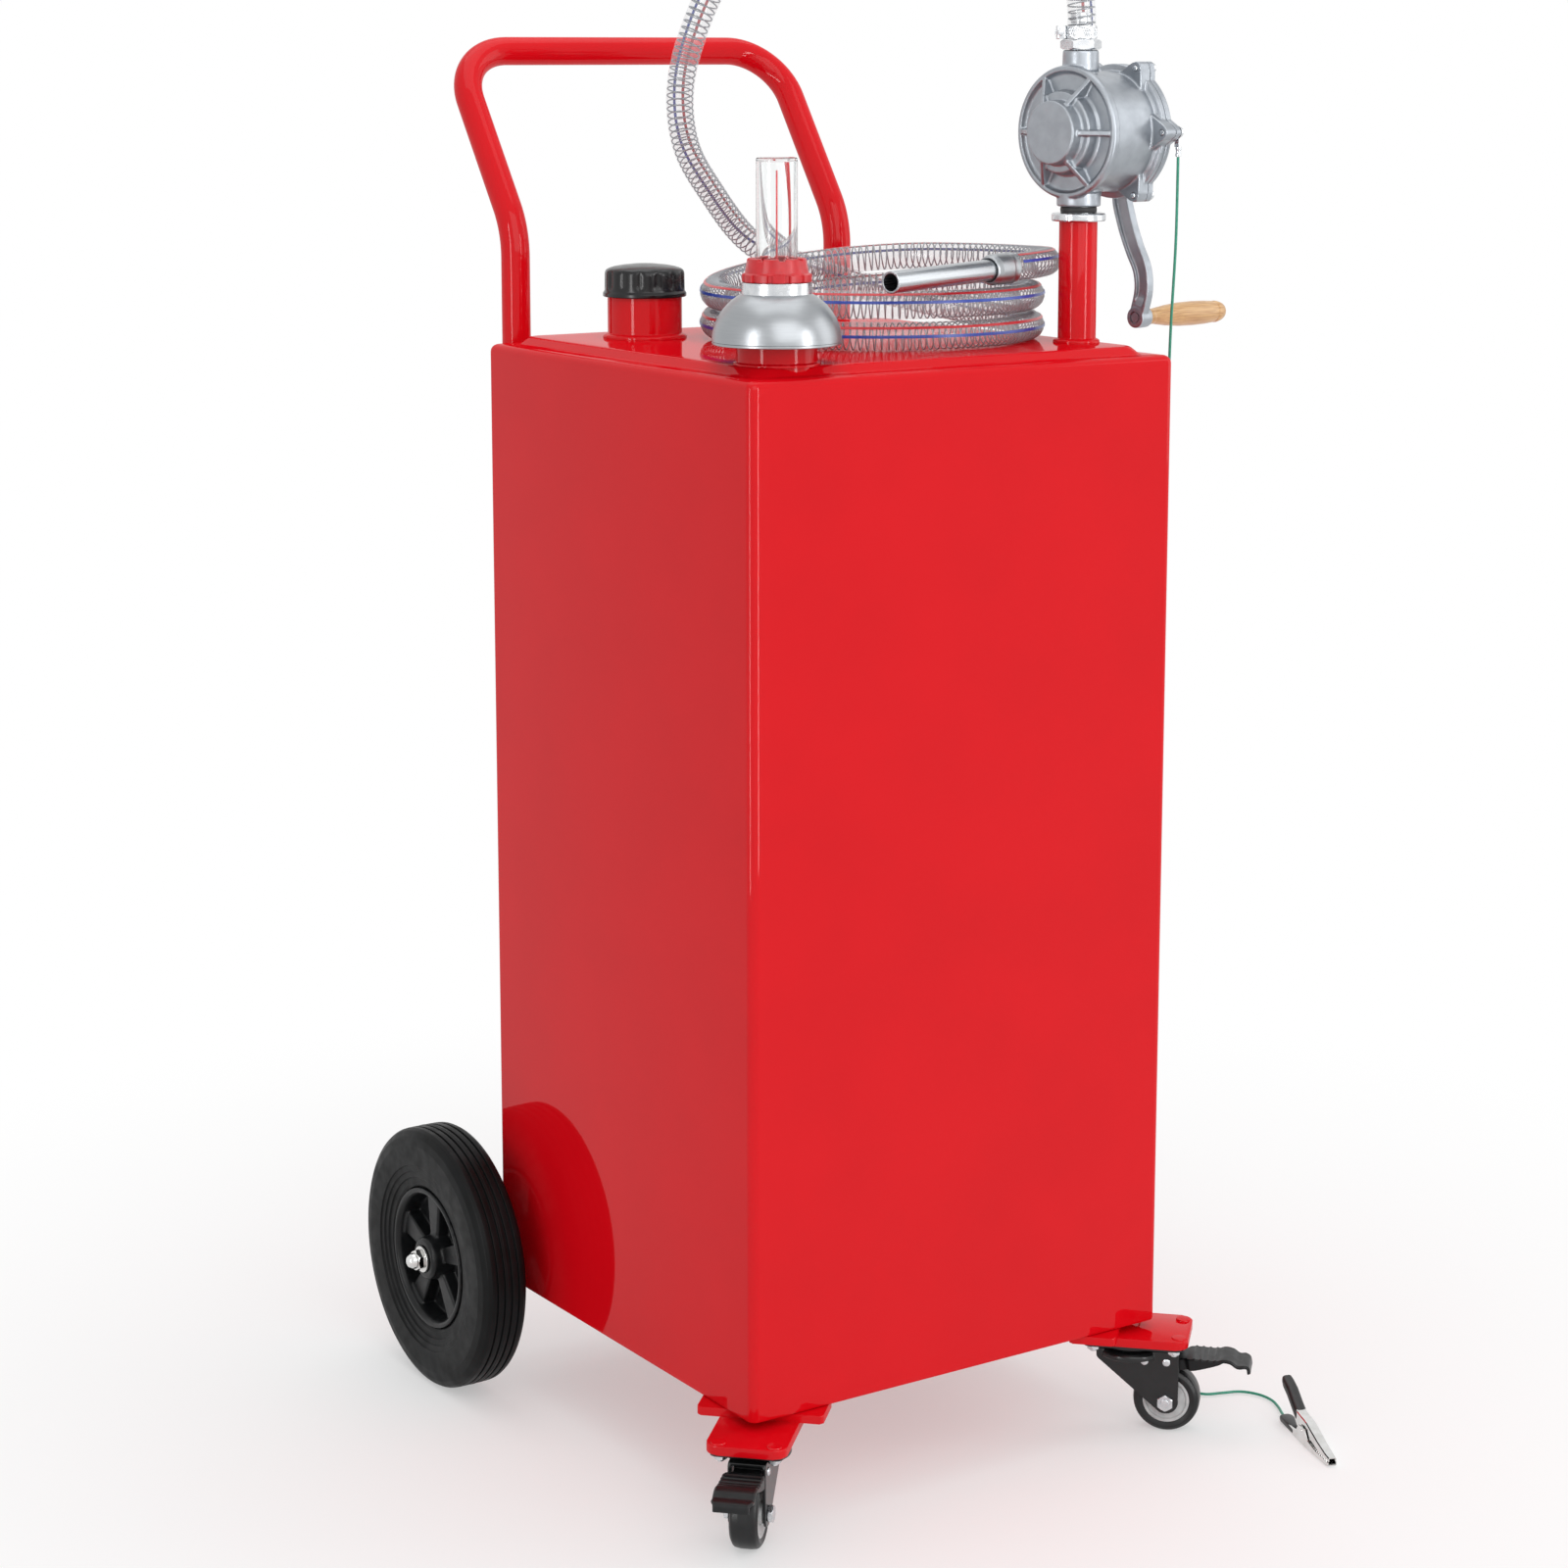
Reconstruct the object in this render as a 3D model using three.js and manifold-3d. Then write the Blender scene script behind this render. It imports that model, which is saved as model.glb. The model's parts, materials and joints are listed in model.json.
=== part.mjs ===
// Fuel caddy: a steel tank on wheels with a hand-cranked pump, a hose and a push handle.
// Millimetres, +Z up, +X to the right and -Y towards someone who faces the front of the tank.
// The pieces are drawn from the centre of the tank's underside, and the whole is set on the floor last.
import * as THREE from 'three';
import { mergeVertices } from 'three/addons/utils/BufferGeometryUtils.js';
import Module from 'manifold-3d';

const wasm = await Module();
wasm.setup();

// Clearances shared by all pieces
const seat = 0.3;
const overrun = 5;
const weldTolerance = 0.0001;
const leastCornerRadius = 0.1;

// Round pieces: sides by size
const largeSides = 24;
const middleSides = 18;
const smallSides = 14;
const tinySides = 8;
const hexSides = 6;

// Tank
const tankWidth = 420;
const tankDepth = 415;
const tankHeight = 840;
const tankWall = 1.5;
const tankCornerRadius = 7.5;
const tankEdgeRadius = 6.5;
const topSkirt = 14;
const shoulderWidth = 17;
const plateauRise = 7;
const plateauEdgeRadius = 3;
const bottomFlange = 14;
const groundClearance = 98;

// Necks welded into the top pan
const neckWall = 3;
const neckDrop = 5;
const weldBead = 3.5;
const fillerFromLeft = 103.5;
const fillerFromRear = 91;
const fillerX = fillerFromLeft - tankWidth / 2;
const fillerY = tankDepth / 2 - fillerFromRear;
const fillerNeckDiameter = 63.5;
const fillerNeckHeight = 52;
const gaugeFromLeft = 58;
const gaugeFromFront = 51;
const gaugeX = gaugeFromLeft - tankWidth / 2;
const gaugeY = gaugeFromFront - tankDepth / 2;
const gaugeNeckDiameter = 64;
const gaugeNeckHeight = 15.5;
const standpipeFromRight = 40;
const standpipeFromFront = 80.5;
const standpipeX = tankWidth / 2 - standpipeFromRight;
const standpipeY = standpipeFromFront - tankDepth / 2;
const standpipeDiameter = 32;
const standpipeHeight = 101;
const standpipeWall = 2.6;

// Filler cap
const capSkirt = 17;
const capLipDiameter = 71.5;
const capLipHeight = 4;
const capDiameter = 69;
const capSideHeight = 26;
const capDomeHeight = 8;
const capWall = 2.2;
const gasketThickness = 2;
const gasketWidth = 4.5;

// Level gauge
const domeDiameter = 102;
const domeHeight = 41;
const domeWall = 2.5;
const domeRim = 2.5;
const domeCrownDiameter = 49;
const domeLedgeWidth = 4;
const domeLedge = 3;
const domeSpigot = 10;
const domeSpigotWall = 3;
const collarAcrossFlats = 48;
const collarHeight = 7;
const ringNutFlangeDiameter = 55;
const ringNutFlange = 5;
const ringNutTopDiameter = 46.5;
const ringNutHeight = 20;
const ringNutNotches = 12;
const ringNutNotchWidth = 5;
const ringNutNotchDepth = 2;
const sightDiameter = 32.5;
const sightWall = 2;
const sightHeight = 96;
const sightFlangeDiameter = 38;
const sightFlange = 3;
const floatRodDiameter = 3;
const floatRodTopGap = 8;
const floatRodHole = 6;
const floatHeadDiameter = 7;
const floatHead = 3;
const floatDiameter = 48;
const floatHeight = 40;
const floatDepth = 85;
const floatChamfer = 6.5;

// Pump, along its own axis: zero is the plane of the front rim
const pumpTurn = 9;
const pumpAxisAbovePlateau = 174.7;
const pumpAxisHeight = tankHeight + plateauRise + pumpAxisAbovePlateau;
const portOffset = 17;
const rimDiameter = 110;
const rimWidth = 6;
const rimThickness = 6;
const rimRecess = 1.5;
const pumpBarrelDiameter = 100;
const pumpBarrelLength = 58;
const pumpFlangeDiameter = 112;
const bodyFlange = 5;
const coverFlange = 6;
const coverHubDiameter = 44;
const coverHubLength = 14;
const bossDiameter = 53;
const bossFace = 20;
const bossFoot = 9;
const bossEdge = 1.5;
const ribCount = 6;
const ribThickness = 5;
const ribStand = 7;
const lugCount = 6;
const lugCircleDiameter = 121;
const lugTipDiameter = 15;
const lugFootWidth = 30;
const lugTipArc = 120;
const chamberDiameter = 76;
const chamberOffset = 5;
const chamberFront = 6;
const rotorGap = 1;
const vaneThickness = 6;
const vaneGap = 0.5;
const shaftDiameter = 12;
const shaftFrontBearing = 12;
const inletSocketDiameter = 37;
const outletSocketDiameter = 30;
const outletAboveAxis = 67.3;
const outletTop = pumpAxisHeight + outletAboveAxis;
const sealDiameter = 30.7;
const sealThickness = 5;
const lockRingDiameter = 45.5;
const lockRingHeight = 6.5;
const suctionDiameter = 25;
const suctionWall = 2;
const suctionEntry = 14;
const suctionFoot = 25;
const coverScrewDiameter = 5;
const coverScrewHeadDiameter = 9;
const coverScrewHead = 3.5;

// Crank
const crankRadius = 158;
const crankThickness = 8;
const crankWidth = 17.5;
const crankHubDiameter = 25;
const crankHubGap = 5;
const crankHubLength = 15.7;
const crankSetback = 1.7;
const coverEnd = pumpBarrelLength + bodyFlange + seat + coverFlange + coverHubLength;
const crankHubInner = coverEnd + crankHubGap;
const crankHubOuter = crankHubInner + crankHubLength;
const crankPlane = crankHubInner + crankSetback;
const crankEndDiameter = 18;
const crankPocketDepth = 2.5;
const crankFlange = 3;
const crankSway = 20;
const gripLength = 98;
const gripDiameter = 21;
const gripPinDiameter = 8;

// Outlet fittings and hose
const nippleAcrossFlats = 30;
const nippleHexHeight = 8.2;
const nippleStemDiameter = 19;
const nippleStem = 14;
const barbDiameter = 18.4;
const barbLength = 22;
const nippleBore = 13;
const hoseDiameter = 24;
const hoseSides = 10;
const hoseStep = 48;
const clampBand = 0.9;
const clampHeight = 11;
const clampBoxLength = 13;
const clampBoxWidth = 9;
const clampScrewDiameter = 6;
const clampScrewLength = 18;
const clampTurn = 56;

// Hose coil on the tank's top: turns run clockwise seen from above
const coilX = 51;
const coilY = 3;
const coilRadius = 135;
const coilEntryRadius = 161;
const coilEntryAngle = 60;
const coilEntryDrop = 23;
const coilLayerRise = 25.4;
const coilTurns = 2.06;
const loopSteps = 24;
const loopSides = 6;
const spiralInShare = 0.22;
const entryDropShare = 0.16;
const climbStartShare = 0.7;
const climbShare = 0.4;

// Nozzle
const nozzleDiameter = 18;
const nozzleBore = 14;
const nozzleLength = 169;
const sleeveDiameter = 26.5;
const sleeveLength = 34;

// Ground lead
const wireDiameter = 2.4;
const wireSides = 8;
const wireSteps = 54;
const wireDrop = 15;
const terminalThickness = 0.8;
const terminalDiameter = 11;
const terminalTail = 12;
const terminalBarrel = 5;
const terminalBarrelLength = 8;
const clipLength = 105;
const clipWidth = 13;
const clipSheet = 1.5;
const clipPivotHeight = 16;
const clipPinDiameter = 3;
const clipPinHeight = 12;
const clipPinGap = 0.3;
const clipWireGrip = 50;
const clipX = 313;
const clipY = -262;
const clipHeading = -109.3;

// Push handle
const handleTube = 25;
const handleWall = 2;
const handleSides = 10;
const handleInset = 81;
const handleSpacing = tankWidth - handleInset;
const handleStandOff = 8.5;
const handleBendAboveTank = 95;
const handleBendHeight = tankHeight + handleBendAboveTank;
const handleLeg = 255;
const handleFoot = handleBendHeight - handleLeg;
const handleRise = 153;
const handleTop = handleBendHeight + handleRise;
const handleLean = 35;
const handleBendRadius = 70;
const handleCornerRadius = 52.5;
const handleCornerSteps = 5;
const handleBendSteps = 3;
const handleLugDiameter = 20;
const handleLugPitch = 110;
const handleLugInset = 25;

// Rear wheels and axle
const wheelDiameter = 235;
const wheelWidth = 45;
const wheelReach = 66.3;
const wheelOuterFace = tankWidth / 2 + wheelReach;
const tyreBoreDiameter = 128;
const treadGrooves = 4;
const treadGrooveWidth = 2;
const treadGrooveDepth = 2;
const tyreShoulder = 5;
const tyreStep = 2;
const tyreStepWidth = 16;
const hubRimWidth = 38;
const hubRimThickness = 7;
const hubWeb = 5;
const hubWebInset = 20;
const hubCoreDiameter = 40;
const hubCoreLength = 44;
const spokeCount = 5;
const spokeRootWidth = 12;
const spokeTipWidth = 24;
const spokeDepth = 24;
const axleBehindTank = 24.5;
const axleHeight = 19.5;
const axleDiameter = 16;
const axleThreadDiameter = 10;
const axleThread = 9;
const acornDiameter = 13.5;
const acornHexAcrossFlats = 17;
const acornHex = 6;
const acornWasher = 2;
const acornWasherDiameter = 24;
const acornDome = 8;
const carrierTubeDiameter = 26;
const carrierProud = 10;
const carrierLength = tankWidth + 2 * carrierProud;
const carrierPlateInset = 30;
const carrierPlateWidth = tankWidth - 2 * carrierPlateInset;
const carrierPlateHeight = 80;
const carrierPlateThickness = 4;
const carrierGussetThickness = 5;
const carrierGussetHeight = 46;
const carrierGussetInset = 30;
const carrierGussetPitch = carrierPlateWidth / 2 - carrierGussetInset;

// Front casters, in a frame of their own: +X points away from the tank along its corner's diagonal
const bracketInner = -70;
const bracketOuter = 30;
const bracketWidth = 66;
const bracketPlate = 8;
const bracketCornerRadius = 10;
const bracketBar = 7;
const bracketBarWidth = 105;
const bracketBarDepth = 40;
const padDiameter = 12;
const padHeight = 2;
const padInset = 8;
const padPitch = 46;
const casterPlate = 2.5;
const casterPlateWidth = 60;
const casterPlateInner = -60;
const casterPlateOuter = 26;
const casterRaceDiameter = 50;
const casterRace = 6;
const casterPinDiameter = 10;
const casterPinHead = 16;
const swivelAxis = -22;
const casterTrail = 32.7;
const casterWheelDiameter = 58;
const casterWheelWidth = 24;
const casterWheelGap = 1.2;
const casterCoreDiameter = 40;
const casterTreadRadius = 5;
const forkDiscDiameter = 56;
const forkSheet = 2.5;
const forkAxleRadius = 11;
const forkRearReach = 44;
const forkSkirt = 16;
const forkAxleArcStart = 215;
const forkAxleArc = 160;
const casterBoltDiameter = 8;
const casterBoltHead = 13;
const casterBoltHeadHeight = 4;
const pedalPivotX = 33;
const pedalPivotDrop = 33;
const pedalPinDiameter = 5;
const pedalTipX = 107;
const pedalSheet = 3;
const pedalWidth = 34;
const pedalInnerWidth = 24;
const pedalWaist = 52;
const pedalTipRise = 14;
const pedalRibs = 4;
const pedalRibWidth = 3;
const pedalRibHeight = 1.6;
const pedalRibPitch = 8;

// Places worked out from the sizes above
const plateauTop = tankHeight + plateauRise;
const rearFace = tankDepth / 2;
const floorZ = -groundClearance;
const radians = Math.PI / 180;

// Paints, metals and plastics
const redEnamel = new THREE.MeshStandardMaterial({ color: 0xd8202a, roughness: 0.18, metalness: 0 });
const brightRed = new THREE.MeshStandardMaterial({ color: 0xe0252b, roughness: 0.35, metalness: 0 });
const blackRubber = new THREE.MeshStandardMaterial({ color: 0x1c1c1d, roughness: 0.8, metalness: 0 });
const blackPlastic = new THREE.MeshStandardMaterial({ color: 0x131415, roughness: 0.4, metalness: 0 });
const blackSteel = new THREE.MeshStandardMaterial({ color: 0x0f1011, roughness: 0.3, metalness: 0.2 });
const castAluminium = new THREE.MeshStandardMaterial({ color: 0x9a9da2, roughness: 0.5, metalness: 0.7 });
const spunAluminium = new THREE.MeshStandardMaterial({ color: 0xc4c6c8, roughness: 0.35, metalness: 0.9 });
const zincSteel = new THREE.MeshStandardMaterial({ color: 0xc9cbcd, roughness: 0.3, metalness: 1 });
const clearPlastic = new THREE.MeshStandardMaterial({ color: 0xe6eaec, roughness: 0.1, metalness: 0 });
const hosePlastic = new THREE.MeshStandardMaterial({ color: 0xd5d8dc, roughness: 0.25, metalness: 0 });
const lightWood = new THREE.MeshStandardMaterial({ color: 0xd9a964, roughness: 0.55, metalness: 0 });
const greenWire = new THREE.MeshStandardMaterial({ color: 0x1f8a62, roughness: 0.4, metalness: 0 });
const greyPlastic = new THREE.MeshStandardMaterial({ color: 0x8d9093, roughness: 0.5, metalness: 0 });

// A closed geometry as a solid, with its shared vertices merged and its faces pointing out
function solid(geometry) {
  const bare = new THREE.BufferGeometry();
  bare.setAttribute('position', geometry.getAttribute('position').clone());
  if (geometry.index) {
    bare.setIndex(geometry.index.clone());
  }
  const merged = mergeVertices(bare, weldTolerance);
  const position = merged.getAttribute('position');
  const corners = [];
  let volume = 0;
  for (let i = 0; i < merged.index.count; i += 3) {
    const triangle = [0, 1, 2].map((k) => merged.index.getX(i + k));
    if (new Set(triangle).size === 3) {
      const [a, b, c] = triangle.map((k) => new THREE.Vector3().fromBufferAttribute(position, k));
      volume += a.dot(b.cross(c));
      corners.push(triangle);
    }
  }
  const outward = corners.map(([a, b, c]) => (volume > 0 ? [a, b, c] : [a, c, b]));
  const vertProperties = new Float32Array(position.array);
  const triVerts = new Uint32Array(outward.flat());
  return new wasm.Manifold(new wasm.Mesh({ numProp: 3, vertProperties, triVerts }));
}

// A solid as a geometry again
function surface(body) {
  const { vertProperties, triVerts } = body.getMesh();
  const geometry = new THREE.BufferGeometry();
  geometry.setAttribute('position', new THREE.BufferAttribute(vertProperties, 3));
  geometry.setIndex(new THREE.BufferAttribute(triVerts, 1));
  geometry.computeVertexNormals();
  return geometry;
}

function join(...parts) {
  return surface(parts.map(solid).reduce((sum, part) => sum.add(part)));
}

function cut(body, ...tools) {
  return surface(tools.map(solid).reduce((rest, tool) => rest.subtract(tool), solid(body)));
}

function common(a, b) {
  return surface(solid(a).intersect(solid(b)));
}

// A closed profile of [radius, height] points turned about Z
function turned(profile, sides) {
  const points = profile.map(([r, z]) => new THREE.Vector2(r, z));
  const onAxis = profile[0][0] === 0 && profile[profile.length - 1][0] === 0;
  if (!onAxis) {
    points.push(points[0].clone());
  }
  return new THREE.LatheGeometry(points, sides).rotateX(Math.PI / 2);
}

function disc(diameter, low, high, sides) {
  const r = diameter / 2;
  return turned([[0, low], [r, low], [r, high], [0, high]], sides);
}

// The diameter whose flat sides lie on a true circle of the given diameter
function around(diameter, sides) {
  return diameter / Math.cos(Math.PI / sides);
}

// A cutter for a round hole, so that a shaft of the given diameter plus its gap always clears the flats
function hole(diameter, low, high, sides) {
  return disc(around(diameter, sides), low, high, sides);
}

function sleeve(outer, inner, low, high, sides) {
  return turned([[inner / 2, low], [outer / 2, low], [outer / 2, high], [inner / 2, high]], sides);
}

function hexagon(acrossFlats, low, high) {
  return disc(around(acrossFlats, hexSides), low, high, hexSides);
}

function block(xLow, xHigh, yLow, yHigh, zLow, zHigh) {
  const geometry = new THREE.BoxGeometry(xHigh - xLow, yHigh - yLow, zHigh - zLow);
  return geometry.translate((xLow + xHigh) / 2, (yLow + yHigh) / 2, (zLow + zHigh) / 2);
}

// A flat outline of [x, y] points raised from one height to another
function raised(outline, low, high) {
  const shape = new THREE.Shape(outline.map(([x, y]) => new THREE.Vector2(x, y)));
  const geometry = new THREE.ExtrudeGeometry(shape, { depth: high - low, bevelEnabled: false });
  return geometry.translate(0, 0, low);
}

// A quarter turn at each corner of a rectangle
function roundedRectangle(width, depth, radius) {
  const steps = 3;
  const outline = [];
  [[1, 1, 0], [-1, 1, 90], [-1, -1, 180], [1, -1, 270]].forEach(([sx, sy, start]) => {
    for (let i = 0; i <= steps; i += 1) {
      const angle = (start + (90 * i) / steps) * radians;
      const x = sx * (width / 2 - radius) + radius * Math.cos(angle);
      const y = sy * (depth / 2 - radius) + radius * Math.sin(angle);
      outline.push([x, y]);
    }
  });
  return outline;
}

// A rectangular block with rounded corners whose top edge is rounded too
function softBlock(width, depth, cornerRadius, edgeRadius, low, high) {
  const inset = 2 * edgeRadius;
  const innerRadius = Math.max(cornerRadius - edgeRadius, leastCornerRadius);
  const outline = roundedRectangle(width - inset, depth - inset, innerRadius);
  const shape = new THREE.Shape(outline.map(([x, y]) => new THREE.Vector2(x, y)));
  const depthBetween = high - low;
  const geometry = new THREE.ExtrudeGeometry(shape, {
    depth: depthBetween,
    bevelThickness: edgeRadius,
    bevelSize: edgeRadius,
    bevelSegments: 2,
  });
  geometry.translate(0, 0, low - edgeRadius);
  const reach = width + depth;
  const keep = block(-reach, reach, -reach, reach, low, high + reach);
  return common(geometry, keep);
}

// A line through given points, where each given point carries one ring of a tube
class Route extends THREE.Curve {
  constructor(points) {
    super();
    this.points = points;
  }

  getPoint(t, target = new THREE.Vector3()) {
    const last = this.points.length - 1;
    const along = Math.min(Math.max(t, 0), 1) * last;
    const i = Math.min(Math.floor(along), last - 1);
    return target.lerpVectors(this.points[i], this.points[i + 1], along - i);
  }

  getPointAt(u, target) {
    return this.getPoint(u, target);
  }

  getTangentAt(u, target = new THREE.Vector3()) {
    const last = this.points.length - 1;
    const i = Math.round(u * last);
    const here = this.points[i];
    const back = i > 0 ? here.clone().sub(this.points[i - 1]).normalize() : new THREE.Vector3();
    const ahead = i < last ? this.points[i + 1].clone().sub(here).normalize() : new THREE.Vector3();
    return target.copy(back).add(ahead).normalize();
  }
}

function ringShape(diameter, sides, bore = 0) {
  const circle = (size) => Array.from({ length: sides }, (unused, i) => {
    const angle = (2 * Math.PI * i) / sides;
    return new THREE.Vector2((size / 2) * Math.cos(angle), (size / 2) * Math.sin(angle));
  });
  const shape = new THREE.Shape(circle(diameter));
  if (bore > 0) {
    shape.holes.push(new THREE.Path(circle(bore)));
  }
  return shape;
}

function tubeAlong(points, diameter, sides, bore) {
  const steps = points.length - 1;
  const extrudePath = new Route(points);
  return new THREE.ExtrudeGeometry(ringShape(diameter, sides, bore), { steps, extrudePath });
}

// A polyline whose inner corners are turned with the given radii
function filleted(corners, radii, steps) {
  const points = [corners[0].clone()];
  for (let i = 1; i < corners.length - 1; i += 1) {
    const back = corners[i - 1].clone().sub(corners[i]).normalize();
    const ahead = corners[i + 1].clone().sub(corners[i]).normalize();
    const half = back.angleTo(ahead) / 2;
    const radius = radii[i - 1];
    const inward = back.clone().add(ahead).normalize();
    const centre = corners[i].clone().addScaledVector(inward, radius / Math.sin(half));
    const from = corners[i].clone().addScaledVector(back, radius / Math.tan(half)).sub(centre);
    const axis = back.clone().cross(ahead).normalize();
    const sweep = 2 * half - Math.PI;
    for (let k = 0; k <= steps[i - 1]; k += 1) {
      const angle = (sweep * k) / steps[i - 1];
      points.push(from.clone().applyAxisAngle(axis, angle).add(centre));
    }
  }
  points.push(corners[corners.length - 1].clone());
  return points;
}

function alongX(geometry) {
  return geometry.rotateY(Math.PI / 2);
}

function alongY(geometry) {
  return geometry.rotateX(-Math.PI / 2);
}

const caddy = new THREE.Group();

function add(parent, name, geometry, material) {
  const mesh = new THREE.Mesh(surface(solid(geometry)), material);
  mesh.name = name;
  parent.add(mesh);
  return mesh;
}

function groupAt(parent, x, y, z) {
  const group = new THREE.Group();
  group.position.set(x, y, z);
  parent.add(group);
  return group;
}

// Tank wrapper: four walls in one bent sheet, open at both ends
function tankBody() {
  const top = tankHeight - topSkirt - seat;
  const inset = 2 * tankWall;
  const outer = raised(roundedRectangle(tankWidth, tankDepth, tankCornerRadius), 0, top);
  const inner = roundedRectangle(tankWidth - inset, tankDepth - inset, tankCornerRadius - tankWall);
  return cut(outer, raised(inner, -overrun, top + overrun));
}

// Top pan: rounded outer edge, a shoulder, and a raised middle with three round openings
function tankTop() {
  const low = tankHeight - topSkirt;
  const inset = 2 * tankWall;
  const raisedWidth = tankWidth - 2 * shoulderWidth;
  const raisedDepth = tankDepth - 2 * shoulderWidth;
  const outer = join(
    softBlock(tankWidth, tankDepth, tankCornerRadius, tankEdgeRadius, low, tankHeight),
    softBlock(raisedWidth, raisedDepth, tankCornerRadius,
      plateauEdgeRadius, tankHeight - tankWall, plateauTop),
  );
  const inner = join(
    softBlock(tankWidth - inset, tankDepth - inset, tankCornerRadius - tankWall,
      tankEdgeRadius - tankWall, low - overrun, tankHeight - tankWall),
    softBlock(raisedWidth - inset, raisedDepth - inset, tankCornerRadius - tankWall,
      plateauEdgeRadius - tankWall, tankHeight - inset, plateauTop - tankWall),
  );
  const openings = [
    [fillerX, fillerY, fillerNeckDiameter],
    [gaugeX, gaugeY, gaugeNeckDiameter],
    [standpipeX, standpipeY, standpipeDiameter],
  ].map(([x, y, size]) => (
    hole(size + 2 * seat, low, plateauTop + overrun, middleSides).translate(x, y, 0)
  ));
  return cut(outer, inner, ...openings);
}

// Bottom pan: a flat plate with an upturned flange inside the wrapper
function tankBottom() {
  const gap = 2 * (tankWall + seat);
  const width = tankWidth - gap;
  const depth = tankDepth - gap;
  const radius = tankCornerRadius - tankWall - seat;
  const inset = 2 * tankWall;
  const outer = raised(roundedRectangle(width, depth, radius), 0, bottomFlange);
  const inner = roundedRectangle(width - inset, depth - inset, radius - tankWall);
  return cut(outer, raised(inner, tankWall, bottomFlange + overrun));
}

// A neck goes through the top pan, with a weld bead round its foot
function neck(diameter, wall, height) {
  const outer = diameter / 2;
  const inner = outer - wall;
  const low = plateauTop - tankWall - neckDrop;
  const bead = plateauTop + seat;
  return turned([
    [inner, low], [outer, low], [outer, bead], [outer + weldBead, bead],
    [outer, bead + weldBead], [outer, plateauTop + height], [inner, plateauTop + height],
  ], middleSides);
}

add(caddy, 'tank_body', tankBody(), redEnamel);
add(caddy, 'tank_top', tankTop(), redEnamel);
add(caddy, 'tank_bottom', tankBottom(), redEnamel);

const filler = groupAt(caddy, fillerX, fillerY, 0);
const gauge = groupAt(caddy, gaugeX, gaugeY, 0);
const riser = groupAt(caddy, standpipeX, standpipeY, 0);
add(filler, 'filler_neck', neck(fillerNeckDiameter, neckWall, fillerNeckHeight), redEnamel);
add(gauge, 'gauge_neck', neck(gaugeNeckDiameter, neckWall, gaugeNeckHeight), redEnamel);
add(riser, 'standpipe', neck(standpipeDiameter, standpipeWall, standpipeHeight), redEnamel);

// Filler cap and its gasket
const fillerRim = plateauTop + fillerNeckHeight;

function capGasket() {
  const outer = fillerNeckDiameter - 2 * seat;
  const low = fillerRim + seat;
  return sleeve(outer, outer - 2 * gasketWidth, low, low + gasketThickness, middleSides);
}

function fillerCap() {
  const low = fillerRim - capSkirt;
  const side = low + capSideHeight;
  const top = side + capDomeHeight;
  const ceiling = fillerRim + gasketThickness + 2 * seat;
  const bore = around(fillerNeckDiameter + 2 * seat, middleSides) / 2;
  const shoulderRadiusShares = [1, 0.975, 0.86, 0.62, 0.3];
  const shoulderRiseShares = [0, 0.4, 0.75, 0.93, 1];
  const domed = shoulderRadiusShares.map((share, i) => (
    [(share * capDiameter) / 2, side + shoulderRiseShares[i] * (top - side)]
  ));
  const outside = [
    [0, low], [capLipDiameter / 2, low], [capLipDiameter / 2, low + capLipHeight],
    [capDiameter / 2, low + capLipHeight + capWall], ...domed, [0, top],
  ];
  return cut(turned(outside, middleSides), disc(2 * bore, low - overrun, ceiling, middleSides));
}

add(filler, 'cap_gasket', capGasket(), blackRubber);
add(filler, 'filler_cap', fillerCap(), blackPlastic);

// Level gauge, from the neck up
const gaugeRim = plateauTop + gaugeNeckHeight;
const domeFoot = gaugeRim;
const domeTop = domeFoot + domeHeight;
const collarFoot = domeTop + seat;
const collarTop = collarFoot + collarHeight;
const nutFoot = collarTop + sightFlange + 2 * seat - ringNutFlange;
const sightFoot = collarTop + seat;
const sightTop = sightFoot + sightHeight;

// Dome shell with a ledge that sits on the neck and a spigot that goes down inside it
function gaugeDome() {
  const arcSteps = 5;
  const rim = domeDiameter / 2;
  const crown = domeCrownDiameter / 2;
  const arc = (inset) => Array.from({ length: arcSteps + 1 }, (unused, i) => {
    const angle = ((90 * i) / arcSteps) * radians;
    const r = crown + (rim - crown) * Math.cos(angle);
    const z = domeFoot + domeRim + (domeHeight - domeRim) * Math.sin(angle);
    const scale = (r - inset) / r;
    return [r * scale, z - (inset > 0 ? inset * Math.sin(angle) : 0)];
  });
  const outside = arc(0);
  const inside = arc(domeWall).reverse();
  const spigotOuter = gaugeNeckDiameter / 2 - neckWall - 2 * seat;
  const spigotInner = spigotOuter - domeSpigotWall;
  const ledge = domeFoot + seat;
  const ceiling = domeTop - domeWall;
  const under = inside.filter(([r]) => r > spigotOuter + domeWall);
  return turned([
    [floatRodHole, domeTop], ...outside.slice().reverse(), [rim, domeFoot],
    [rim - domeWall, domeFoot], ...under.reverse(),
    [spigotOuter + domeWall, ceiling], [spigotOuter, ceiling - domeWall],
    [spigotOuter, ledge + domeLedge], [spigotOuter + domeLedgeWidth, ledge + domeLedge],
    [spigotOuter + domeLedgeWidth, ledge], [spigotOuter, ledge], [spigotOuter, ledge - domeSpigot],
    [spigotInner, ledge - domeSpigot], [spigotInner, ceiling], [floatRodHole, ceiling],
  ], middleSides);
}

function gaugeCollar() {
  const blank = hexagon(collarAcrossFlats, collarFoot, collarTop);
  const guide = floatRodDiameter + 2 * seat;
  return cut(blank, hole(guide, collarFoot - overrun, collarTop + overrun, tinySides));
}

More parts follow.
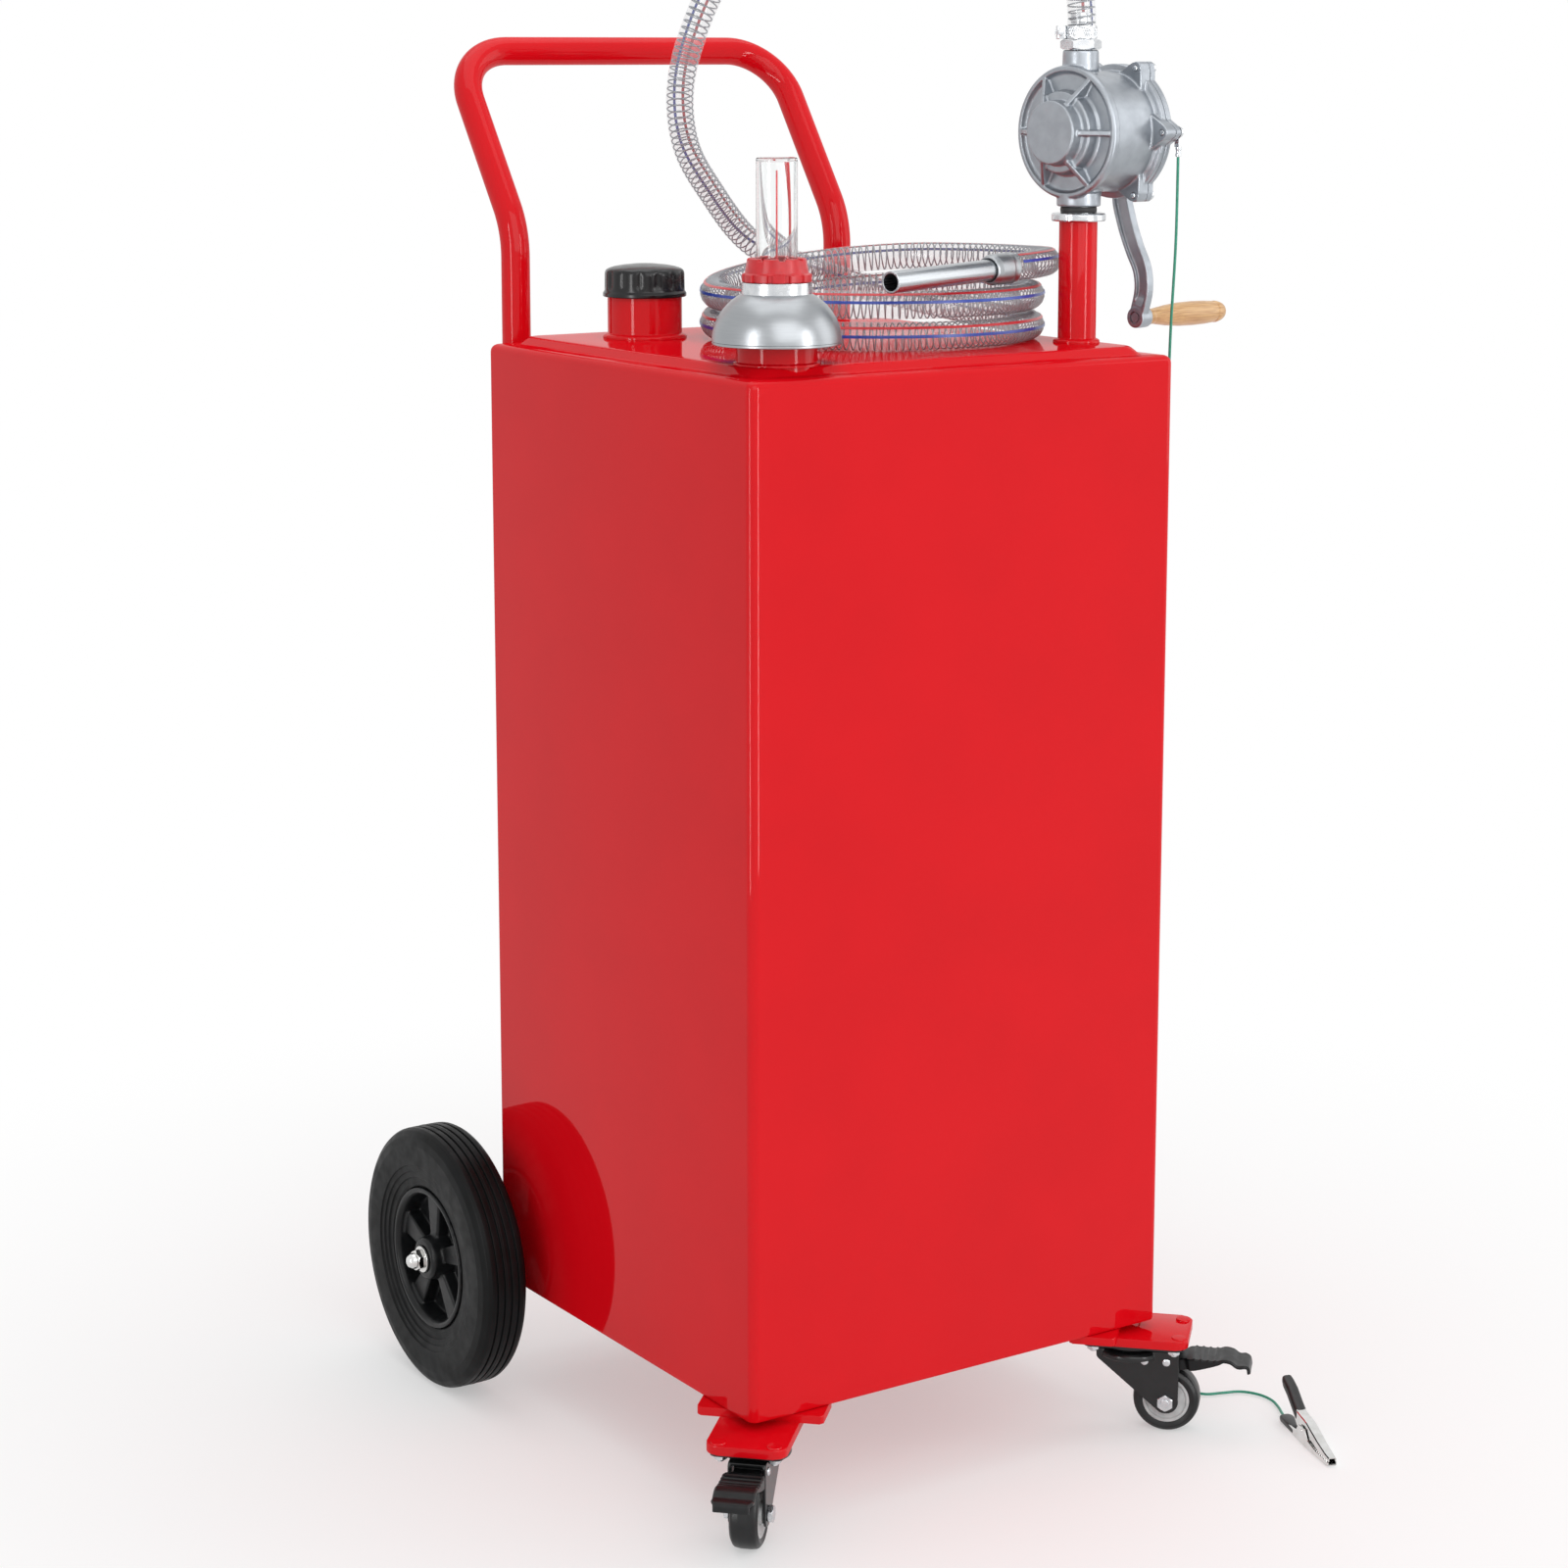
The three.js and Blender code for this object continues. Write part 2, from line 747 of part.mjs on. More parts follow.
// Ring nut: notched skirt over the hex collar's shoulder, clamping the tube's flange from above
function ringNut() {
  const top = nutFoot + ringNutHeight;
  const flange = nutFoot + ringNutFlange;
  const upper = nutFoot + ringNutFlange + sightFlange + seat;
  const outside = turned([
    [0, nutFoot], [ringNutFlangeDiameter / 2, nutFoot], [ringNutFlangeDiameter / 2, flange],
    [ringNutTopDiameter / 2 + ringNutNotchDepth, flange], [ringNutTopDiameter / 2, top], [0, top],
  ], middleSides);
  const corner = around(collarAcrossFlats, hexSides) + 2 * seat;
  const collarPocket = hole(corner, nutFoot - overrun, collarTop + seat, middleSides);
  const flangeTop = sightFoot + sightFlange + seat;
  const flangePocket = hole(sightFlangeDiameter + 2 * seat, nutFoot, flangeTop, middleSides);
  const tubeHole = hole(sightDiameter + 2 * seat, nutFoot, top + overrun, middleSides);
  const notches = Array.from({ length: ringNutNotches }, (unused, i) => {
    const reach = ringNutFlangeDiameter / 2;
    const half = ringNutNotchWidth / 2;
    const root = reach - ringNutNotchDepth / 2;
    const notch = block(root, reach + overrun, -half, half, nutFoot - overrun, upper);
    return notch.rotateZ((2 * Math.PI * (i + 0.5)) / ringNutNotches);
  });
  return cut(outside, collarPocket, flangePocket, tubeHole, ...notches);
}

// Closed clear tube with a flange at its foot
function sightTube() {
  const outer = sightDiameter / 2;
  const inner = outer - sightWall;
  const flange = sightFlangeDiameter / 2;
  const round = sightWall;
  return turned([
    [inner, sightFoot], [flange, sightFoot], [flange, sightFoot + sightFlange],
    [outer, sightFoot + sightFlange],
    [outer, sightTop - round], [outer - round, sightTop], [0, sightTop], [0, sightTop - sightWall],
    [inner, sightTop - sightWall],
  ], middleSides);
}

// Red rod in the clear tube, with the head that stops its fall, and the float that carries it
function gaugeFloat() {
  const top = sightTop - sightWall - floatRodTopGap;
  const rod = disc(floatRodDiameter, plateauTop - floatDepth, top, tinySides);
  const head = disc(floatHeadDiameter, top - floatHead, top, tinySides);
  const low = plateauTop - floatDepth - floatHeight;
  const r = floatDiameter / 2;
  const bulb = turned([
    [0, low], [r - floatChamfer, low], [r, low + floatChamfer], [r, low + floatHeight - floatChamfer],
    [r - floatChamfer, low + floatHeight], [0, low + floatHeight],
  ], smallSides);
  return join(rod, head, bulb);
}

add(gauge, 'gauge_dome', gaugeDome(), spunAluminium);
add(gauge, 'gauge_collar', gaugeCollar(), zincSteel);
add(gauge, 'gauge_ring_nut', ringNut(), brightRed);
add(gauge, 'sight_tube', sightTube(), clearPlastic);
add(gauge, 'gauge_float', gaugeFloat(), brightRed);

// Riser to the pump: lock ring, seal and suction tube on the standpipe's axis
const ringFoot = plateauTop + standpipeHeight + seat;
const sealFoot = ringFoot + lockRingHeight + seat;
const socketFoot = sealFoot + sealThickness + seat;
const tubeHoleDiameter = suctionDiameter + 2 * seat;

function suctionTube() {
  const bore = suctionDiameter - 2 * suctionWall;
  return sleeve(suctionDiameter, bore, suctionFoot, socketFoot + suctionEntry, smallSides);
}

function lockRing() {
  const blank = disc(lockRingDiameter, ringFoot, ringFoot + lockRingHeight, middleSides);
  return cut(blank, hole(tubeHoleDiameter, ringFoot - overrun, sealFoot + overrun, smallSides));
}

function pipeSeal() {
  const blank = disc(sealDiameter, sealFoot, sealFoot + sealThickness, middleSides);
  return cut(blank, hole(tubeHoleDiameter, sealFoot - overrun, socketFoot + overrun, smallSides));
}

add(riser, 'suction_tube', suctionTube(), zincSteel);
add(riser, 'lock_ring', lockRing(), zincSteel);
add(riser, 'pipe_seal', pipeSeal(), blackRubber);

// The pump's own frame: X sideways, Y up, Z back along the crank's axis
const pump = new THREE.Group();
const back = new THREE.Vector3(Math.cos(pumpTurn * radians), Math.sin(pumpTurn * radians), 0);
const upward = new THREE.Vector3(0, 0, 1);
const sideways = upward.clone().cross(back);
pump.quaternion.setFromRotationMatrix(new THREE.Matrix4().makeBasis(sideways, upward, back));
pump.position.set(standpipeX, standpipeY, pumpAxisHeight).addScaledVector(back, -portOffset);
caddy.add(pump);

const flangeBack = pumpBarrelLength + bodyFlange;
const coverFront = flangeBack + seat;
const coverBack = coverFront + coverFlange;
const coverHubEnd = coverBack + coverHubLength;

// Vertical cylinder in the pump's frame, at the ports' place
function port(diameter, low, high, sides) {
  return disc(diameter, low, high, sides).rotateX(-Math.PI / 2).translate(0, 0, portOffset);
}

// Screw lugs round a flange
function lugs(low, high) {
  const reach = lugCircleDiameter / 2;
  const tip = lugTipDiameter / 2;
  const steps = 3;
  const outline = [[pumpBarrelDiameter / 2 - overrun, -lugFootWidth / 2]];
  for (let i = 0; i <= steps; i += 1) {
    const angle = (i / steps - 0.5) * lugTipArc * radians;
    outline.push([reach + tip * Math.cos(angle), tip * Math.sin(angle)]);
  }
  outline.push([pumpBarrelDiameter / 2 - overrun, lugFootWidth / 2]);
  return Array.from({ length: lugCount }, (unused, i) => (
    raised(outline, low, high).rotateZ((2 * Math.PI * i) / lugCount)
  ));
}

function screwHoles(low, high) {
  return Array.from({ length: lugCount }, (unused, i) => (
    hole(coverScrewDiameter + 2 * seat, low, high, tinySides)
      .translate(lugCircleDiameter / 2, 0, 0)
      .rotateZ((2 * Math.PI * i) / lugCount)
  ));
}

function pumpBody() {
  const rim = rimDiameter / 2;
  const boss = bossDiameter / 2;
  const barrel = pumpBarrelDiameter / 2;
  const flange = pumpFlangeDiameter / 2;
  const casting = turned([
    [0, -bossFace], [boss - bossEdge, -bossFace], [boss, -bossFace + bossEdge], [boss, -bossFoot],
    [rim - rimWidth, rimRecess], [rim - rimWidth, 0], [rim, 0], [rim, rimThickness], [barrel, rimThickness],
    [barrel, pumpBarrelLength], [flange, pumpBarrelLength], [flange, flangeBack], [0, flangeBack],
  ], middleSides);
  const ribs = Array.from({ length: ribCount }, (unused, i) => {
    const profile = [
      [boss - ribThickness, 0], [rim - rimWidth / 2, 0], [rim - rimWidth / 2, rimRecess],
      [boss - ribThickness, bossFoot + ribStand],
    ];
    return raised(profile, -ribThickness / 2, ribThickness / 2)
      .rotateX(Math.PI / 2)
      .scale(1, 1, -1)
      .rotateZ((2 * Math.PI * i) / ribCount);
  });
  const inletFoot = socketFoot - pumpAxisHeight;
  const inlet = port(inletSocketDiameter, inletFoot, 0, middleSides);
  const outlet = port(outletSocketDiameter, 0, outletTop - pumpAxisHeight, middleSides);
  const chamber = hole(chamberDiameter, chamberFront, flangeBack + overrun, middleSides)
    .translate(0, -chamberOffset, 0);
  const inletBore = port(around(tubeHoleDiameter, smallSides), inletFoot - overrun, 0, smallSides);
  const outletBore = port(
    around(nippleStemDiameter + 2 * seat, smallSides), 0, outletTop - pumpAxisHeight + overrun, smallSides);
  const bearing = hole(
    shaftDiameter + 2 * seat, chamberFront - shaftFrontBearing, chamberFront + overrun, smallSides);
  const whole = join(casting, ...ribs, inlet, outlet, ...lugs(pumpBarrelLength, flangeBack));
  const threads = screwHoles(pumpBarrelLength - overrun, coverBack);
  return cut(whole, chamber, inletBore, outletBore, bearing, ...threads);
}

function pumpBackCover() {
  const flange = pumpFlangeDiameter / 2;
  const hub = coverHubDiameter / 2;
  const domeFootRadius = flange - rimWidth;
  const cover = turned([
    [0, coverFront], [flange, coverFront], [flange, coverBack], [domeFootRadius, coverBack],
    [hub, coverBack + coverFlange], [hub, coverHubEnd - bossEdge], [hub - bossEdge, coverHubEnd],
    [0, coverHubEnd],
  ], middleSides);
  const whole = join(cover, ...lugs(coverFront, coverBack));
  const bearing = hole(shaftDiameter + 2 * seat, coverFront - overrun, coverHubEnd + overrun, smallSides);
  return cut(whole, bearing, ...screwHoles(coverFront - overrun, coverBack + overrun));
}

// Rotor, with one blade that slides across it, keyed on the shaft
const rotorDiameter = chamberDiameter - 2 * chamberOffset - 2 * rotorGap;

function pumpRotor() {
  const low = chamberFront + rotorGap;
  const high = flangeBack - rotorGap;
  const half = vaneThickness / 2 + seat;
  const reach = rotorDiameter / 2 + overrun;
  const core = shaftDiameter / 2 + vaneThickness;
  const slot = block(-half, half, core, reach, low - overrun, high + overrun);
  const bore = hole(shaftDiameter + 2 * seat, low - overrun, high + overrun, smallSides);
  return cut(disc(rotorDiameter, low, high, middleSides), bore, slot);
}

function pumpVane() {
  const low = chamberFront + rotorGap;
  const high = flangeBack - rotorGap;
  const half = vaneThickness / 2;
  const core = shaftDiameter / 2 + vaneThickness + seat;
  return block(-half, half, core, rotorDiameter / 2 - vaneGap, low, high);
}

function pumpShaft() {
  const low = chamberFront - shaftFrontBearing + seat;
  return disc(shaftDiameter, low, crankHubOuter - crankPocketDepth, smallSides);
}

add(pump, 'pump_body', pumpBody(), castAluminium);
add(pump, 'pump_back_cover', pumpBackCover(), castAluminium);
add(pump, 'pump_rotor', pumpRotor(), zincSteel);
add(pump, 'pump_vane', pumpVane(), greyPlastic);
add(pump, 'pump_shaft', pumpShaft(), zincSteel);

// Cover screws; the one at the ground lead holds the lead's terminal under its head
const groundScrew = 3;

for (let i = 0; i < lugCount; i += 1) {
  const lift = i === groundScrew ? terminalThickness + seat : 0;
  const head = coverBack + seat + lift;
  const screw = join(
    disc(coverScrewDiameter, pumpBarrelLength, head + weldTolerance, tinySides),
    disc(coverScrewHeadDiameter, head, head + coverScrewHead, tinySides),
  );
  const angle = (2 * Math.PI * i) / lugCount;
  screw.translate(lugCircleDiameter / 2, 0, 0).rotateZ(angle);
  add(pump, `cover_screw_${i + 1}`, screw, zincSteel);
}

// Crank arm: a bent bar with a hub on the shaft and a pin for the grip
function crankArm() {
  const swayShares = [0, 0.35, 1, 0.75, 0.25, -0.2, -0.3, 0];
  const radiusShares = [0, 0.14, 0.34, 0.48, 0.63, 0.74, 0.85, 1];
  const middle = new THREE.SplineCurve(radiusShares.map((share, i) => (
    new THREE.Vector2(swayShares[i] * crankSway, -share * crankRadius)
  )));
  const steps = 12;
  const outline = (halfWidth, from, to) => {
    const sides = [[], []];
    for (let i = 0; i <= steps; i += 1) {
      const t = from + ((to - from) * i) / steps;
      const p = middle.getPointAt(t);
      const d = middle.getTangentAt(t);
      sides[0].push([p.x - d.y * halfWidth, p.y + d.x * halfWidth]);
      sides[1].unshift([p.x + d.y * halfWidth, p.y - d.x * halfWidth]);
    }
    return [...sides[0], ...sides[1]];
  };
  const pocketShares = [0.14, 0.9];
  const low = crankPlane;
  const high = crankPlane + crankThickness;
  const bar = raised(outline(crankWidth / 2, 0, 1), low, high);
  const pocket = raised(
    outline(crankWidth / 2 - crankFlange, ...pocketShares), high - crankPocketDepth, high + overrun);
  const end = (geometry) => geometry.translate(0, -crankRadius, 0);
  const blank = join(
    bar,
    disc(crankHubDiameter, crankHubInner, crankHubOuter, middleSides),
    end(disc(crankEndDiameter, low - seat, crankHubOuter, smallSides)),
  );
  const bore = hole(shaftDiameter + 2 * seat, low - overrun, crankHubOuter + overrun, smallSides);
  const bored = cut(blank, pocket, bore);
  const pin = end(disc(gripPinDiameter, low, crankHubOuter + seat + gripLength + seat, smallSides));
  return join(bored, pin);
}

// Turned grip, slim at its collar and its groove
function crankGrip() {
  const lengthShares = [0, 0.03, 0.06, 0.1, 0.25, 0.5, 0.75, 0.86, 0.88, 0.9, 0.97, 1];
  const widthShares = [0.62, 0.66, 0.6, 0.66, 0.84, 1, 0.97, 0.9, 0.84, 0.9, 0.82, 0.66];
  const low = crankHubOuter + seat;
  const side = lengthShares.map((share, i) => (
    [(widthShares[i] * gripDiameter) / 2, low + share * gripLength]
  ));
  const top = low + gripLength;
  const blank = turned([[0, low], ...side, [0, top]], smallSides);
  const bore = hole(gripPinDiameter + 2 * seat, low - overrun, top + overrun, smallSides);
  return cut(blank, bore).translate(0, -crankRadius, 0);
}

add(pump, 'crank_arm', crankArm(), castAluminium);
add(pump, 'crank_grip', crankGrip(), lightWood);

// Hose nipple: stem in the pump's outlet, hexagon, and a barb inside the hose
const nippleFoot = outletTop + seat;
const hoseFoot = nippleFoot + nippleHexHeight + seat;

function hoseNipple() {
  const stem = disc(nippleStemDiameter, outletTop - nippleStem, nippleFoot + overrun, smallSides);
  const hex = hexagon(nippleAcrossFlats, nippleFoot, nippleFoot + nippleHexHeight);
  const barb = disc(barbDiameter, nippleFoot, hoseFoot + barbLength, smallSides);
  const low = outletTop - nippleStem - overrun;
  const bore = hole(nippleBore, low, hoseFoot + barbLength + overrun, smallSides);
  return cut(join(stem, hex, barb), bore);
}

// Worm-drive clamp: a band round the hose with its screw housing on one side
function hoseClamp() {
  const inner = around(hoseDiameter + 2 * seat, middleSides);
  const outer = inner + 2 * clampBand;
  const high = hoseFoot + clampHeight;
  const half = clampBoxLength / 2;
  const box = block(-half, half, inner / 2 + seat, outer / 2 + clampBoxWidth - clampBand, hoseFoot, high);
  const screw = alongX(disc(clampScrewDiameter, -clampScrewLength / 2, clampScrewLength / 2, tinySides))
    .translate(0, outer / 2 + clampBoxWidth / 2 - clampBand, (hoseFoot + high) / 2);
  const band = join(disc(outer, hoseFoot, high, middleSides), box, screw);
  return cut(band, disc(inner, hoseFoot - overrun, high + overrun, middleSides)).rotateZ(clampTurn * radians);
}

add(riser, 'hose_nipple', hoseNipple(), zincSteel);
add(riser, 'hose_clamp', hoseClamp(), zincSteel);

// Hose. Its route is chosen by hand up to the coil, and again from the coil to the nozzle.
const hoseRoute = [
  [166, -121, 1160], [148, -104, 1200], [112, -73, 1232], [64, -34, 1247], [16, 6, 1238], [-24, 42, 1208],
  [-51, 73, 1160], [-67, 95, 1110], [-71, 114, 1058], [-56, 130, 1009], [-20, 146, 967], [30, 159, 930],
].map((p) => new THREE.Vector3(...p));
const tailRoute = [
  [181, 46, 910.2], [192.5, 13, 910.4], [195, -20, 910.8], [191.7, -45.4, 911.4], [181.9, -69, 912],
  [166.3, -89.3, 912.3], [147.5, -104.2, 912.3], [127.8, -113, 911.8],
].map((p) => new THREE.Vector3(...p));
const tailEnd = new THREE.Vector3(104.6, -120.7, 911.3);

function smoothStep(x) {
  const t = Math.min(Math.max(x, 0), 1);
  return t * t * (3 - 2 * t);
}

// A point of the coil after the given number of turns
function coilPoint(turns) {
  const angle = (coilEntryAngle - 360 * turns) * radians;
  const radius = coilEntryRadius + (coilRadius - coilEntryRadius) * smoothStep(turns / spiralInShare);
  const entry = Math.max(1 - turns / entryDropShare, 0) ** 2;
  const layers = [1, 2].map((n) => smoothStep((turns - n + 1 - climbStartShare) / climbShare));
  const height = plateauTop + seat + hoseDiameter / 2;
  return new THREE.Vector3(
    coilX + radius * Math.cos(angle),
    coilY + radius * Math.sin(angle),
    height + coilEntryDrop * entry + coilLayerRise * (layers[0] + layers[1]),
  );
}

const coilSteps = Math.round(coilTurns * loopSteps);
const loops = Array.from({ length: coilSteps + 1 }, (unused, i) => coilPoint((i * coilTurns) / coilSteps));
const entryHeading = loops[1].clone().sub(loops[0]).normalize();
const junction = loops[0].clone().addScaledVector(entryHeading, -hoseDiameter);
const nozzleHeading = tailEnd.clone().sub(tailRoute[tailRoute.length - 1]).normalize();
const coilRoute = [junction, ...loops, ...tailRoute, tailEnd];

// Least distance between stretches of the coil that aren't neighbours, less the hose's own diameter
function leastGap(points, diameter) {
  const parts = 4;
  const samples = [];
  for (let i = 0; i < points.length - 1; i += 1) {
    for (let k = 0; k < parts; k += 1) {
      samples.push(points[i].clone().lerp(points[i + 1], k / parts));
    }
  }
  const along = [0];
  for (let i = 1; i < samples.length; i += 1) {
    along.push(along[i - 1] + samples[i].distanceTo(samples[i - 1]));
  }
  let least = Infinity;
  samples.forEach((p, i) => {
    for (let k = i + 1; k < samples.length; k += 1) {
      if (along[k] - along[i] > 4 * diameter) {
        least = Math.min(least, p.distanceTo(samples[k]));
      }
    }
  });
  return least - diameter;
}

function routeLength(points) {
  return points.slice(1).reduce((sum, p, i) => sum + p.distanceTo(points[i]), 0);
}

// The free arch from the pump to the coil, hollow at its start for the nipple's barb
const archStart = new THREE.Vector3(standpipeX, standpipeY, hoseFoot);
const archLead = archStart.clone().setZ(hoseFoot + hoseDiameter);
const archEnd = junction.clone().addScaledVector(entryHeading, -hoseDiameter);
const archPoints = [archStart, archLead, ...hoseRoute, archEnd, junction];
const archCurve = new THREE.CatmullRomCurve3(archPoints, false, 'centripetal');

function hoseRun() {
  const steps = Math.ceil(archCurve.getLength() / hoseStep);
  const leadShare = hoseDiameter / archCurve.getLength();
  const between = Array.from({ length: steps }, (unused, i) => (
    archCurve.getPointAt(leadShare + ((1 - 2 * leadShare) * (i + 1)) / (steps + 1))
  ));
  const last = junction.clone().addScaledVector(entryHeading, -seat);
  const tube = tubeAlong([archStart, archLead, ...between, archEnd, last], hoseDiameter, hoseSides);
  const barbHole = hole(barbDiameter + 2 * seat, hoseFoot - overrun, hoseFoot + barbLength + seat, smallSides)
    .translate(standpipeX, standpipeY, 0);
  return cut(tube, barbHole);
}

add(caddy, 'hose_run', hoseRun(), hosePlastic);
add(caddy, 'hose_coil', tubeAlong(coilRoute, hoseDiameter, loopSides), hosePlastic);
console.log('hose coil: least gap to itself', leastGap(coilRoute, hoseDiameter).toFixed(2), 'mm');
console.log('hose length', (archCurve.getLength() + routeLength(coilRoute)).toFixed(0), 'mm');

// Nozzle: a sleeve at the hose's end and an aluminium tube through it
const nozzle = new THREE.Group();
nozzle.position.copy(tailEnd);
nozzle.quaternion.setFromUnitVectors(upward, nozzleHeading);
caddy.add(nozzle);

function nozzleSleeve() {
  const blank = disc(sleeveDiameter, seat, seat + sleeveLength, middleSides);
  return cut(blank, hole(nozzleDiameter + 2 * seat, -overrun, sleeveLength + overrun, smallSides));
}

add(nozzle, 'nozzle_sleeve', nozzleSleeve(), spunAluminium);
add(nozzle, 'nozzle_tube', sleeve(nozzleDiameter, nozzleBore, seat, nozzleLength, smallSides), spunAluminium);

// Ground lead: terminal under a cover screw, wire down the tank's side to the floor, and a clip
const terminalLow = coverBack + seat;

function groundTerminal() {
  const screwX = -lugCircleDiameter / 2;
  const high = terminalLow + terminalThickness;
  const half = terminalBarrel / 2;
  const ring = disc(terminalDiameter, terminalLow, high, smallSides).translate(screwX, 0, 0);
  const tail = block(screwX - half, screwX + half, -terminalTail, 0, terminalLow, high);
  const barrelStart = terminalTail - terminalBarrel;
  const barrelEnd = terminalTail + terminalBarrelLength;
  const barrel = disc(terminalBarrel, barrelStart, barrelEnd, tinySides)
    .rotateX(Math.PI / 2)
    .translate(screwX, 0, terminalLow + half);
  const gap = hole(coverScrewDiameter + 2 * seat, terminalLow - overrun, high + overrun, tinySides)
    .translate(screwX, 0, 0);
  return cut(join(ring, tail, barrel), gap);
}

add(pump, 'ground_terminal', groundTerminal(), zincSteel);

pump.updateMatrixWorld(true);
const wireStart = new THREE.Vector3(
  -lugCircleDiameter / 2, -terminalTail - terminalBarrelLength - seat, terminalLow + terminalBarrel / 2,
).applyMatrix4(pump.matrixWorld);
const clipFloorShare = 0.1;
const clipEntry = new THREE.Vector3(
  clipX, clipY, floorZ + 2 * seat + clipFloorShare * clipPivotHeight + wireDiameter / 2,
);
const floorWire = floorZ + wireDiameter;
const wireRoute = [
  [wireStart.x, wireStart.y, wireStart.z - wireDrop],
  [235, -176, 930], [238, -168, 855], [243, -160, 780], [249, -150, 660],
  [255, -142, 520], [260, -134, 380], [265, -126, 240], [269, -118, 110], [272, -113, 0],
  [274, -113, -60], [276, -120, -88], [277, -132, floorWire], [280, -150, floorWire], [283, -170, floorWire],
  [290, -183, floorWire], [304, -189, floorWire], [320, -196, floorWire], [329, -210, floorWire],
  [330, -226, floorWire], [325, -240, floorWire],
].map((p) => new THREE.Vector3(...p));

function groundWire() {
  const heading = new THREE.Vector3(Math.cos(clipHeading * radians), Math.sin(clipHeading * radians), 0);
  const inside = clipEntry.clone().addScaledVector(heading, clipWireGrip);
  const points = [wireStart, ...wireRoute, clipEntry, inside];
  const curve = new THREE.CatmullRomCurve3(points, false, 'centripetal');
  console.log('ground wire length', curve.getLength().toFixed(0), 'mm');
  return tubeAlong(curve.getSpacedPoints(wireSteps), wireDiameter, wireSides);
}

add(caddy, 'ground_wire', groundWire(), greenWire);

// Alligator clip, lying on the floor: X runs from its handles to its jaws
const clip = groupAt(caddy, clipX, clipY, floorZ + seat);
clip.rotation.z = clipHeading * radians;
const pivotShare = 0.5;

// Outline in shares of the clip's length and of its height at the pivot, raised across its width
function clipProfile(lengthShares, heightShares, width) {
  const outline = lengthShares.map((share, i) => [share * clipLength, heightShares[i] * clipPivotHeight]);
  return raised(outline, -width / 2, width / 2).rotateX(Math.PI / 2);
}

function clipLower() {
  const lengthShares = [0, 0.03, 0.97, 1, 1, 0.8, 0.62, 0.56, 0.44, 0.38, 0];
  const heightShares = [0.12, 0, 0, 0.1, 0.28, 0.3, 0.5, 1, 1, 0.5, 0.42];
  const innerLengthShares = [-0.1, 1.1, 1.1, -0.1];
  const innerHeightShares = [clipFloorShare, clipFloorShare, 1.3, 1.3];
  const shell = clipProfile(lengthShares, heightShares, clipWidth);
  const inner = clipProfile(innerLengthShares, innerHeightShares, clipWidth - 2 * clipSheet);
  const pinSpan = clipWidth / 2;
  const pin = alongY(disc(clipPinDiameter, -pinSpan, pinSpan, tinySides))
    .translate(pivotShare * clipLength, 0, clipPinHeight);
  return join(cut(shell, inner), pin);
}

function clipUpper() {
  const width = clipWidth - 2 * clipSheet - 2 * seat;
  const lengthShares = [0, 0.05, 0.42, 0.56, 0.8, 1, 1, 0.8, 0.56, 0.44, 0.32, 0.02];
  const heightShares = [2.4, 2.2, 0.52, 0.36, 0.34, 0.31, 0.55, 0.85, 1.35, 1.45, 1.4, 2.75];
  const blank = clipProfile(lengthShares, heightShares, width);
  const pinHole = alongY(hole(clipPinDiameter + 2 * clipPinGap, -clipWidth, clipWidth, tinySides))
    .translate(pivotShare * clipLength, 0, clipPinHeight);
  return cut(blank, pinHole);
}

add(clip, 'clip_lower', clipLower(), zincSteel);
add(clip, 'clip_upper', clipUpper(), zincSteel);

// Push handle: one bent tube, fixed behind the tank by lugs
function pushHandle() {
  const x = handleSpacing / 2;
  const y = rearFace + handleStandOff + handleTube / 2;
  const lean = (handleTop - handleBendHeight) * Math.tan(handleLean * radians);
  const corners = [
    [-x, y, handleFoot], [-x, y, handleBendHeight], [-x, y + lean, handleTop],
    [x, y + lean, handleTop], [x, y, handleBendHeight], [x, y, handleFoot],
  ].map((p) => new THREE.Vector3(...p));
  const radii = [handleBendRadius, handleCornerRadius, handleCornerRadius, handleBendRadius];
  const steps = [handleBendSteps, handleCornerSteps, handleCornerSteps, handleBendSteps];
  const bend = filleted(corners, radii, steps);
  const outside = tubeAlong(bend, handleTube, handleSides);
  const bore = handleTube - 2 * handleWall;
  const inside = tubeAlong(bend, bore, tinySides);
  const lugsOnLegs = [-x, x].flatMap((side) => [0, 1].map((i) => (
    alongY(disc(handleLugDiameter, 0, y - rearFace - seat, tinySides))
      .translate(side, rearFace + seat, handleFoot + handleLugInset + i * handleLugPitch)
  )));
  const mouth = (side) => (
    disc(bore, handleFoot - overrun, handleFoot + overrun, tinySides).translate(side, y, 0)
  );
  return cut(join(outside, ...lugsOnLegs), inside, mouth(-x), mouth(x));
}

add(caddy, 'handle_tube', pushHandle(), redEnamel);

// Rear axle, its carrier and the wheels
const rearAxle = groupAt(caddy, 0, rearFace + axleBehindTank, axleHeight);
const nutFace = wheelOuterFace - (wheelWidth - hubCoreLength) / 2;

function axle() {
  const bar = nutFace + seat;
  const end = bar + axleThread;
  return alongX(join(
    disc(axleDiameter, -bar, bar, smallSides),
    disc(axleThreadDiameter, -end, end, smallSides),
  ));
}

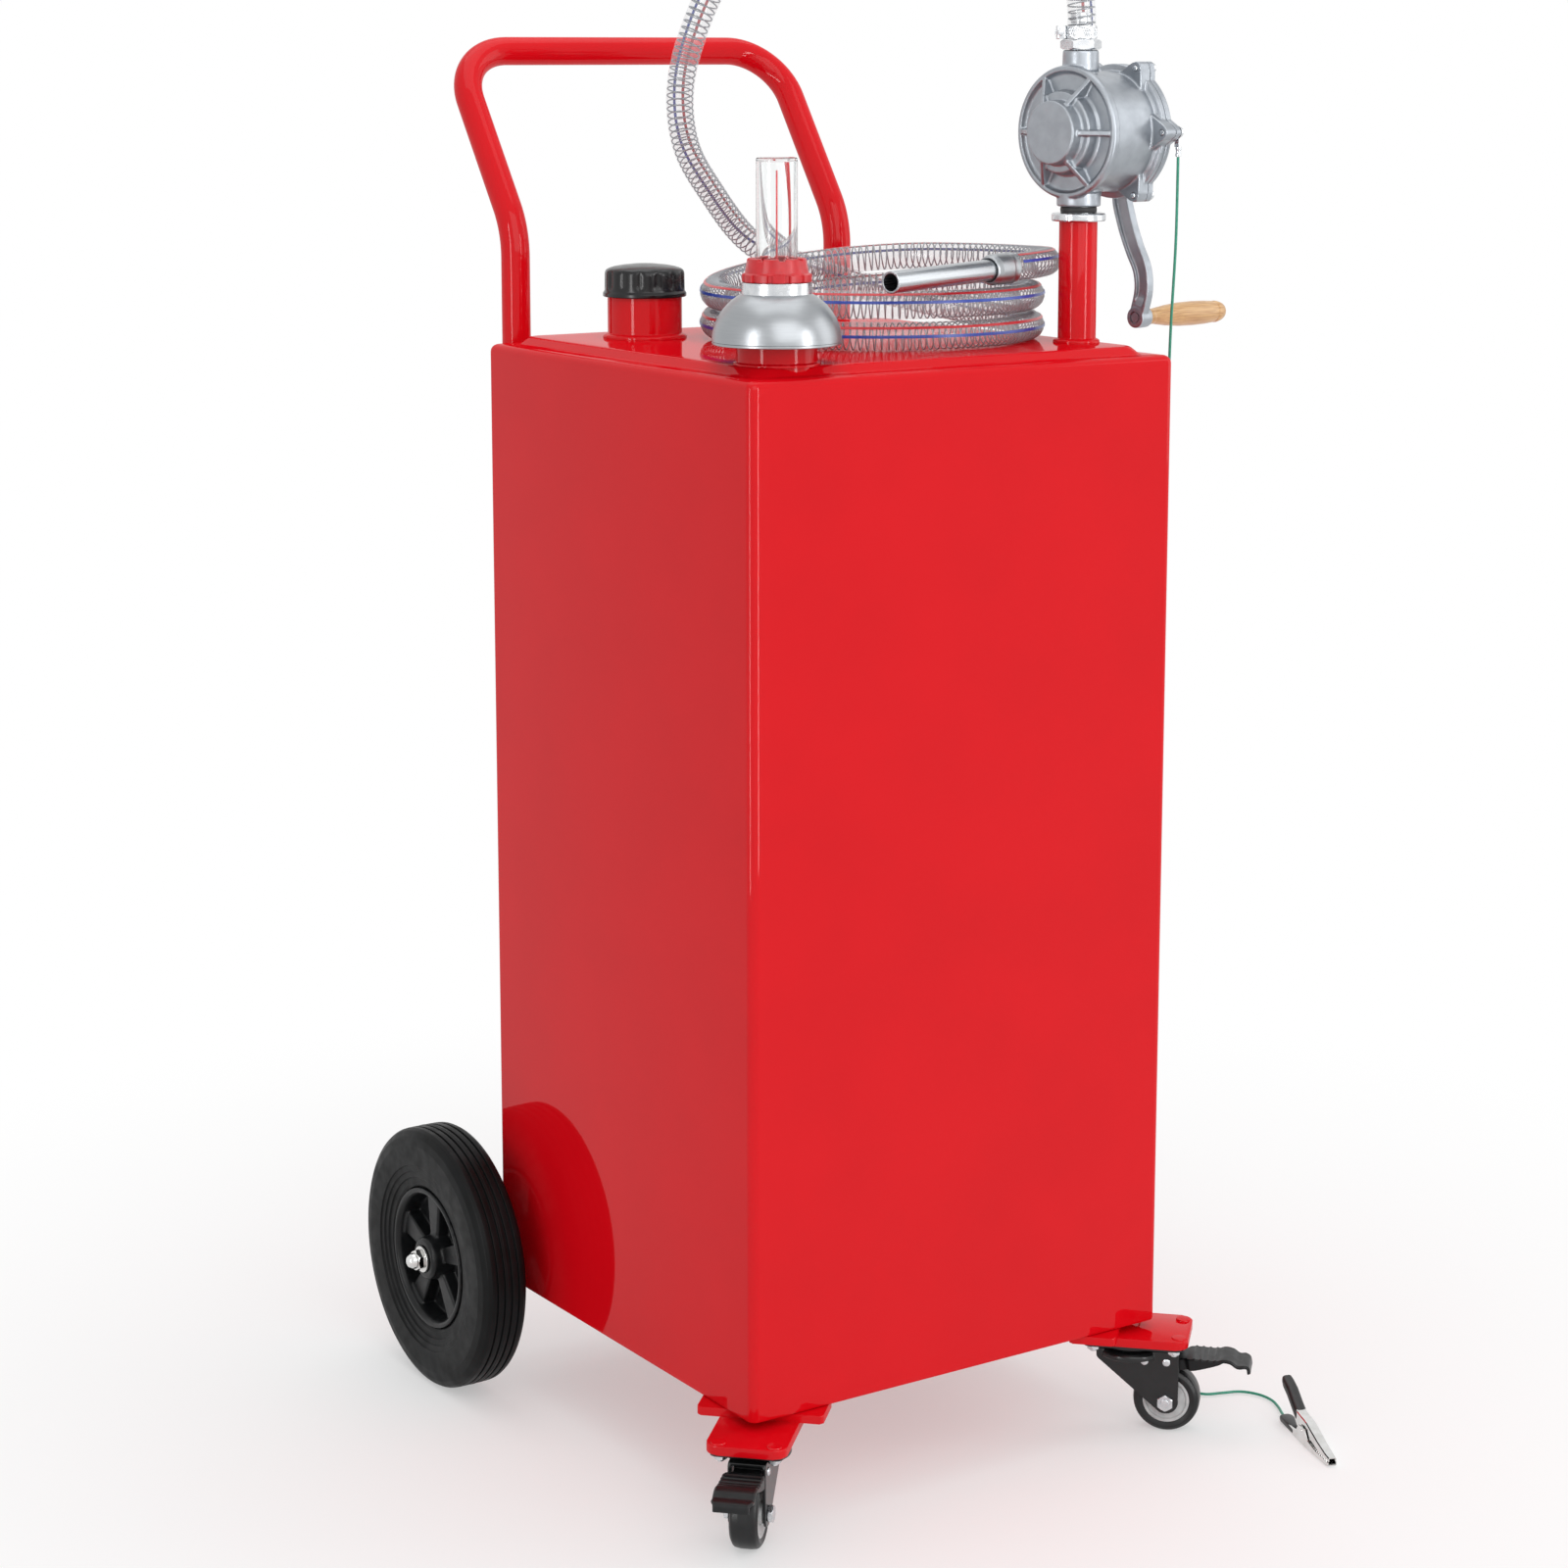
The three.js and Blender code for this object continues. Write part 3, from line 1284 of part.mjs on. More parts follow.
function axleCarrier() {
  const tube = alongX(disc(carrierTubeDiameter, -carrierLength / 2, carrierLength / 2, middleSides));
  const bore = alongX(hole(axleDiameter + 2 * seat, -carrierLength, carrierLength, smallSides));
  const near = -axleBehindTank + seat;
  const half = carrierPlateWidth / 2;
  const top = carrierPlateHeight - axleHeight;
  const plate = block(-half, half, near, near + carrierPlateThickness, -axleHeight + seat, top);
  const gussets = [-1, 0, 1].map((side) => {
    const outline = [
      [near, -carrierTubeDiameter / 2], [0, -carrierTubeDiameter / 2], [carrierTubeDiameter / 2, 0],
      [carrierTubeDiameter / 2, carrierTubeDiameter / 4], [near + carrierPlateThickness, carrierGussetHeight],
      [near, carrierGussetHeight],
    ];
    const sheet = raised(outline, -carrierGussetThickness / 2, carrierGussetThickness / 2);
    return sheet.rotateX(Math.PI / 2).rotateZ(Math.PI / 2).translate(side * carrierGussetPitch, 0, 0);
  });
  return cut(join(plate, tube, ...gussets), bore);
}

add(rearAxle, 'axle', axle(), zincSteel);
add(rearAxle, 'axle_carrier', axleCarrier(), redEnamel);

// Solid tyre: rounded shoulders, tread grooves, and one step in each side
function tyre() {
  const half = wheelWidth / 2;
  const outer = wheelDiameter / 2;
  const bore = tyreBoreDiameter / 2;
  const stepOuter = bore + tyreStepWidth;
  const pitch = (wheelWidth - 2 * tyreShoulder) / (treadGrooves + 1);
  const tread = [];
  for (let i = 1; i <= treadGrooves; i += 1) {
    const middle = -half + tyreShoulder + i * pitch;
    const edge = treadGrooveWidth / 2;
    tread.push([outer, middle - edge], [outer - treadGrooveDepth, middle], [outer, middle + edge]);
  }
  return turned([
    [bore, -half + tyreStep], [stepOuter, -half + tyreStep], [stepOuter + tyreStep, -half],
    [outer - tyreShoulder, -half], [outer, -half + tyreShoulder], ...tread, [outer, half - tyreShoulder],
    [outer - tyreShoulder, half], [stepOuter + tyreStep, half], [stepOuter, half - tyreStep],
    [bore, half - tyreStep],
  ], largeSides);
}

// Hub: rim, thin web, wedge spokes in front of it, and a core that turns on the axle
function wheelHub() {
  const rimOuter = tyreBoreDiameter - 2 * seat;
  const rimInner = rimOuter - 2 * hubRimThickness;
  const half = hubRimWidth / 2;
  const web = half - hubWebInset;
  const rim = sleeve(rimOuter, rimInner, -half, half, largeSides);
  const plate = disc(rimInner + hubRimThickness, web - hubWeb, web, middleSides);
  const core = disc(hubCoreDiameter, -hubCoreLength / 2, hubCoreLength / 2, middleSides);
  const spokes = Array.from({ length: spokeCount }, (unused, i) => {
    const outline = [
      [0, -spokeRootWidth / 2], [rimInner / 2 + seat, -spokeTipWidth / 2],
      [rimInner / 2 + seat, spokeTipWidth / 2], [0, spokeRootWidth / 2],
    ];
    return raised(outline, -spokeDepth / 2, spokeDepth / 2).rotateZ((2 * Math.PI * i) / spokeCount);
  });
  const bore = hole(axleDiameter + 2 * seat, -wheelWidth, wheelWidth, smallSides);
  return cut(join(rim, plate, core, ...spokes), bore);
}

// Washer, hexagon and dome in one nut, bored blind for the axle's thread
function axleNut() {
  const hexTop = acornWasher + acornHex;
  const dome = acornDiameter / 2;
  const steps = 3;
  const cap = [[0, 0], [dome, 0]];
  for (let i = 0; i <= steps; i += 1) {
    const angle = ((90 * i) / steps) * radians;
    cap.push([dome * Math.cos(angle), hexTop + acornDome * Math.sin(angle)]);
  }
  cap[cap.length - 1][0] = 0;
  const blank = join(
    disc(acornWasherDiameter, 0, acornWasher, smallSides),
    hexagon(acornHexAcrossFlats, 0, hexTop),
    turned(cap, smallSides),
  );
  return cut(blank, hole(axleThreadDiameter + 2 * seat, -overrun, axleThread + seat, smallSides));
}

for (const [name, side] of [['left', -1], ['right', 1]]) {
  const wheel = groupAt(rearAxle, side * (wheelOuterFace - wheelWidth / 2), 0, 0);
  wheel.rotation.y = (side * Math.PI) / 2;
  add(wheel, `tyre_${name}`, tyre(), blackRubber);
  add(wheel, `wheel_hub_${name}`, wheelHub(), blackPlastic);
  const nut = groupAt(rearAxle, side * (nutFace + 2 * seat), 0, 0);
  nut.rotation.y = (side * Math.PI) / 2;
  add(nut, `axle_nut_${name}`, axleNut(), zincSteel);
}

// Caster bracket: a bar across the tank's corner and a plate under it that stands out past the corner
const plateTop = -bracketBar;
const plateFoot = plateTop - bracketPlate;
const casterTop = plateFoot - seat;
const raceFoot = casterTop - casterPlate - casterRace;
const forkTop = raceFoot - seat;
const casterAxle = floorZ + casterWheelDiameter / 2;

function casterBracket() {
  const length = bracketOuter - bracketInner;
  const centre = (bracketOuter + bracketInner) / 2;
  const outline = roundedRectangle(length, bracketWidth, bracketCornerRadius);
  const plate = raised(outline, plateFoot, plateTop).translate(centre, 0, 0);
  const bar = block(
    bracketInner, bracketInner + bracketBarDepth, -bracketBarWidth / 2, bracketBarWidth / 2,
    plateTop - seat, -seat);
  const pads = [-1, 1].map((side) => (
    disc(padDiameter, plateTop - seat, plateTop + padHeight, smallSides)
      .translate(bracketOuter - padInset, (side * padPitch) / 2, 0)
  ));
  return join(plate, bar, ...pads);
}

// Caster top plate with its half of the swivel race and the king pin
function casterMount() {
  const length = casterPlateOuter - casterPlateInner;
  const centre = (casterPlateOuter + casterPlateInner) / 2;
  const outline = roundedRectangle(length, casterPlateWidth, bracketCornerRadius);
  const plate = raised(outline, casterTop - casterPlate, casterTop).translate(centre - swivelAxis, 0, 0);
  const race = disc(casterRaceDiameter, raceFoot, casterTop, smallSides);
  const pinFoot = forkTop - forkSheet - seat;
  const pin = disc(casterPinDiameter, pinFoot - forkSheet, casterTop, smallSides);
  const head = disc(casterPinHead, pinFoot - forkSheet, pinFoot, smallSides);
  return join(plate, race, pin, head);
}

// Fork: a round cap and two cheeks that trail back to the axle
function casterFork() {
  const cheekInner = casterWheelWidth / 2 + casterWheelGap;
  const cheekOuter = cheekInner + forkSheet;
  const capRadius = forkDiscDiameter / 2;
  const outline = [[-capRadius, forkTop], [-capRadius, forkTop - forkSkirt / 2]];
  const steps = 5;
  for (let i = 0; i <= steps; i += 1) {
    const angle = (forkAxleArcStart + (forkAxleArc * i) / steps) * radians;
    const x = casterTrail + forkAxleRadius * Math.cos(angle);
    outline.push([x, casterAxle + forkAxleRadius * Math.sin(angle)]);
  }
  outline.push([forkRearReach, forkTop - forkSkirt], [forkRearReach, forkTop]);
  const cheeks = [[-cheekOuter, -cheekInner], [cheekInner, cheekOuter]].map(([low, high]) => (
    raised(outline, low, high).rotateX(Math.PI / 2)
  ));
  const cap = disc(forkDiscDiameter, forkTop - forkSheet, forkTop, smallSides);
  const pinHole = hole(
    casterPinDiameter + 2 * seat, forkTop - forkSheet - overrun, forkTop + overrun, smallSides);
  const reach = cheekOuter + overrun;
  const boltHole = alongY(hole(casterBoltDiameter + 2 * seat, -reach, reach, tinySides))
    .translate(casterTrail, 0, casterAxle);
  const pin = alongY(disc(pedalPinDiameter, -cheekOuter, cheekOuter, tinySides))
    .translate(pedalPivotX, 0, -pedalPivotDrop);
  return join(cut(join(cap, ...cheeks), pinHole, boltHole), pin);
}

function casterWheel() {
  const half = casterWheelWidth / 2;
  const outer = casterWheelDiameter / 2;
  const core = casterCoreDiameter / 2;
  const dish = casterTreadRadius / 2;
  const profile = turned([
    [0, -half], [casterBoltHead / 2, -half], [core - dish, -half + dish], [core, -half + dish],
    [core + dish, -half],
    [outer - casterTreadRadius, -half], [outer, -half + casterTreadRadius], [outer, half - casterTreadRadius],
    [outer - casterTreadRadius, half], [core + dish, half], [core, half - dish], [core - dish, half - dish],
    [casterBoltHead / 2, half], [0, half],
  ], smallSides);
  const bore = hole(casterBoltDiameter + 2 * seat, -half - overrun, half + overrun, smallSides);
  return alongY(cut(profile, bore));
}

function casterBolt() {
  const face = casterWheelWidth / 2 + casterWheelGap + forkSheet + seat;
  const end = face + casterBoltHeadHeight;
  return alongY(join(
    disc(casterBoltDiameter, -end, end, tinySides),
    hexagon(casterBoltHead, face, end),
    hexagon(casterBoltHead, -end, -face),
  ));
}

// Brake pedal: a bent plate on a pin between the cheeks, ribbed across its tread
function brakePedal() {
  const high = -pedalPivotDrop;
  const low = high - pedalSheet;
  const hub = pedalPinDiameter / 2 + pedalSheet;
  const tipDropShares = [0, 0, 0.55, 1, 0.6, -0.1];
  const lengthShares = [0, 0.24, 0.5, 0.78, 0.93, 1];
  const line = lengthShares.map((share, i) => (
    [pedalPivotX + share * (pedalTipX - pedalPivotX), high - tipDropShares[i] * pedalTipRise]
  ));
  const outline = [...line, ...line.slice().reverse().map(([x, z]) => [x, z - pedalSheet])];
  const sheet = raised(outline, -pedalWidth / 2, pedalWidth / 2).rotateX(Math.PI / 2);
  const side = pedalInnerWidth / 2;
  const trims = [-1, 1].map((sign) => block(
    pedalPivotX - overrun, pedalWaist, Math.min(sign * side, sign * pedalWidth),
    Math.max(sign * side, sign * pedalWidth), low - pedalWidth, high + pedalWidth,
  ));
  const barrel = alongY(disc(2 * hub, -side, side, smallSides)).translate(pedalPivotX, 0, -pedalPivotDrop);
  const ribs = Array.from({ length: pedalRibs }, (unused, i) => {
    const x = pedalTipX - pedalRibPitch * (i + 1) - pedalRibWidth;
    const curve = new THREE.CatmullRomCurve3(line.map(([px, pz]) => new THREE.Vector3(px, 0, pz)));
    const share = (x - pedalPivotX) / (pedalTipX - pedalPivotX);
    const z = curve.getPointAt(share).z;
    const half = pedalWidth / 2;
    return block(x, x + pedalRibWidth, -half, half, z - pedalSheet / 2, z + pedalRibHeight);
  });
  const pinHole = alongY(hole(pedalPinDiameter + 2 * seat, -pedalWidth, pedalWidth, tinySides))
    .translate(pedalPivotX, 0, -pedalPivotDrop);
  return cut(join(cut(sheet, ...trims), barrel, ...ribs), pinHole);
}

for (const [name, side] of [['left', -1], ['right', 1]]) {
  const corner = groupAt(caddy, (side * tankWidth) / 2, -tankDepth / 2, 0);
  corner.rotation.z = side < 0 ? -0.75 * Math.PI : -0.25 * Math.PI;
  add(corner, `caster_bracket_${name}`, casterBracket(), redEnamel);
  const swivel = groupAt(corner, swivelAxis, 0, 0);
  add(swivel, `caster_plate_${name}`, casterMount(), blackSteel);
  add(swivel, `caster_fork_${name}`, casterFork(), blackSteel);
  const hub = groupAt(swivel, casterTrail, 0, casterAxle);
  add(hub, `caster_wheel_${name}`, casterWheel(), blackRubber);
  add(hub, `caster_bolt_${name}`, casterBolt(), zincSteel);
  add(swivel, `brake_pedal_${name}`, brakePedal(), blackPlastic);
}

// Set the caddy on the floor, with the middle of its box over the origin. The hose and the ground lead,
// which can be moved about, don't count.
const leads = new Set([
  'hose_run', 'hose_coil', 'nozzle_sleeve', 'nozzle_tube',
  'ground_wire', 'ground_terminal', 'clip_lower', 'clip_upper',
]);
caddy.updateMatrixWorld(true);
const bounds = new THREE.Box3();
caddy.traverse((item) => {
  if (item.isMesh && !leads.has(item.name)) {
    bounds.expandByObject(item, true);
  }
});
const middle = bounds.getCenter(new THREE.Vector3());
caddy.position.set(-middle.x, -middle.y, -bounds.min.z);

export default caddy;
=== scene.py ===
# %% [markdown]
# # A fuel caddy, dressed piece by piece
# The caddy is a red steel tank on wheels. A hand-cranked pump stands on a pipe at its front right corner,
# a clear hose lies coiled on its top, and a bent tube behind it is the handle it is pushed by. Its
# construction was settled first, and is loaded here as a frame of plain solids at their real places. Each
# cell below takes one piece of the real caddy and builds the surface that the eye sees around it.

import json
from math import acos, ceil, cos, pi, radians, sin, tan

import bmesh
import bpy
from mathutils import Matrix, Vector

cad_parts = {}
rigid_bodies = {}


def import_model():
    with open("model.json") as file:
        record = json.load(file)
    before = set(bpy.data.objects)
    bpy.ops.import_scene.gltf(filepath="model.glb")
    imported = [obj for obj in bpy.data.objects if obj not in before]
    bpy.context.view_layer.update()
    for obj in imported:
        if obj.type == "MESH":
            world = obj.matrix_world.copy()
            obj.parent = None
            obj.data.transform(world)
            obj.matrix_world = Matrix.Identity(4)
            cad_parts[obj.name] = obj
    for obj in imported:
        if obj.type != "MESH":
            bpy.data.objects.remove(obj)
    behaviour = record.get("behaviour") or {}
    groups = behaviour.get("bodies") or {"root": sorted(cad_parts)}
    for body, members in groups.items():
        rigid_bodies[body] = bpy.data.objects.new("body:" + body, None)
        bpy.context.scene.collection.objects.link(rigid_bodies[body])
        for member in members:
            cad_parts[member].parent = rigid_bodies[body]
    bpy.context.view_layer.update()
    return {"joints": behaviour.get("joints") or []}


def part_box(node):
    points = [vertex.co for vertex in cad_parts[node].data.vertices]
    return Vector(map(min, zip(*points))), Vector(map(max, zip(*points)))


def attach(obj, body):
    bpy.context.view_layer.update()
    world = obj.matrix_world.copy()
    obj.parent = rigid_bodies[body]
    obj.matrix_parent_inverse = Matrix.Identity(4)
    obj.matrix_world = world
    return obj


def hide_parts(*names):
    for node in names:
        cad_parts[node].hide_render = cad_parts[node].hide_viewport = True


for spare in list(bpy.data.objects):
    bpy.data.objects.remove(spare)
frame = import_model()

# %% [markdown]
# ## Where things are
# Everything is drawn in millimetres, as a workshop drawing is, and turned to metres at the last moment.
# The tank's own origin is the middle of its underside. The frame gives that point, and it also gives the
# axis of each neck and each joint, so no place has to be guessed twice.

# %% Places from the frame
MM = 0.001
RISE = Vector((0, 0, 1))


def centre_of(node):
    """The middle of a solid's box and its lowest height, in millimetres."""
    low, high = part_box(node)
    return Vector(((low.x + high.x) / 2, (low.y + high.y) / 2, low.z)) / MM


def axes(origin, x, y, z):
    """A place with its own axes, in millimetres."""
    place = Matrix((x, y, z)).transposed().to_4x4()
    place.translation = origin
    return place


TANK = Matrix.Translation(centre_of("tank_body"))
JOINTS = {joint["name"]: joint for joint in frame["joints"]}


def above(node):
    """The tank's heights over the axis of one of its necks."""
    spot = centre_of(node)
    return Matrix.Translation((spot.x, spot.y, TANK.translation.z))


FILLER = above("filler_neck")
GAUGE = above("gauge_dome")
RISER = above("standpipe")
crank_back = Vector(JOINTS["crank_turn"]["axis"])
crank_origin = Vector(JOINTS["crank_turn"]["pos_m"]) / MM
PUMP = axes(crank_origin, RISE.cross(crank_back), RISE, crank_back)
print("tank origin:", [round(v, 1) for v in TANK.translation])

# %% [markdown]
# ## The camera
# The photograph was taken with a long lens from the front left, a little above the tank's top, and its
# verticals are upright. A small shift keeps them nearly so and still leaves room for other views.

# %% Camera
CAMERA_PLACE = Vector((-1651.3, -2409.3, 1186.8))
CAMERA_YAW = 33.63
CAMERA_PITCH = 9.883
CAMERA_LENS, CAMERA_SENSOR = 78.1, 36
CAMERA_SHIFT = -0.09

camera_data = bpy.data.cameras.new("camera")
camera_data.sensor_width = CAMERA_SENSOR
camera_data.lens = CAMERA_LENS
camera_data.shift_y = CAMERA_SHIFT
camera = bpy.data.objects.new("camera", camera_data)
bpy.context.scene.collection.objects.link(camera)
yaw = radians(CAMERA_YAW)
pitch = radians(CAMERA_PITCH)
look = Vector((sin(yaw) * cos(pitch), cos(yaw) * cos(pitch), -sin(pitch)))
camera.location = CAMERA_PLACE * MM
camera.rotation_euler = look.to_track_quat("-Z", "Y").to_euler()
bpy.context.scene.camera = camera
bpy.context.scene.view_settings.view_transform = "Standard"
print("camera at", [round(v, 2) for v in camera.location], "lens", camera_data.lens)

# %% [markdown]
# ## Colours and nodes
# Paint charts give colours as sRGB hex, and a shader wants them linear, so one function turns them. One
# more function adds a node: it sets the node's own properties and sockets, and joins its inputs.

# %% Colour and node helpers
def linear(hex_colour):
    """An sRGB hex colour as linear red, green, blue and alpha."""
    parts = [int(hex_colour[i:i + 2], 16) / 255 for i in (1, 3, 5)]
    return [c / 12.92 if c <= 0.04045 else ((c + 0.055) / 1.055) ** 2.4 for c in parts] + [1.0]


def add_node(tree, kind, settings=None, links=None):
    """Adds one node. Settings are properties or sockets, and links feed its sockets."""
    node = tree.nodes.new(kind)
    for name, value in (settings or {}).items():
        if isinstance(name, str) and hasattr(node, name):
            setattr(node, name, value)
        else:
            node.inputs[name].default_value = value
    for name, source in (links or {}).items():
        tree.links.new(source, node.inputs[name])
    return node


def finish_of(name, slot, colour, roughness, **sockets):
    """A material with one shader, its record slot, and any other sockets by name."""
    material = bpy.data.materials.new(name)
    material.use_nodes = True
    material["slot"] = slot
    shader = material.node_tree.nodes["Principled BSDF"]
    shader.inputs["Base Color"].default_value = linear(colour)
    shader.inputs["Roughness"].default_value = roughness
    for socket, value in sockets.items():
        shader.inputs[socket.replace("_", " ")].default_value = value
    return material


# %% [markdown]
# ## Patterns in real sizes
# Three small patterns carry most finishes: relief, which roughens the surface, mottle, which varies its
# gloss, and tint, which varies its colour. Each takes the size of its own detail in millimetres, and a
# stretch where a tool has drawn the detail out along one direction.

# %% Relief, mottle and tint
# Nearly all values of the noise lie between two shares, which are stretched over the whole range.
MOTTLE_FROM, MOTTLE_TO = 0.3, 0.7
TINT_FROM, TINT_TO = 0.35, 0.68


def speckle(material, size, stretch=(1, 1, 1), detail=2.0):
    """Noise whose features are about `size` millimetres across, on the piece's own coordinates."""
    tree = material.node_tree
    where = add_node(tree, "ShaderNodeTexCoord")
    scaled = add_node(
        tree, "ShaderNodeVectorMath", {"operation": "MULTIPLY", 1: [1 / s for s in stretch]},
        {0: where.outputs["Object"]})
    return add_node(
        tree, "ShaderNodeTexNoise", {"Scale": 1 / (size * MM), "Detail": detail},
        {"Vector": scaled.outputs[0]})


def relief(material, size, depth, stretch=(1, 1, 1), strength=1.0):
    """Bumps `depth` millimetres high."""
    tree = material.node_tree
    shader = tree.nodes["Principled BSDF"]
    grain = speckle(material, size, stretch)
    before = shader.inputs["Normal"].links
    links = {"Height": grain.outputs["Fac"]}
    if before:
        links["Normal"] = before[0].from_socket
    bump = add_node(
        tree, "ShaderNodeBump", {"Distance": depth * MM, "Strength": strength}, links)
    tree.links.new(bump.outputs["Normal"], shader.inputs["Normal"])


def mottle(material, size, spread, stretch=(1, 1, 1)):
    """Roughness that wanders by `spread` to each side of its own value."""
    tree = material.node_tree
    shader = tree.nodes["Principled BSDF"]
    middle = shader.inputs["Roughness"].default_value
    grain = speckle(material, size, stretch)
    ramp = add_node(
        tree, "ShaderNodeMapRange",
        {"From Min": MOTTLE_FROM, "From Max": MOTTLE_TO,
         "To Min": max(middle - spread, 0.0), "To Max": middle + spread},
        {"Value": grain.outputs["Fac"]})
    tree.links.new(ramp.outputs["Result"], shader.inputs["Roughness"])


def tint(material, size, other, share, stretch=(1, 1, 1), detail=2.0):
    """Colour that wanders by `share` of the way to another colour."""
    tree = material.node_tree
    shader = tree.nodes["Principled BSDF"]
    own = list(shader.inputs["Base Color"].default_value)
    far = [a + (b - a) * share for a, b in zip(own, linear(other))]
    grain = speckle(material, size, stretch, detail)
    ramp = add_node(tree, "ShaderNodeValToRGB", links={"Fac": grain.outputs["Fac"]})
    ramp.color_ramp.elements[0].position = TINT_FROM
    ramp.color_ramp.elements[0].color = own
    ramp.color_ramp.elements[1].position = TINT_TO
    ramp.color_ramp.elements[1].color = far
    tree.links.new(ramp.outputs["Color"], shader.inputs["Base Color"])


# %% [markdown]
# ## Paint and plated metal
# The tank is sheet steel in stoved red enamel, sprayed and baked, so it has a hard clear gloss over a
# deep red and a trace of orange peel. Small hardware is zinc-plated steel, which is bright but slightly
# milky. The axle nuts and the clip's jaws are nickel plate, which is almost a mirror. Each metal could be
# one plain colour, but then it looks like grey paint: small changes of gloss and tone are what tells
# plate from paint.

# %% Enamel and plate
red_enamel = finish_of(
    "stoved_red_enamel", "red_enamel", "#DB0A17", 0.4, Specular_IOR_Level=0.0, Coat_Weight=0.42,
    Coat_Roughness=0.03)
# Orange peel of 2 mm in a sprayed coat: it makes reflections shiver a little.
relief(red_enamel, 2.2, 0.006, strength=0.35)
# Sheet steel is never dead flat: dents of a few hundredths over a hand's breadth bend reflections.
relief(red_enamel, 150.0, 0.12, strength=0.3)
tint(red_enamel, 90.0, "#CC0814", 0.3)

zinc_plate = finish_of("bright_zinc_plate", "zinc_plate", "#D3D5D7", 0.24, Metallic=1.0)
relief(zinc_plate, 0.8, 0.01, strength=0.5)
mottle(zinc_plate, 3.0, 0.07)
tint(zinc_plate, 6.0, "#B4B8BD", 0.6)

nickel_plate = finish_of("polished_nickel_plate", "bright_plate", "#DEDEDD", 0.07, Metallic=1.0)
mottle(nickel_plate, 4.0, 0.03)
tint(nickel_plate, 9.0, "#C4C3BF", 0.5)
print("plated and painted:", red_enamel.name, zinc_plate.name, nickel_plate.name)

# %% [markdown]
# ## Aluminium, three ways
# The gauge's dome was spun over a former, so the tool left fine rings round its axis. The nozzle was
# drawn and brushed, so its lines run lengthwise. The pump and the crank are sand castings, left as they
# came out of the mould and tumbled: grey, matt, with the sand's grain. A photograph of brushed metal
# would repeat itself and show its seams, while noise that is drawn out along the tool's way has neither.

# %% Aluminium finishes
spun_aluminium = finish_of("spun_aluminium", "satin_aluminium", "#9EA1A4", 0.32, Metallic=1.0)
# Turning marks 0.7 mm apart: noise that is squeezed along the height and drawn out round the axis.
relief(spun_aluminium, 18.0, 0.02, stretch=(1, 1, 0.04), strength=0.2)
mottle(spun_aluminium, 14.0, 0.03, stretch=(1, 1, 0.05))
tint(spun_aluminium, 20.0, "#93969A", 0.35, stretch=(1, 1, 0.05))

brushed_aluminium = finish_of("brushed_drawn_aluminium", "satin_aluminium", "#B2B5B8", 0.28, Metallic=1.0)
# Brush lines 0.5 mm wide and about 60 mm long.
relief(brushed_aluminium, 0.5, 0.02, stretch=(1, 1, 120), strength=0.5)
mottle(brushed_aluminium, 0.9, 0.09, stretch=(1, 1, 80))
tint(brushed_aluminium, 1.2, "#A9ADB2", 0.5, stretch=(1, 1, 60))

cast_aluminium = finish_of("tumbled_cast_aluminium", "cast_aluminium", "#A2A7AD", 0.38, Metallic=0.9)
# Sand grain of 0.7 mm, drawn a little coarse so that it still shows, over cooling marks of 9 mm.
relief(cast_aluminium, 0.75, 0.05, strength=0.55)
relief(cast_aluminium, 9.0, 0.12, strength=0.3)
mottle(cast_aluminium, 5.0, 0.06)
tint(cast_aluminium, 12.0, "#8E9399", 0.5)
print("aluminium:", spun_aluminium.name, brushed_aluminium.name, cast_aluminium.name)

# %% [markdown]
# ## Plastics and rubber
# The filler cap and the brake pedals are moulded black plastic with a fine spark-eroded skin. The tyres
# are vulcanised rubber, matt and a little grey with dust. The hubs are moulded in a harder plastic. The
# clear tube of the gauge is acrylic. From afar one black would do for all, but near by, gloss and grain
# tell a cap from a tyre, so each has its own.

# %% Plastic and rubber finishes
cap_plastic = finish_of(
    "moulded_black_polypropylene", "black_plastic", "#0F1012", 0.24, Specular_IOR_Level=0.36)
relief(cap_plastic, 0.6, 0.003, strength=0.3)
mottle(cap_plastic, 7.0, 0.04)
tint(cap_plastic, 12.0, "#141517", 0.6)

hub_plastic = finish_of("moulded_black_nylon", "black_plastic", "#0F1011", 0.36, Specular_IOR_Level=0.25)
relief(hub_plastic, 0.6, 0.02, strength=0.5)
mottle(hub_plastic, 8.0, 0.06)
tint(hub_plastic, 15.0, "#1D1E20", 0.6)

red_nylon = finish_of("moulded_red_nylon", "red_plastic", "#CF1420", 0.34)
relief(red_nylon, 0.5, 0.01, strength=0.4)
mottle(red_nylon, 5.0, 0.06)
tint(red_nylon, 8.0, "#B20F1A", 0.5)

tyre_rubber = finish_of("vulcanised_tyre_rubber", "tyre_rubber", "#0D0E0E", 0.44, Specular_IOR_Level=0.12)
relief(tyre_rubber, 0.9, 0.04, strength=0.5)
mottle(tyre_rubber, 12.0, 0.08)
# Dust dries into the skin in soft patches.
tint(tyre_rubber, 28.0, "#17181A", 0.6, detail=5.0)

seal_rubber = finish_of("moulded_nitrile_rubber", "black_rubber", "#1B1B1C", 0.55)
relief(seal_rubber, 0.6, 0.02, strength=0.4)
tint(seal_rubber, 6.0, "#2A2A2B", 0.6)

tread_rubber = finish_of("moulded_caster_tread", "caster_rubber", "#151617", 0.35, Specular_IOR_Level=0.35)
relief(tread_rubber, 0.6, 0.02, strength=0.5)
tint(tread_rubber, 9.0, "#202122", 0.6)

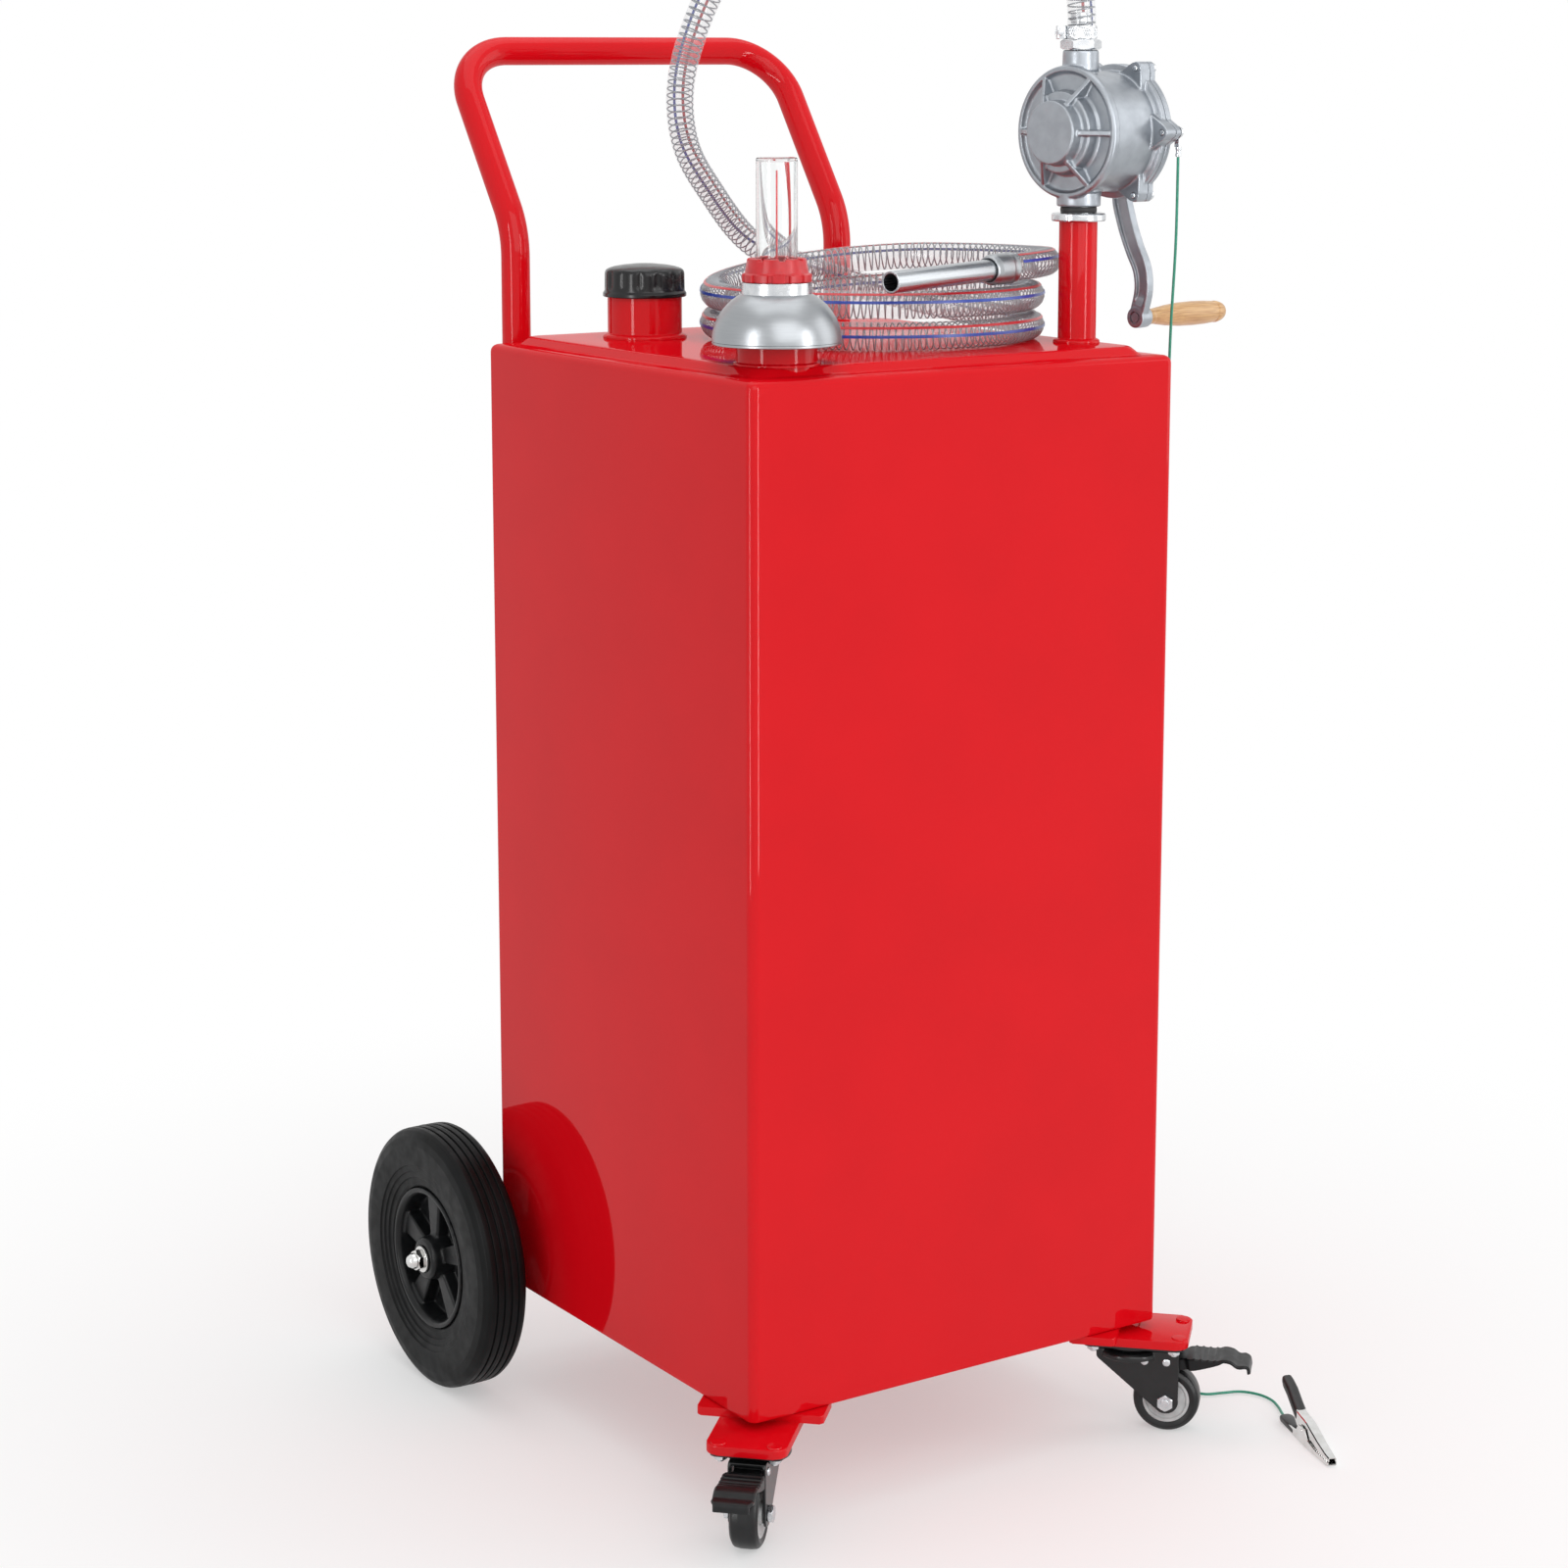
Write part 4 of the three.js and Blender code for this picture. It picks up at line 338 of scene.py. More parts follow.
core_plastic = finish_of("moulded_grey_polypropylene", "grey_plastic", "#C6C8C8", 0.4)
relief(core_plastic, 0.5, 0.015, strength=0.4)
tint(core_plastic, 8.0, "#9C9E9F", 0.5)

black_coat = finish_of(
    "powder_coated_black_steel", "black_steel", "#101112", 0.35, Specular_IOR_Level=0.3, Coat_Weight=0.3,
    Coat_Roughness=0.12)
# Powder coat flows into an orange peel coarser than enamel's.
relief(black_coat, 1.6, 0.02, strength=0.5)
tint(black_coat, 10.0, "#191A1C", 0.6)

clear_acrylic = finish_of(
    "cast_clear_acrylic", "clear_tube", "#FAFBFB", 0.03, Transmission_Weight=1.0, IOR=1.3)
# The tube's colour is painted darker towards its outline: a painted shade of grey that stands in for the dark
# surroundings seen through the wall edge on. The painted shade starts where the wall is half turned away, and
# is darkest just before its edge.
PAINTED_EDGE_SHADE_FROM, PAINTED_EDGE_SHADE_TO = 0.55, 0.97
acrylic_tree = clear_acrylic.node_tree
edge_on = add_node(acrylic_tree, "ShaderNodeLayerWeight", {"Blend": 0.5})
painted_edge_shade = add_node(acrylic_tree, "ShaderNodeValToRGB", links={"Fac": edge_on.outputs["Facing"]})
painted_edge_shade.color_ramp.elements[0].position = PAINTED_EDGE_SHADE_FROM
painted_edge_shade.color_ramp.elements[0].color = linear("#FAFBFB")
painted_edge_shade.color_ramp.elements[1].position = PAINTED_EDGE_SHADE_TO
painted_edge_shade.color_ramp.elements[1].color = linear("#7E8488")
acrylic_shader = acrylic_tree.nodes["Principled BSDF"]
# The painted edge shade goes into the tube's base colour.
acrylic_tree.links.new(painted_edge_shade.outputs["Color"], acrylic_shader.inputs["Base Color"])
print("plastic and rubber:", cap_plastic.name, hub_plastic.name, tyre_rubber.name, clear_acrylic.name)

# %% [markdown]
# ## Hose, wire and wood
# The hose is clear vinyl over a steel helix. Its skin is see-through and glossy, the wire in it shows as
# fine dark rings, and two stripes of coloured vinyl run along it. Glass would bend what lies behind it
# too much, so the vinyl is a thin see-through skin with a gloss coat. The ground wire has a green vinyl
# jacket. The grip on the crank is turned beech under varnish.

# %% Hose, wire and wood finishes
clear_vinyl = finish_of(
    "extruded_clear_vinyl", "clear_hose", "#F4F6F8", 0.12, Alpha=0.2, Coat_Weight=1.0, Coat_Roughness=0.05)
relief(clear_vinyl, 5.0, 0.08, strength=0.5)
tint(clear_vinyl, 40.0, "#E2E6EA", 0.6)

helix_steel = finish_of("drawn_steel_helix", "clear_hose", "#8B9096", 0.4, Metallic=0.7)
tint(helix_steel, 5.0, "#757A81", 0.6)

red_vinyl = finish_of("red_stripe_vinyl", "clear_hose", "#C6202A", 0.3)
tint(red_vinyl, 8.0, "#D23A42", 0.6)
blue_vinyl = finish_of("blue_stripe_vinyl", "clear_hose", "#2440A8", 0.3)
tint(blue_vinyl, 8.0, "#3D5CBC", 0.6)

wire_vinyl = finish_of("extruded_green_vinyl", "green_wire", "#259477", 0.36)
tint(wire_vinyl, 5.0, "#1B8064", 0.6)
relief(wire_vinyl, 1.0, 0.01, strength=0.4)

grip_vinyl = finish_of("dipped_black_vinyl", "black_plastic", "#161617", 0.4)
relief(grip_vinyl, 0.8, 0.02, strength=0.4)
tint(grip_vinyl, 6.0, "#242425", 0.6)

beech = finish_of(
    "varnished_turned_beech", "light_wood", "#D9AD74", 0.42, Coat_Weight=0.45, Coat_Roughness=0.18)
# Grain lines 1.4 mm apart that run the length of the grip, and pores that are finer and darker.
tint(beech, 1.4, "#A8733C", 0.75, stretch=(1, 1, 26), detail=5.0)
relief(beech, 0.6, 0.03, stretch=(1, 1, 20), strength=0.5)
mottle(beech, 2.0, 0.06, stretch=(1, 1, 14))
print("hose, wire and wood:", clear_vinyl.name, wire_vinyl.name, beech.name)

# %% [markdown]
# ## Shapes in mesh code
# Most pieces are one of four shapes: a profile turned on a lathe, an outline raised to a thickness, a
# section swept along a path, or a stack of rings joined to each other. A corner of a profile or outline
# may carry a third number, its fillet radius, because nothing that is made has a perfectly sharp edge.

# %% Profiles and rings
FILLET_STEPS = 5
# A fillet takes less than half of each side, so two fillets on one side never meet.
FILLET_SHARE = 0.49
TINY = 1e-6


def rounded(points, closed, size=2, steps=FILLET_STEPS):
    """A line, flat or in space, with a fillet at each point that carries a radius after its coordinates."""
    line = []
    for i, point in enumerate(points):
        here = Vector(point[:size])
        radius = point[size] if len(point) > size else 0
        if not radius or not (closed or 0 < i < len(points) - 1):
            line.append(here)
            continue
        back = Vector(points[i - 1][:size]) - here
        ahead = Vector(points[(i + 1) % len(points)][:size]) - here
        half = back.angle(ahead) / 2
        reach = min(radius / tan(half), FILLET_SHARE * back.length, FILLET_SHARE * ahead.length)
        turn = pi - 2 * half
        centre = here + (back.normalized() + ahead.normalized()).normalized() * reach / cos(half)
        start = here + back.normalized() * reach - centre
        end = here + ahead.normalized() * reach - centre
        for k in range(steps + 1):
            t = k / steps
            line.append(centre + (start * sin((1 - t) * turn) + end * sin(t * turn)) / sin(turn))
    return line


def joined_rings(rings, loop=False):
    """A closed skin over rings of points. A ring of one point is a tip."""
    skin = bmesh.new()
    rows = [[skin.verts.new(p) for p in ring] for ring in rings]
    pairs = list(zip(rows, rows[1:]))
    if loop:
        pairs.append((rows[-1], rows[0]))
    for a, b in pairs:
        count = max(len(a), len(b))
        for i in range(count if count > 1 else 0):
            k = (i + 1) % count
            if len(a) == 1:
                skin.faces.new((a[0], b[k], b[i]))
            elif len(b) == 1:
                skin.faces.new((a[i], a[k], b[0]))
            else:
                skin.faces.new((a[i], a[k], b[k], b[i]))
    if not loop:
        for end in (rows[0], rows[-1]):
            if len(end) > 2:
                skin.faces.new(end)
    return skin


def turned(profile, sides=96, shape=None):
    """A profile of (radius, height) points turned about Z.

    `shape` may change a radius by its angle and height.
    """
    on_axis = profile[0][0] == 0 and profile[-1][0] == 0
    rings = []
    for r, z in rounded(profile, not on_axis):
        if r < TINY:
            rings.append([(0, 0, z)])
            continue
        ring = []
        for i in range(sides):
            angle = 2 * pi * i / sides
            reach = shape(r, angle, z) if shape else r
            ring.append((reach * cos(angle), reach * sin(angle), z))
        rings.append(ring)
    return joined_rings(rings, loop=not on_axis)


def rod(radius, low, high, sides):
    """A plain cylinder along Z, most often a cutter for a hole."""
    return turned([(0, low), (radius, low), (radius, high), (0, high)], sides)


def raised(outline, low, high, edge=0.0):
    """A flat outline raised from one height to another, with its edges rounded."""
    line = rounded(outline, True)
    skin = joined_rings([[(p.x, p.y, z) for p in line] for z in (low, high)])
    if edge:
        rims = [e for e in skin.edges if abs(e.verts[0].co.z - e.verts[1].co.z) < TINY]
        bmesh.ops.bevel(skin, geom=rims, offset=edge, segments=3, profile=0.5, affect="EDGES")
    return skin


def rectangle(x_low, x_high, y_low, y_high, corner):
    """An outline with four rounded corners."""
    corners = ((x_low, y_low), (x_high, y_low), (x_high, y_high), (x_low, y_high))
    return [(x, y, corner) for x, y in corners]


# %% [markdown]
# A hexagon from a bar of hex steel is turned at its ends, and that cuts its corners back in curves. Here
# each ring takes the smaller of two radii: the hexagon's at that angle, and the chamfer cone's.

# %% Hexagons, moving and merging
HEX_SIDES = 120
CHAMFER_SHARES = [0, 0.12, 0.3, 0.55, 0.8, 1]


def hexagon(across, low, high, chamfer=1.0, bore=0.0):
    """A hexagonal nut or head with turned chamfers at both ends."""
    corner = across / 2 / cos(pi / 6)
    ends = [low + chamfer * s for s in CHAMFER_SHARES]
    heights = ends + [high - chamfer * s for s in reversed(CHAMFER_SHARES)]

    def shape(r, angle, z):
        if r < corner:
            return r
        flat = across / 2 / cos((angle + pi / 6) % (pi / 3) - pi / 6)
        cone = across / 2 + min(z - low, high - z) / chamfer * (corner - across / 2)
        return min(flat, cone)

    inner = bore / 2
    profile = [(inner, low), *[(corner, z) for z in heights], (inner, high)]
    return turned(profile, HEX_SIDES, shape)


def moved(skin, matrix):
    skin.transform(matrix)
    return skin


def shifted(skin, x, y, z):
    return moved(skin, Matrix.Translation((x, y, z)))


def spun(skin, degrees, axis="Z"):
    return moved(skin, Matrix.Rotation(radians(degrees), 4, axis))


def merged(*skins):
    """Several skins in one, as they stand."""
    whole = bmesh.new()
    for skin in skins:
        carrier = bpy.data.meshes.new("carrier")
        skin.to_mesh(carrier)
        skin.free()
        whole.from_mesh(carrier)
        bpy.data.meshes.remove(carrier)
    return whole


def worked(skin, tools=(), voxel=0.0, smooth=0):
    """A skin melted into one by a voxel remesh and smoothed, or one that is cut by tools."""
    objects = []
    for part in (skin, *tools):
        bmesh.ops.recalc_face_normals(part, faces=part.faces)
        data = bpy.data.meshes.new("blank")
        part.to_mesh(data)
        part.free()
        objects.append(bpy.data.objects.new("blank", data))
        bpy.context.scene.collection.objects.link(objects[-1])
    blank = objects[0]
    if voxel:
        remesh = blank.modifiers.new("melt", "REMESH")
        remesh.mode = "VOXEL"
        remesh.voxel_size = voxel
        soften = blank.modifiers.new("soften", "SMOOTH")
        soften.factor = 0.5
        soften.iterations = smooth
    for tool in objects[1:]:
        boolean = blank.modifiers.new("tool", "BOOLEAN")
        boolean.operation = "DIFFERENCE"
        boolean.solver = "EXACT"
        boolean.object = tool
    evaluated = blank.evaluated_get(bpy.context.evaluated_depsgraph_get())
    result = bmesh.new()
    result.from_mesh(evaluated.to_mesh())
    evaluated.to_mesh_clear()
    for item in objects:
        data = item.data
        bpy.data.objects.remove(item)
        bpy.data.meshes.remove(data)
    return result


# %% [markdown]
# The last helpers make a named piece of a skin. They scale it to metres, smooth it up to a given angle,
# put it in its place, let it ride on the body that carries it, and say which plain solid it stands for.
# Twins, such as the two wheels, share one mesh. It takes less memory than two, and twins can't come to
# differ.

# %% Making a piece
SMOOTH_ANGLE = 32


def mesh_of(name, skin, material, smooth=SMOOTH_ANGLE):
    """A mesh in metres from a skin in millimetres."""
    bmesh.ops.scale(skin, vec=(MM, MM, MM), verts=skin.verts)
    bmesh.ops.recalc_face_normals(skin, faces=skin.faces)
    data = bpy.data.meshes.new(name)
    skin.to_mesh(data)
    skin.free()
    data.materials.append(material)
    data.shade_smooth()
    data.set_sharp_from_angle(angle=radians(smooth))
    return data


def piece(name, shape, place, body="root", stands_for=()):
    """A piece of the caddy, from a mesh that may be shared with its twin."""
    item = bpy.data.objects.new(name, shape)
    bpy.context.scene.collection.objects.link(item)
    in_metres = place.copy()
    in_metres.translation = place.translation * MM
    item.matrix_world = in_metres
    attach(item, body)
    if stands_for:
        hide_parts(*stands_for)
    return item


def single(name, skin, material, place, body="root", stands_for=(), smooth=SMOOTH_ANGLE):
    """A piece that has no twin, with a mesh of its own."""
    return piece(name, mesh_of(name, skin, material, smooth), place, body, stands_for)


# %% [markdown]
# ## Curves for the cords
# A cord's centreline goes through a few listed points. A curve object with automatic handles could
# do it, but it bulges where the points are unevenly spaced. This curve also passes through every point, and
# because its pace follows the square root of each distance, it never loops between two that are close.

# %% Smooth paths
def curve_through(points, step):
    """Points about `step` apart on a smooth curve through the given ones."""
    ends = [points[0] * 2 - points[1], *points, points[-1] * 2 - points[-2]]
    line = []
    for p0, p1, p2, p3 in zip(ends, ends[1:], ends[2:], ends[3:]):
        t1 = (p1 - p0).length ** 0.5
        t2 = t1 + (p2 - p1).length ** 0.5
        t3 = t2 + (p3 - p2).length ** 0.5
        count = max(ceil((p2 - p1).length / step), 1)
        for i in range(count):
            t = t1 + (t2 - t1) * i / count
            a1 = p0 * (t1 - t) / t1 + p1 * t / t1
            a2 = p1 * (t2 - t) / (t2 - t1) + p2 * (t - t1) / (t2 - t1)
            a3 = p2 * (t3 - t) / (t3 - t2) + p3 * (t - t2) / (t3 - t2)
            b1 = a1 * (t2 - t) / t2 + a2 * t / t2
            b2 = a2 * (t3 - t) / (t3 - t1) + a3 * (t - t1) / (t3 - t1)
            line.append(b1 * (t2 - t) / (t2 - t1) + b2 * (t - t1) / (t2 - t1))
    return [*line, points[-1]]


def length_of(line):
    return sum((b - a).length for a, b in zip(line, line[1:]))


def frames_along(line, side, start=0):
    """At each point two directions across the path, carried along from `start` without twisting."""
    headings = [(b - a).normalized() for a, b in zip(line, line[1:])]
    headings.append(headings[-1])
    tangents = [headings[0]]
    tangents += [(a + b).normalized() for a, b in zip(headings, headings[1:])]
    across = [None] * len(line)
    across[start] = (side - tangents[start] * side.dot(tangents[start])).normalized()
    for order in (range(start + 1, len(line)), range(start - 1, -1, -1)):
        for i in order:
            near = across[i - 1] if order.step > 0 else across[i + 1]
            across[i] = (near - tangents[i] * near.dot(tangents[i])).normalized()
    return [(point, a, t.cross(a), t) for point, a, t in zip(line, across, tangents)]


def ring_at(spot, section):
    """A section of (across, up) points set square to the path at one spot."""
    point, across, up, _ = spot
    return [point + across * x + up * y for x, y in section]


def circle(radius, sides):
    angles = [2 * pi * i / sides for i in range(sides)]
    return [(radius * cos(a), radius * sin(a)) for a in angles]


def swept(frames, radius, sides):
    """A round bar along a path."""
    return joined_rings([ring_at(spot, circle(radius, sides)) for spot in frames])


# %% [markdown]
# ## The hose
# The hose leaves the pump's outlet upwards, swings over the tank in a high arch, comes down behind the
# coil and winds two turns on the tank's top, each turn one layer higher. Its nozzle rests on the second
# layer. It is 2.86 m long, all of it shows from one side or another, and no bend is tighter than about
# four of its diameters. A cloth or rope simulation could lay it down, but a stiff hose keeps the curve
# that it was coiled to, so its coil is worked out and its arch goes through points.

# %% Hose route
HOSE_DIAMETER = 24
TANK_TOP = 847
HOSE_FOOT = 1097.8
COIL_X, COIL_Y = 51, 3
COIL_RADIUS, COIL_ENTRY_RADIUS = 135, 161
COIL_ENTRY_ANGLE, COIL_ENTRY_DROP = 60, 23
COIL_LAYER_RISE, COIL_TURNS, COIL_STEPS = 25.4, 2.06, 24
# Shares of a turn: the way in, the fall to the first layer, and where and how long each layer climbs.
ENTRY_SHARE, FALL_SHARE, CLIMB_FROM, CLIMB_SHARE = 0.22, 0.16, 0.7, 0.4
CORD_STEP = 3.0
# Pieces that lie face to face keep this gap.
SEAT = 0.3


def smooth_step(x):
    """0 below 0, 1 above 1, and a soft S between."""
    t = min(max(x, 0), 1)
    return t * t * (3 - 2 * t)


def coil_point(turns):
    """A point of the coil after some turns, clockwise seen from above."""
    angle = radians(COIL_ENTRY_ANGLE - 360 * turns)
    spiral_in = smooth_step(turns / ENTRY_SHARE)
    radius = COIL_ENTRY_RADIUS + (COIL_RADIUS - COIL_ENTRY_RADIUS) * spiral_in
    climbs = sum(smooth_step((turns - n - CLIMB_FROM) / CLIMB_SHARE) for n in (0, 1))
    height = TANK_TOP + SEAT + HOSE_DIAMETER / 2
    height += COIL_ENTRY_DROP * max(1 - turns / FALL_SHARE, 0) ** 2 + COIL_LAYER_RISE * climbs
    return Vector((COIL_X + radius * cos(angle), COIL_Y + radius * sin(angle), height))


coil_count = round(COIL_TURNS * COIL_STEPS)
loops = [coil_point(COIL_TURNS * i / coil_count) for i in range(coil_count + 1)]
riser_axis = TANK.inverted() @ RISER.translation
arch = [(riser_axis.x, riser_axis.y, z) for z in (HOSE_FOOT, HOSE_FOOT + HOSE_DIAMETER)]
arch += [
    (166, -121, 1160), (148, -104, 1200), (112, -73, 1232), (64, -34, 1247), (16, 6, 1238), (-24, 42, 1208),
    (-51, 73, 1160), (-67, 95, 1110), (-71, 114, 1058), (-56, 130, 1009), (-20, 146, 967),
]
# The last two points run the coil's own spiral backwards, so the hose enters it without a kink.
arch = [*[Vector(p) for p in arch], coil_point(-0.1), coil_point(-0.05)]
tail = [
    (181, 46, 910.2), (192.5, 13, 910.4), (195, -20, 910.8), (191.7, -45.4, 911.4), (181.9, -69, 912),
    (166.3, -89.3, 912.3), (147.5, -104.2, 912.3), (127.8, -113, 911.8), (104.6, -120.7, 911.3),
]
tail = [Vector(p) for p in tail]
nozzle_heading = (tail[-1] - tail[-2]).normalized()
hose_line = curve_through([TANK @ p for p in (*arch, *loops, *tail)], CORD_STEP)
# The stripes' angles are counted from straight outwards, a quarter of a turn into the coil.
quarter_turn = TANK @ loops[COIL_STEPS // 4]
coil_start = min(range(len(hose_line)), key=lambda i: (hose_line[i] - quarter_turn).length)
outward = hose_line[coil_start] - TANK @ Vector((COIL_X, COIL_Y, 0))
hose_frames = frames_along(hose_line, Vector((outward.x, outward.y, 0)), coil_start)

# %% [markdown]
# The wall is one skin, clear enough that both sides of the steel helix show and cross each other. The
# helix lies in the wall, one turn each 5.8 mm. A pattern on the skin could draw the rings, but not their
# far side through the near one, so they are real wire. The stripes are thin ribbons let into the skin.

# %% Hose wall, helix and stripes
HELIX_PITCH, HELIX_WIRE, HELIX_COVER = 5.8, 1.25, 0.4
STRIPE_WIDTH, STRIPE_PROUD = 2.4, 0.12
STRIPE_SHARES = (-1, -0.5, 0, 0.5, 1)
RED_STRIPE_ANGLE, BLUE_STRIPE_ANGLE = 38, 2
# A thin wire turns fast, so it is smoothed over wider angles than a turned or bent piece.
WIRE_SMOOTH = 80


def helix_along(frames, radius, pitch, steps):
    """Points of a helix wound round a path."""
    marks = [0.0]
    for a, b in zip(frames, frames[1:]):
        marks.append(marks[-1] + (b[0] - a[0]).length)
    line = []
    count = int(marks[-1] / pitch * steps)
    k = 0
    for i in range(count + 1):
        along = marks[-1] * i / count
        while k < len(marks) - 2 and marks[k + 1] < along:
            k += 1
        share = (along - marks[k]) / (marks[k + 1] - marks[k])
        point = frames[k][0].lerp(frames[k + 1][0], share)
        across = frames[k][1].lerp(frames[k + 1][1], share)
        up = frames[k][2].lerp(frames[k + 1][2], share)
        angle = 2 * pi * along / pitch
        line.append(point + (across * cos(angle) + up * sin(angle)) * radius)
    return line


def stripe(frames, degrees, radius):
    """A ribbon that follows the skin at one angle."""
    half = STRIPE_WIDTH / 2 / radius
    middle = radians(degrees)
    over = [(radius + STRIPE_PROUD, middle + half * s) for s in STRIPE_SHARES]
    under = [(radius - STRIPE_PROUD, middle + half * s) for s in reversed(STRIPE_SHARES)]
    section = [(r * cos(a), r * sin(a)) for r, a in over + under]
    return joined_rings([ring_at(spot, section) for spot in frames])


hose_radius = HOSE_DIAMETER / 2
WORLD = Matrix.Identity(4)
hose_wall = single(
    "hose", swept(hose_frames, hose_radius, 32), clear_vinyl, WORLD,
    stands_for=("hose_run", "hose_coil"))
helix_line = helix_along(hose_frames[1:-1], hose_radius - HELIX_COVER - HELIX_WIRE / 2, HELIX_PITCH, 16)
helix_frames = frames_along(helix_line, RISE)
helix_skin = swept(helix_frames, HELIX_WIRE / 2, 5)
helix = single("hose_helix", helix_skin, helix_steel, WORLD, smooth=WIRE_SMOOTH)
for stripe_name, stripe_angle, stripe_vinyl in (
        ("hose_stripe_red", RED_STRIPE_ANGLE, red_vinyl),
        ("hose_stripe_blue", BLUE_STRIPE_ANGLE, blue_vinyl)):
    ribbon = stripe(hose_frames[1:-1], stripe_angle, hose_radius)
    piece(stripe_name, mesh_of(stripe_name, ribbon, stripe_vinyl), WORLD)

# %% [markdown]
# ## The nozzle
# A turned aluminium sleeve is crimped on the hose's end, and a brushed tube runs through it. The sleeve's
# mouth is rolled over, and the tube's end is cut square with its bore showing. Both are round, so a
# profile turned on a lathe gives them, as it gave the real ones.

# %% Nozzle
NOZZLE_DIAMETER, NOZZLE_BORE, NOZZLE_LENGTH = 18, 14, 169
SLEEVE_DIAMETER, SLEEVE_LENGTH = 26.5, 34
nozzle_across = RISE.cross(nozzle_heading).normalized()
NOZZLE = TANK @ axes(tail[-1], nozzle_across, nozzle_heading.cross(nozzle_across), nozzle_heading)
sleeve_radius = SLEEVE_DIAMETER / 2
tube_radius = NOZZLE_DIAMETER / 2
sleeve_profile = [
    (tube_radius + SEAT, SEAT), (sleeve_radius - 1.6, SEAT, 1.4), (sleeve_radius, 3.2, 1.2),
    (sleeve_radius - 1.2, 6.0, 1), (sleeve_radius - 1.2, 9.5, 1), (sleeve_radius - 0.2, 12, 1.5),
    (sleeve_radius - 0.4, SLEEVE_LENGTH - 6, 2), (sleeve_radius - 1.8, SLEEVE_LENGTH - 1.6, 2),
    (tube_radius + 1.6, SLEEVE_LENGTH, 1), (tube_radius + SEAT, SLEEVE_LENGTH - 1, 0.3),
]
nozzle_sleeve = single(
    "nozzle_ferrule", turned(sleeve_profile, 72), spun_aluminium, NOZZLE, stands_for=("nozzle_sleeve",))
tube_profile = [
    (NOZZLE_BORE / 2, SEAT, 0.3), (tube_radius, SEAT, 0.3), (tube_radius, NOZZLE_LENGTH, 0.8),
    (NOZZLE_BORE / 2, NOZZLE_LENGTH, 0.5),
]
nozzle_pipe = single(
    "nozzle_pipe", turned(tube_profile, 64), brushed_aluminium, NOZZLE, stands_for=("nozzle_tube",))
print("nozzle:", round(NOZZLE_LENGTH), "mm long")

# %% [markdown]
# ## The ground lead
# Fuel that runs through a hose charges it, so a green wire bonds the pump to the vehicle that is filled.
# It hangs from a screw on the pump's back cover, follows the tank's side and lies in loose curves on the
# floor, where its clip waits. It is limp, so it falls nearly straight and bends easily, and a row of
# points is all that its curve needs.

# %% Ground wire
WIRE_DIAMETER = 2.4
COVER_BACK = 69.6
TERMINAL_X, TERMINAL_DROP, TERMINAL_BARREL, BARREL_LIFT = -60.5, 12, 8, 2.5
CLIP_X, CLIP_Y, CLIP_HEADING = 313, -262, -109.3
CLIP_WIRE_GRIP = 50
FLOOR, JAW_LIFT = -98, 1.6
terminal_end = Vector((TERMINAL_X, -TERMINAL_DROP - TERMINAL_BARREL - SEAT, COVER_BACK + BARREL_LIFT))
wire_start = TANK.inverted() @ PUMP @ terminal_end
wire_floor = FLOOR + WIRE_DIAMETER
clip_entry = Vector((CLIP_X, CLIP_Y, FLOOR + 2 * SEAT + JAW_LIFT + WIRE_DIAMETER / 2))
clip_way = Vector((cos(radians(CLIP_HEADING)), sin(radians(CLIP_HEADING)), 0))
wire_route = [
    wire_start, wire_start - RISE * 15,
    (235, -176, 930), (238, -168, 855), (243, -160, 780), (249, -150, 660), (255, -142, 520),
    (260, -134, 380), (265, -126, 240), (269, -118, 110), (272, -113, 0), (274, -113, -60),
    (276, -120, -88), (277, -132, wire_floor), (280, -150, wire_floor), (283, -170, wire_floor),
    (290, -183, wire_floor), (304, -189, wire_floor), (320, -196, wire_floor), (329, -210, wire_floor),
    (330, -226, wire_floor), (325, -240, wire_floor), clip_entry,
    clip_entry + clip_way * CLIP_WIRE_GRIP,
]
wire_line = curve_through([TANK @ Vector(p) for p in wire_route], CORD_STEP)
wire_skin = swept(frames_along(wire_line, Vector((1, 0, 0))), WIRE_DIAMETER / 2, 12)
ground_wire = single("ground_lead_wire", wire_skin, wire_vinyl, WORLD, stands_for=("ground_wire",))

# %% [markdown]
# The terminal is stamped from zinc-plated strip: a ring under the screw, a short neck, and a barrel that
# is crimped round the wire with one long dent. It is a few millimetres long, so three plain shapes that
# overlap are enough.

# %% Ring terminal
ring_profile = [(3.2, 0, 0.1), (5.5, 0, 0.2), (5.5, 0.8, 0.2), (3.2, 0.8, 0.1)]
neck_outline = [(-5, -2.2, 0.5), (-TERMINAL_DROP, -2.4), (-TERMINAL_DROP, 2.4), (-5, 2.2, 0.5)]
neck_plate = raised(neck_outline, 0, 0.8, 0.15)
crimp_profile = [
    (1.2, 0, 0.2), (2.5, 0, 0.3), (2.5, 2, 0.6), (2.0, 3, 0.8), (2.0, 5, 0.8), (2.5, 6, 0.6), (2.5, 8, 0.3),
    (1.2, 8, 0.2),
]
crimp = spun(turned(crimp_profile, 32), -90, "Y")
crimp = shifted(crimp, -TERMINAL_DROP, 0, BARREL_LIFT)
terminal_skin = merged(turned(ring_profile, 48), neck_plate, crimp)
TERMINAL = PUMP @ Matrix.Translation((TERMINAL_X, 0, COVER_BACK + SEAT)) @ Matrix.Rotation(pi / 2, 4, "Z")
ring_terminal = single(
    "ring_terminal", terminal_skin, zinc_plate, TERMINAL, stands_for=("ground_terminal",))

# %% [markdown]
# ## The alligator clip
# Two troughs of nickel-plated sheet meet at a pin, and a small torsion spring sits round it. Black vinyl
# sleeves are dipped over the handles. The lower half lies on the floor, and the upper one opens. A folded
# sheet keeps one thickness all along, so each trough is a stack of like sections, not a carved block.

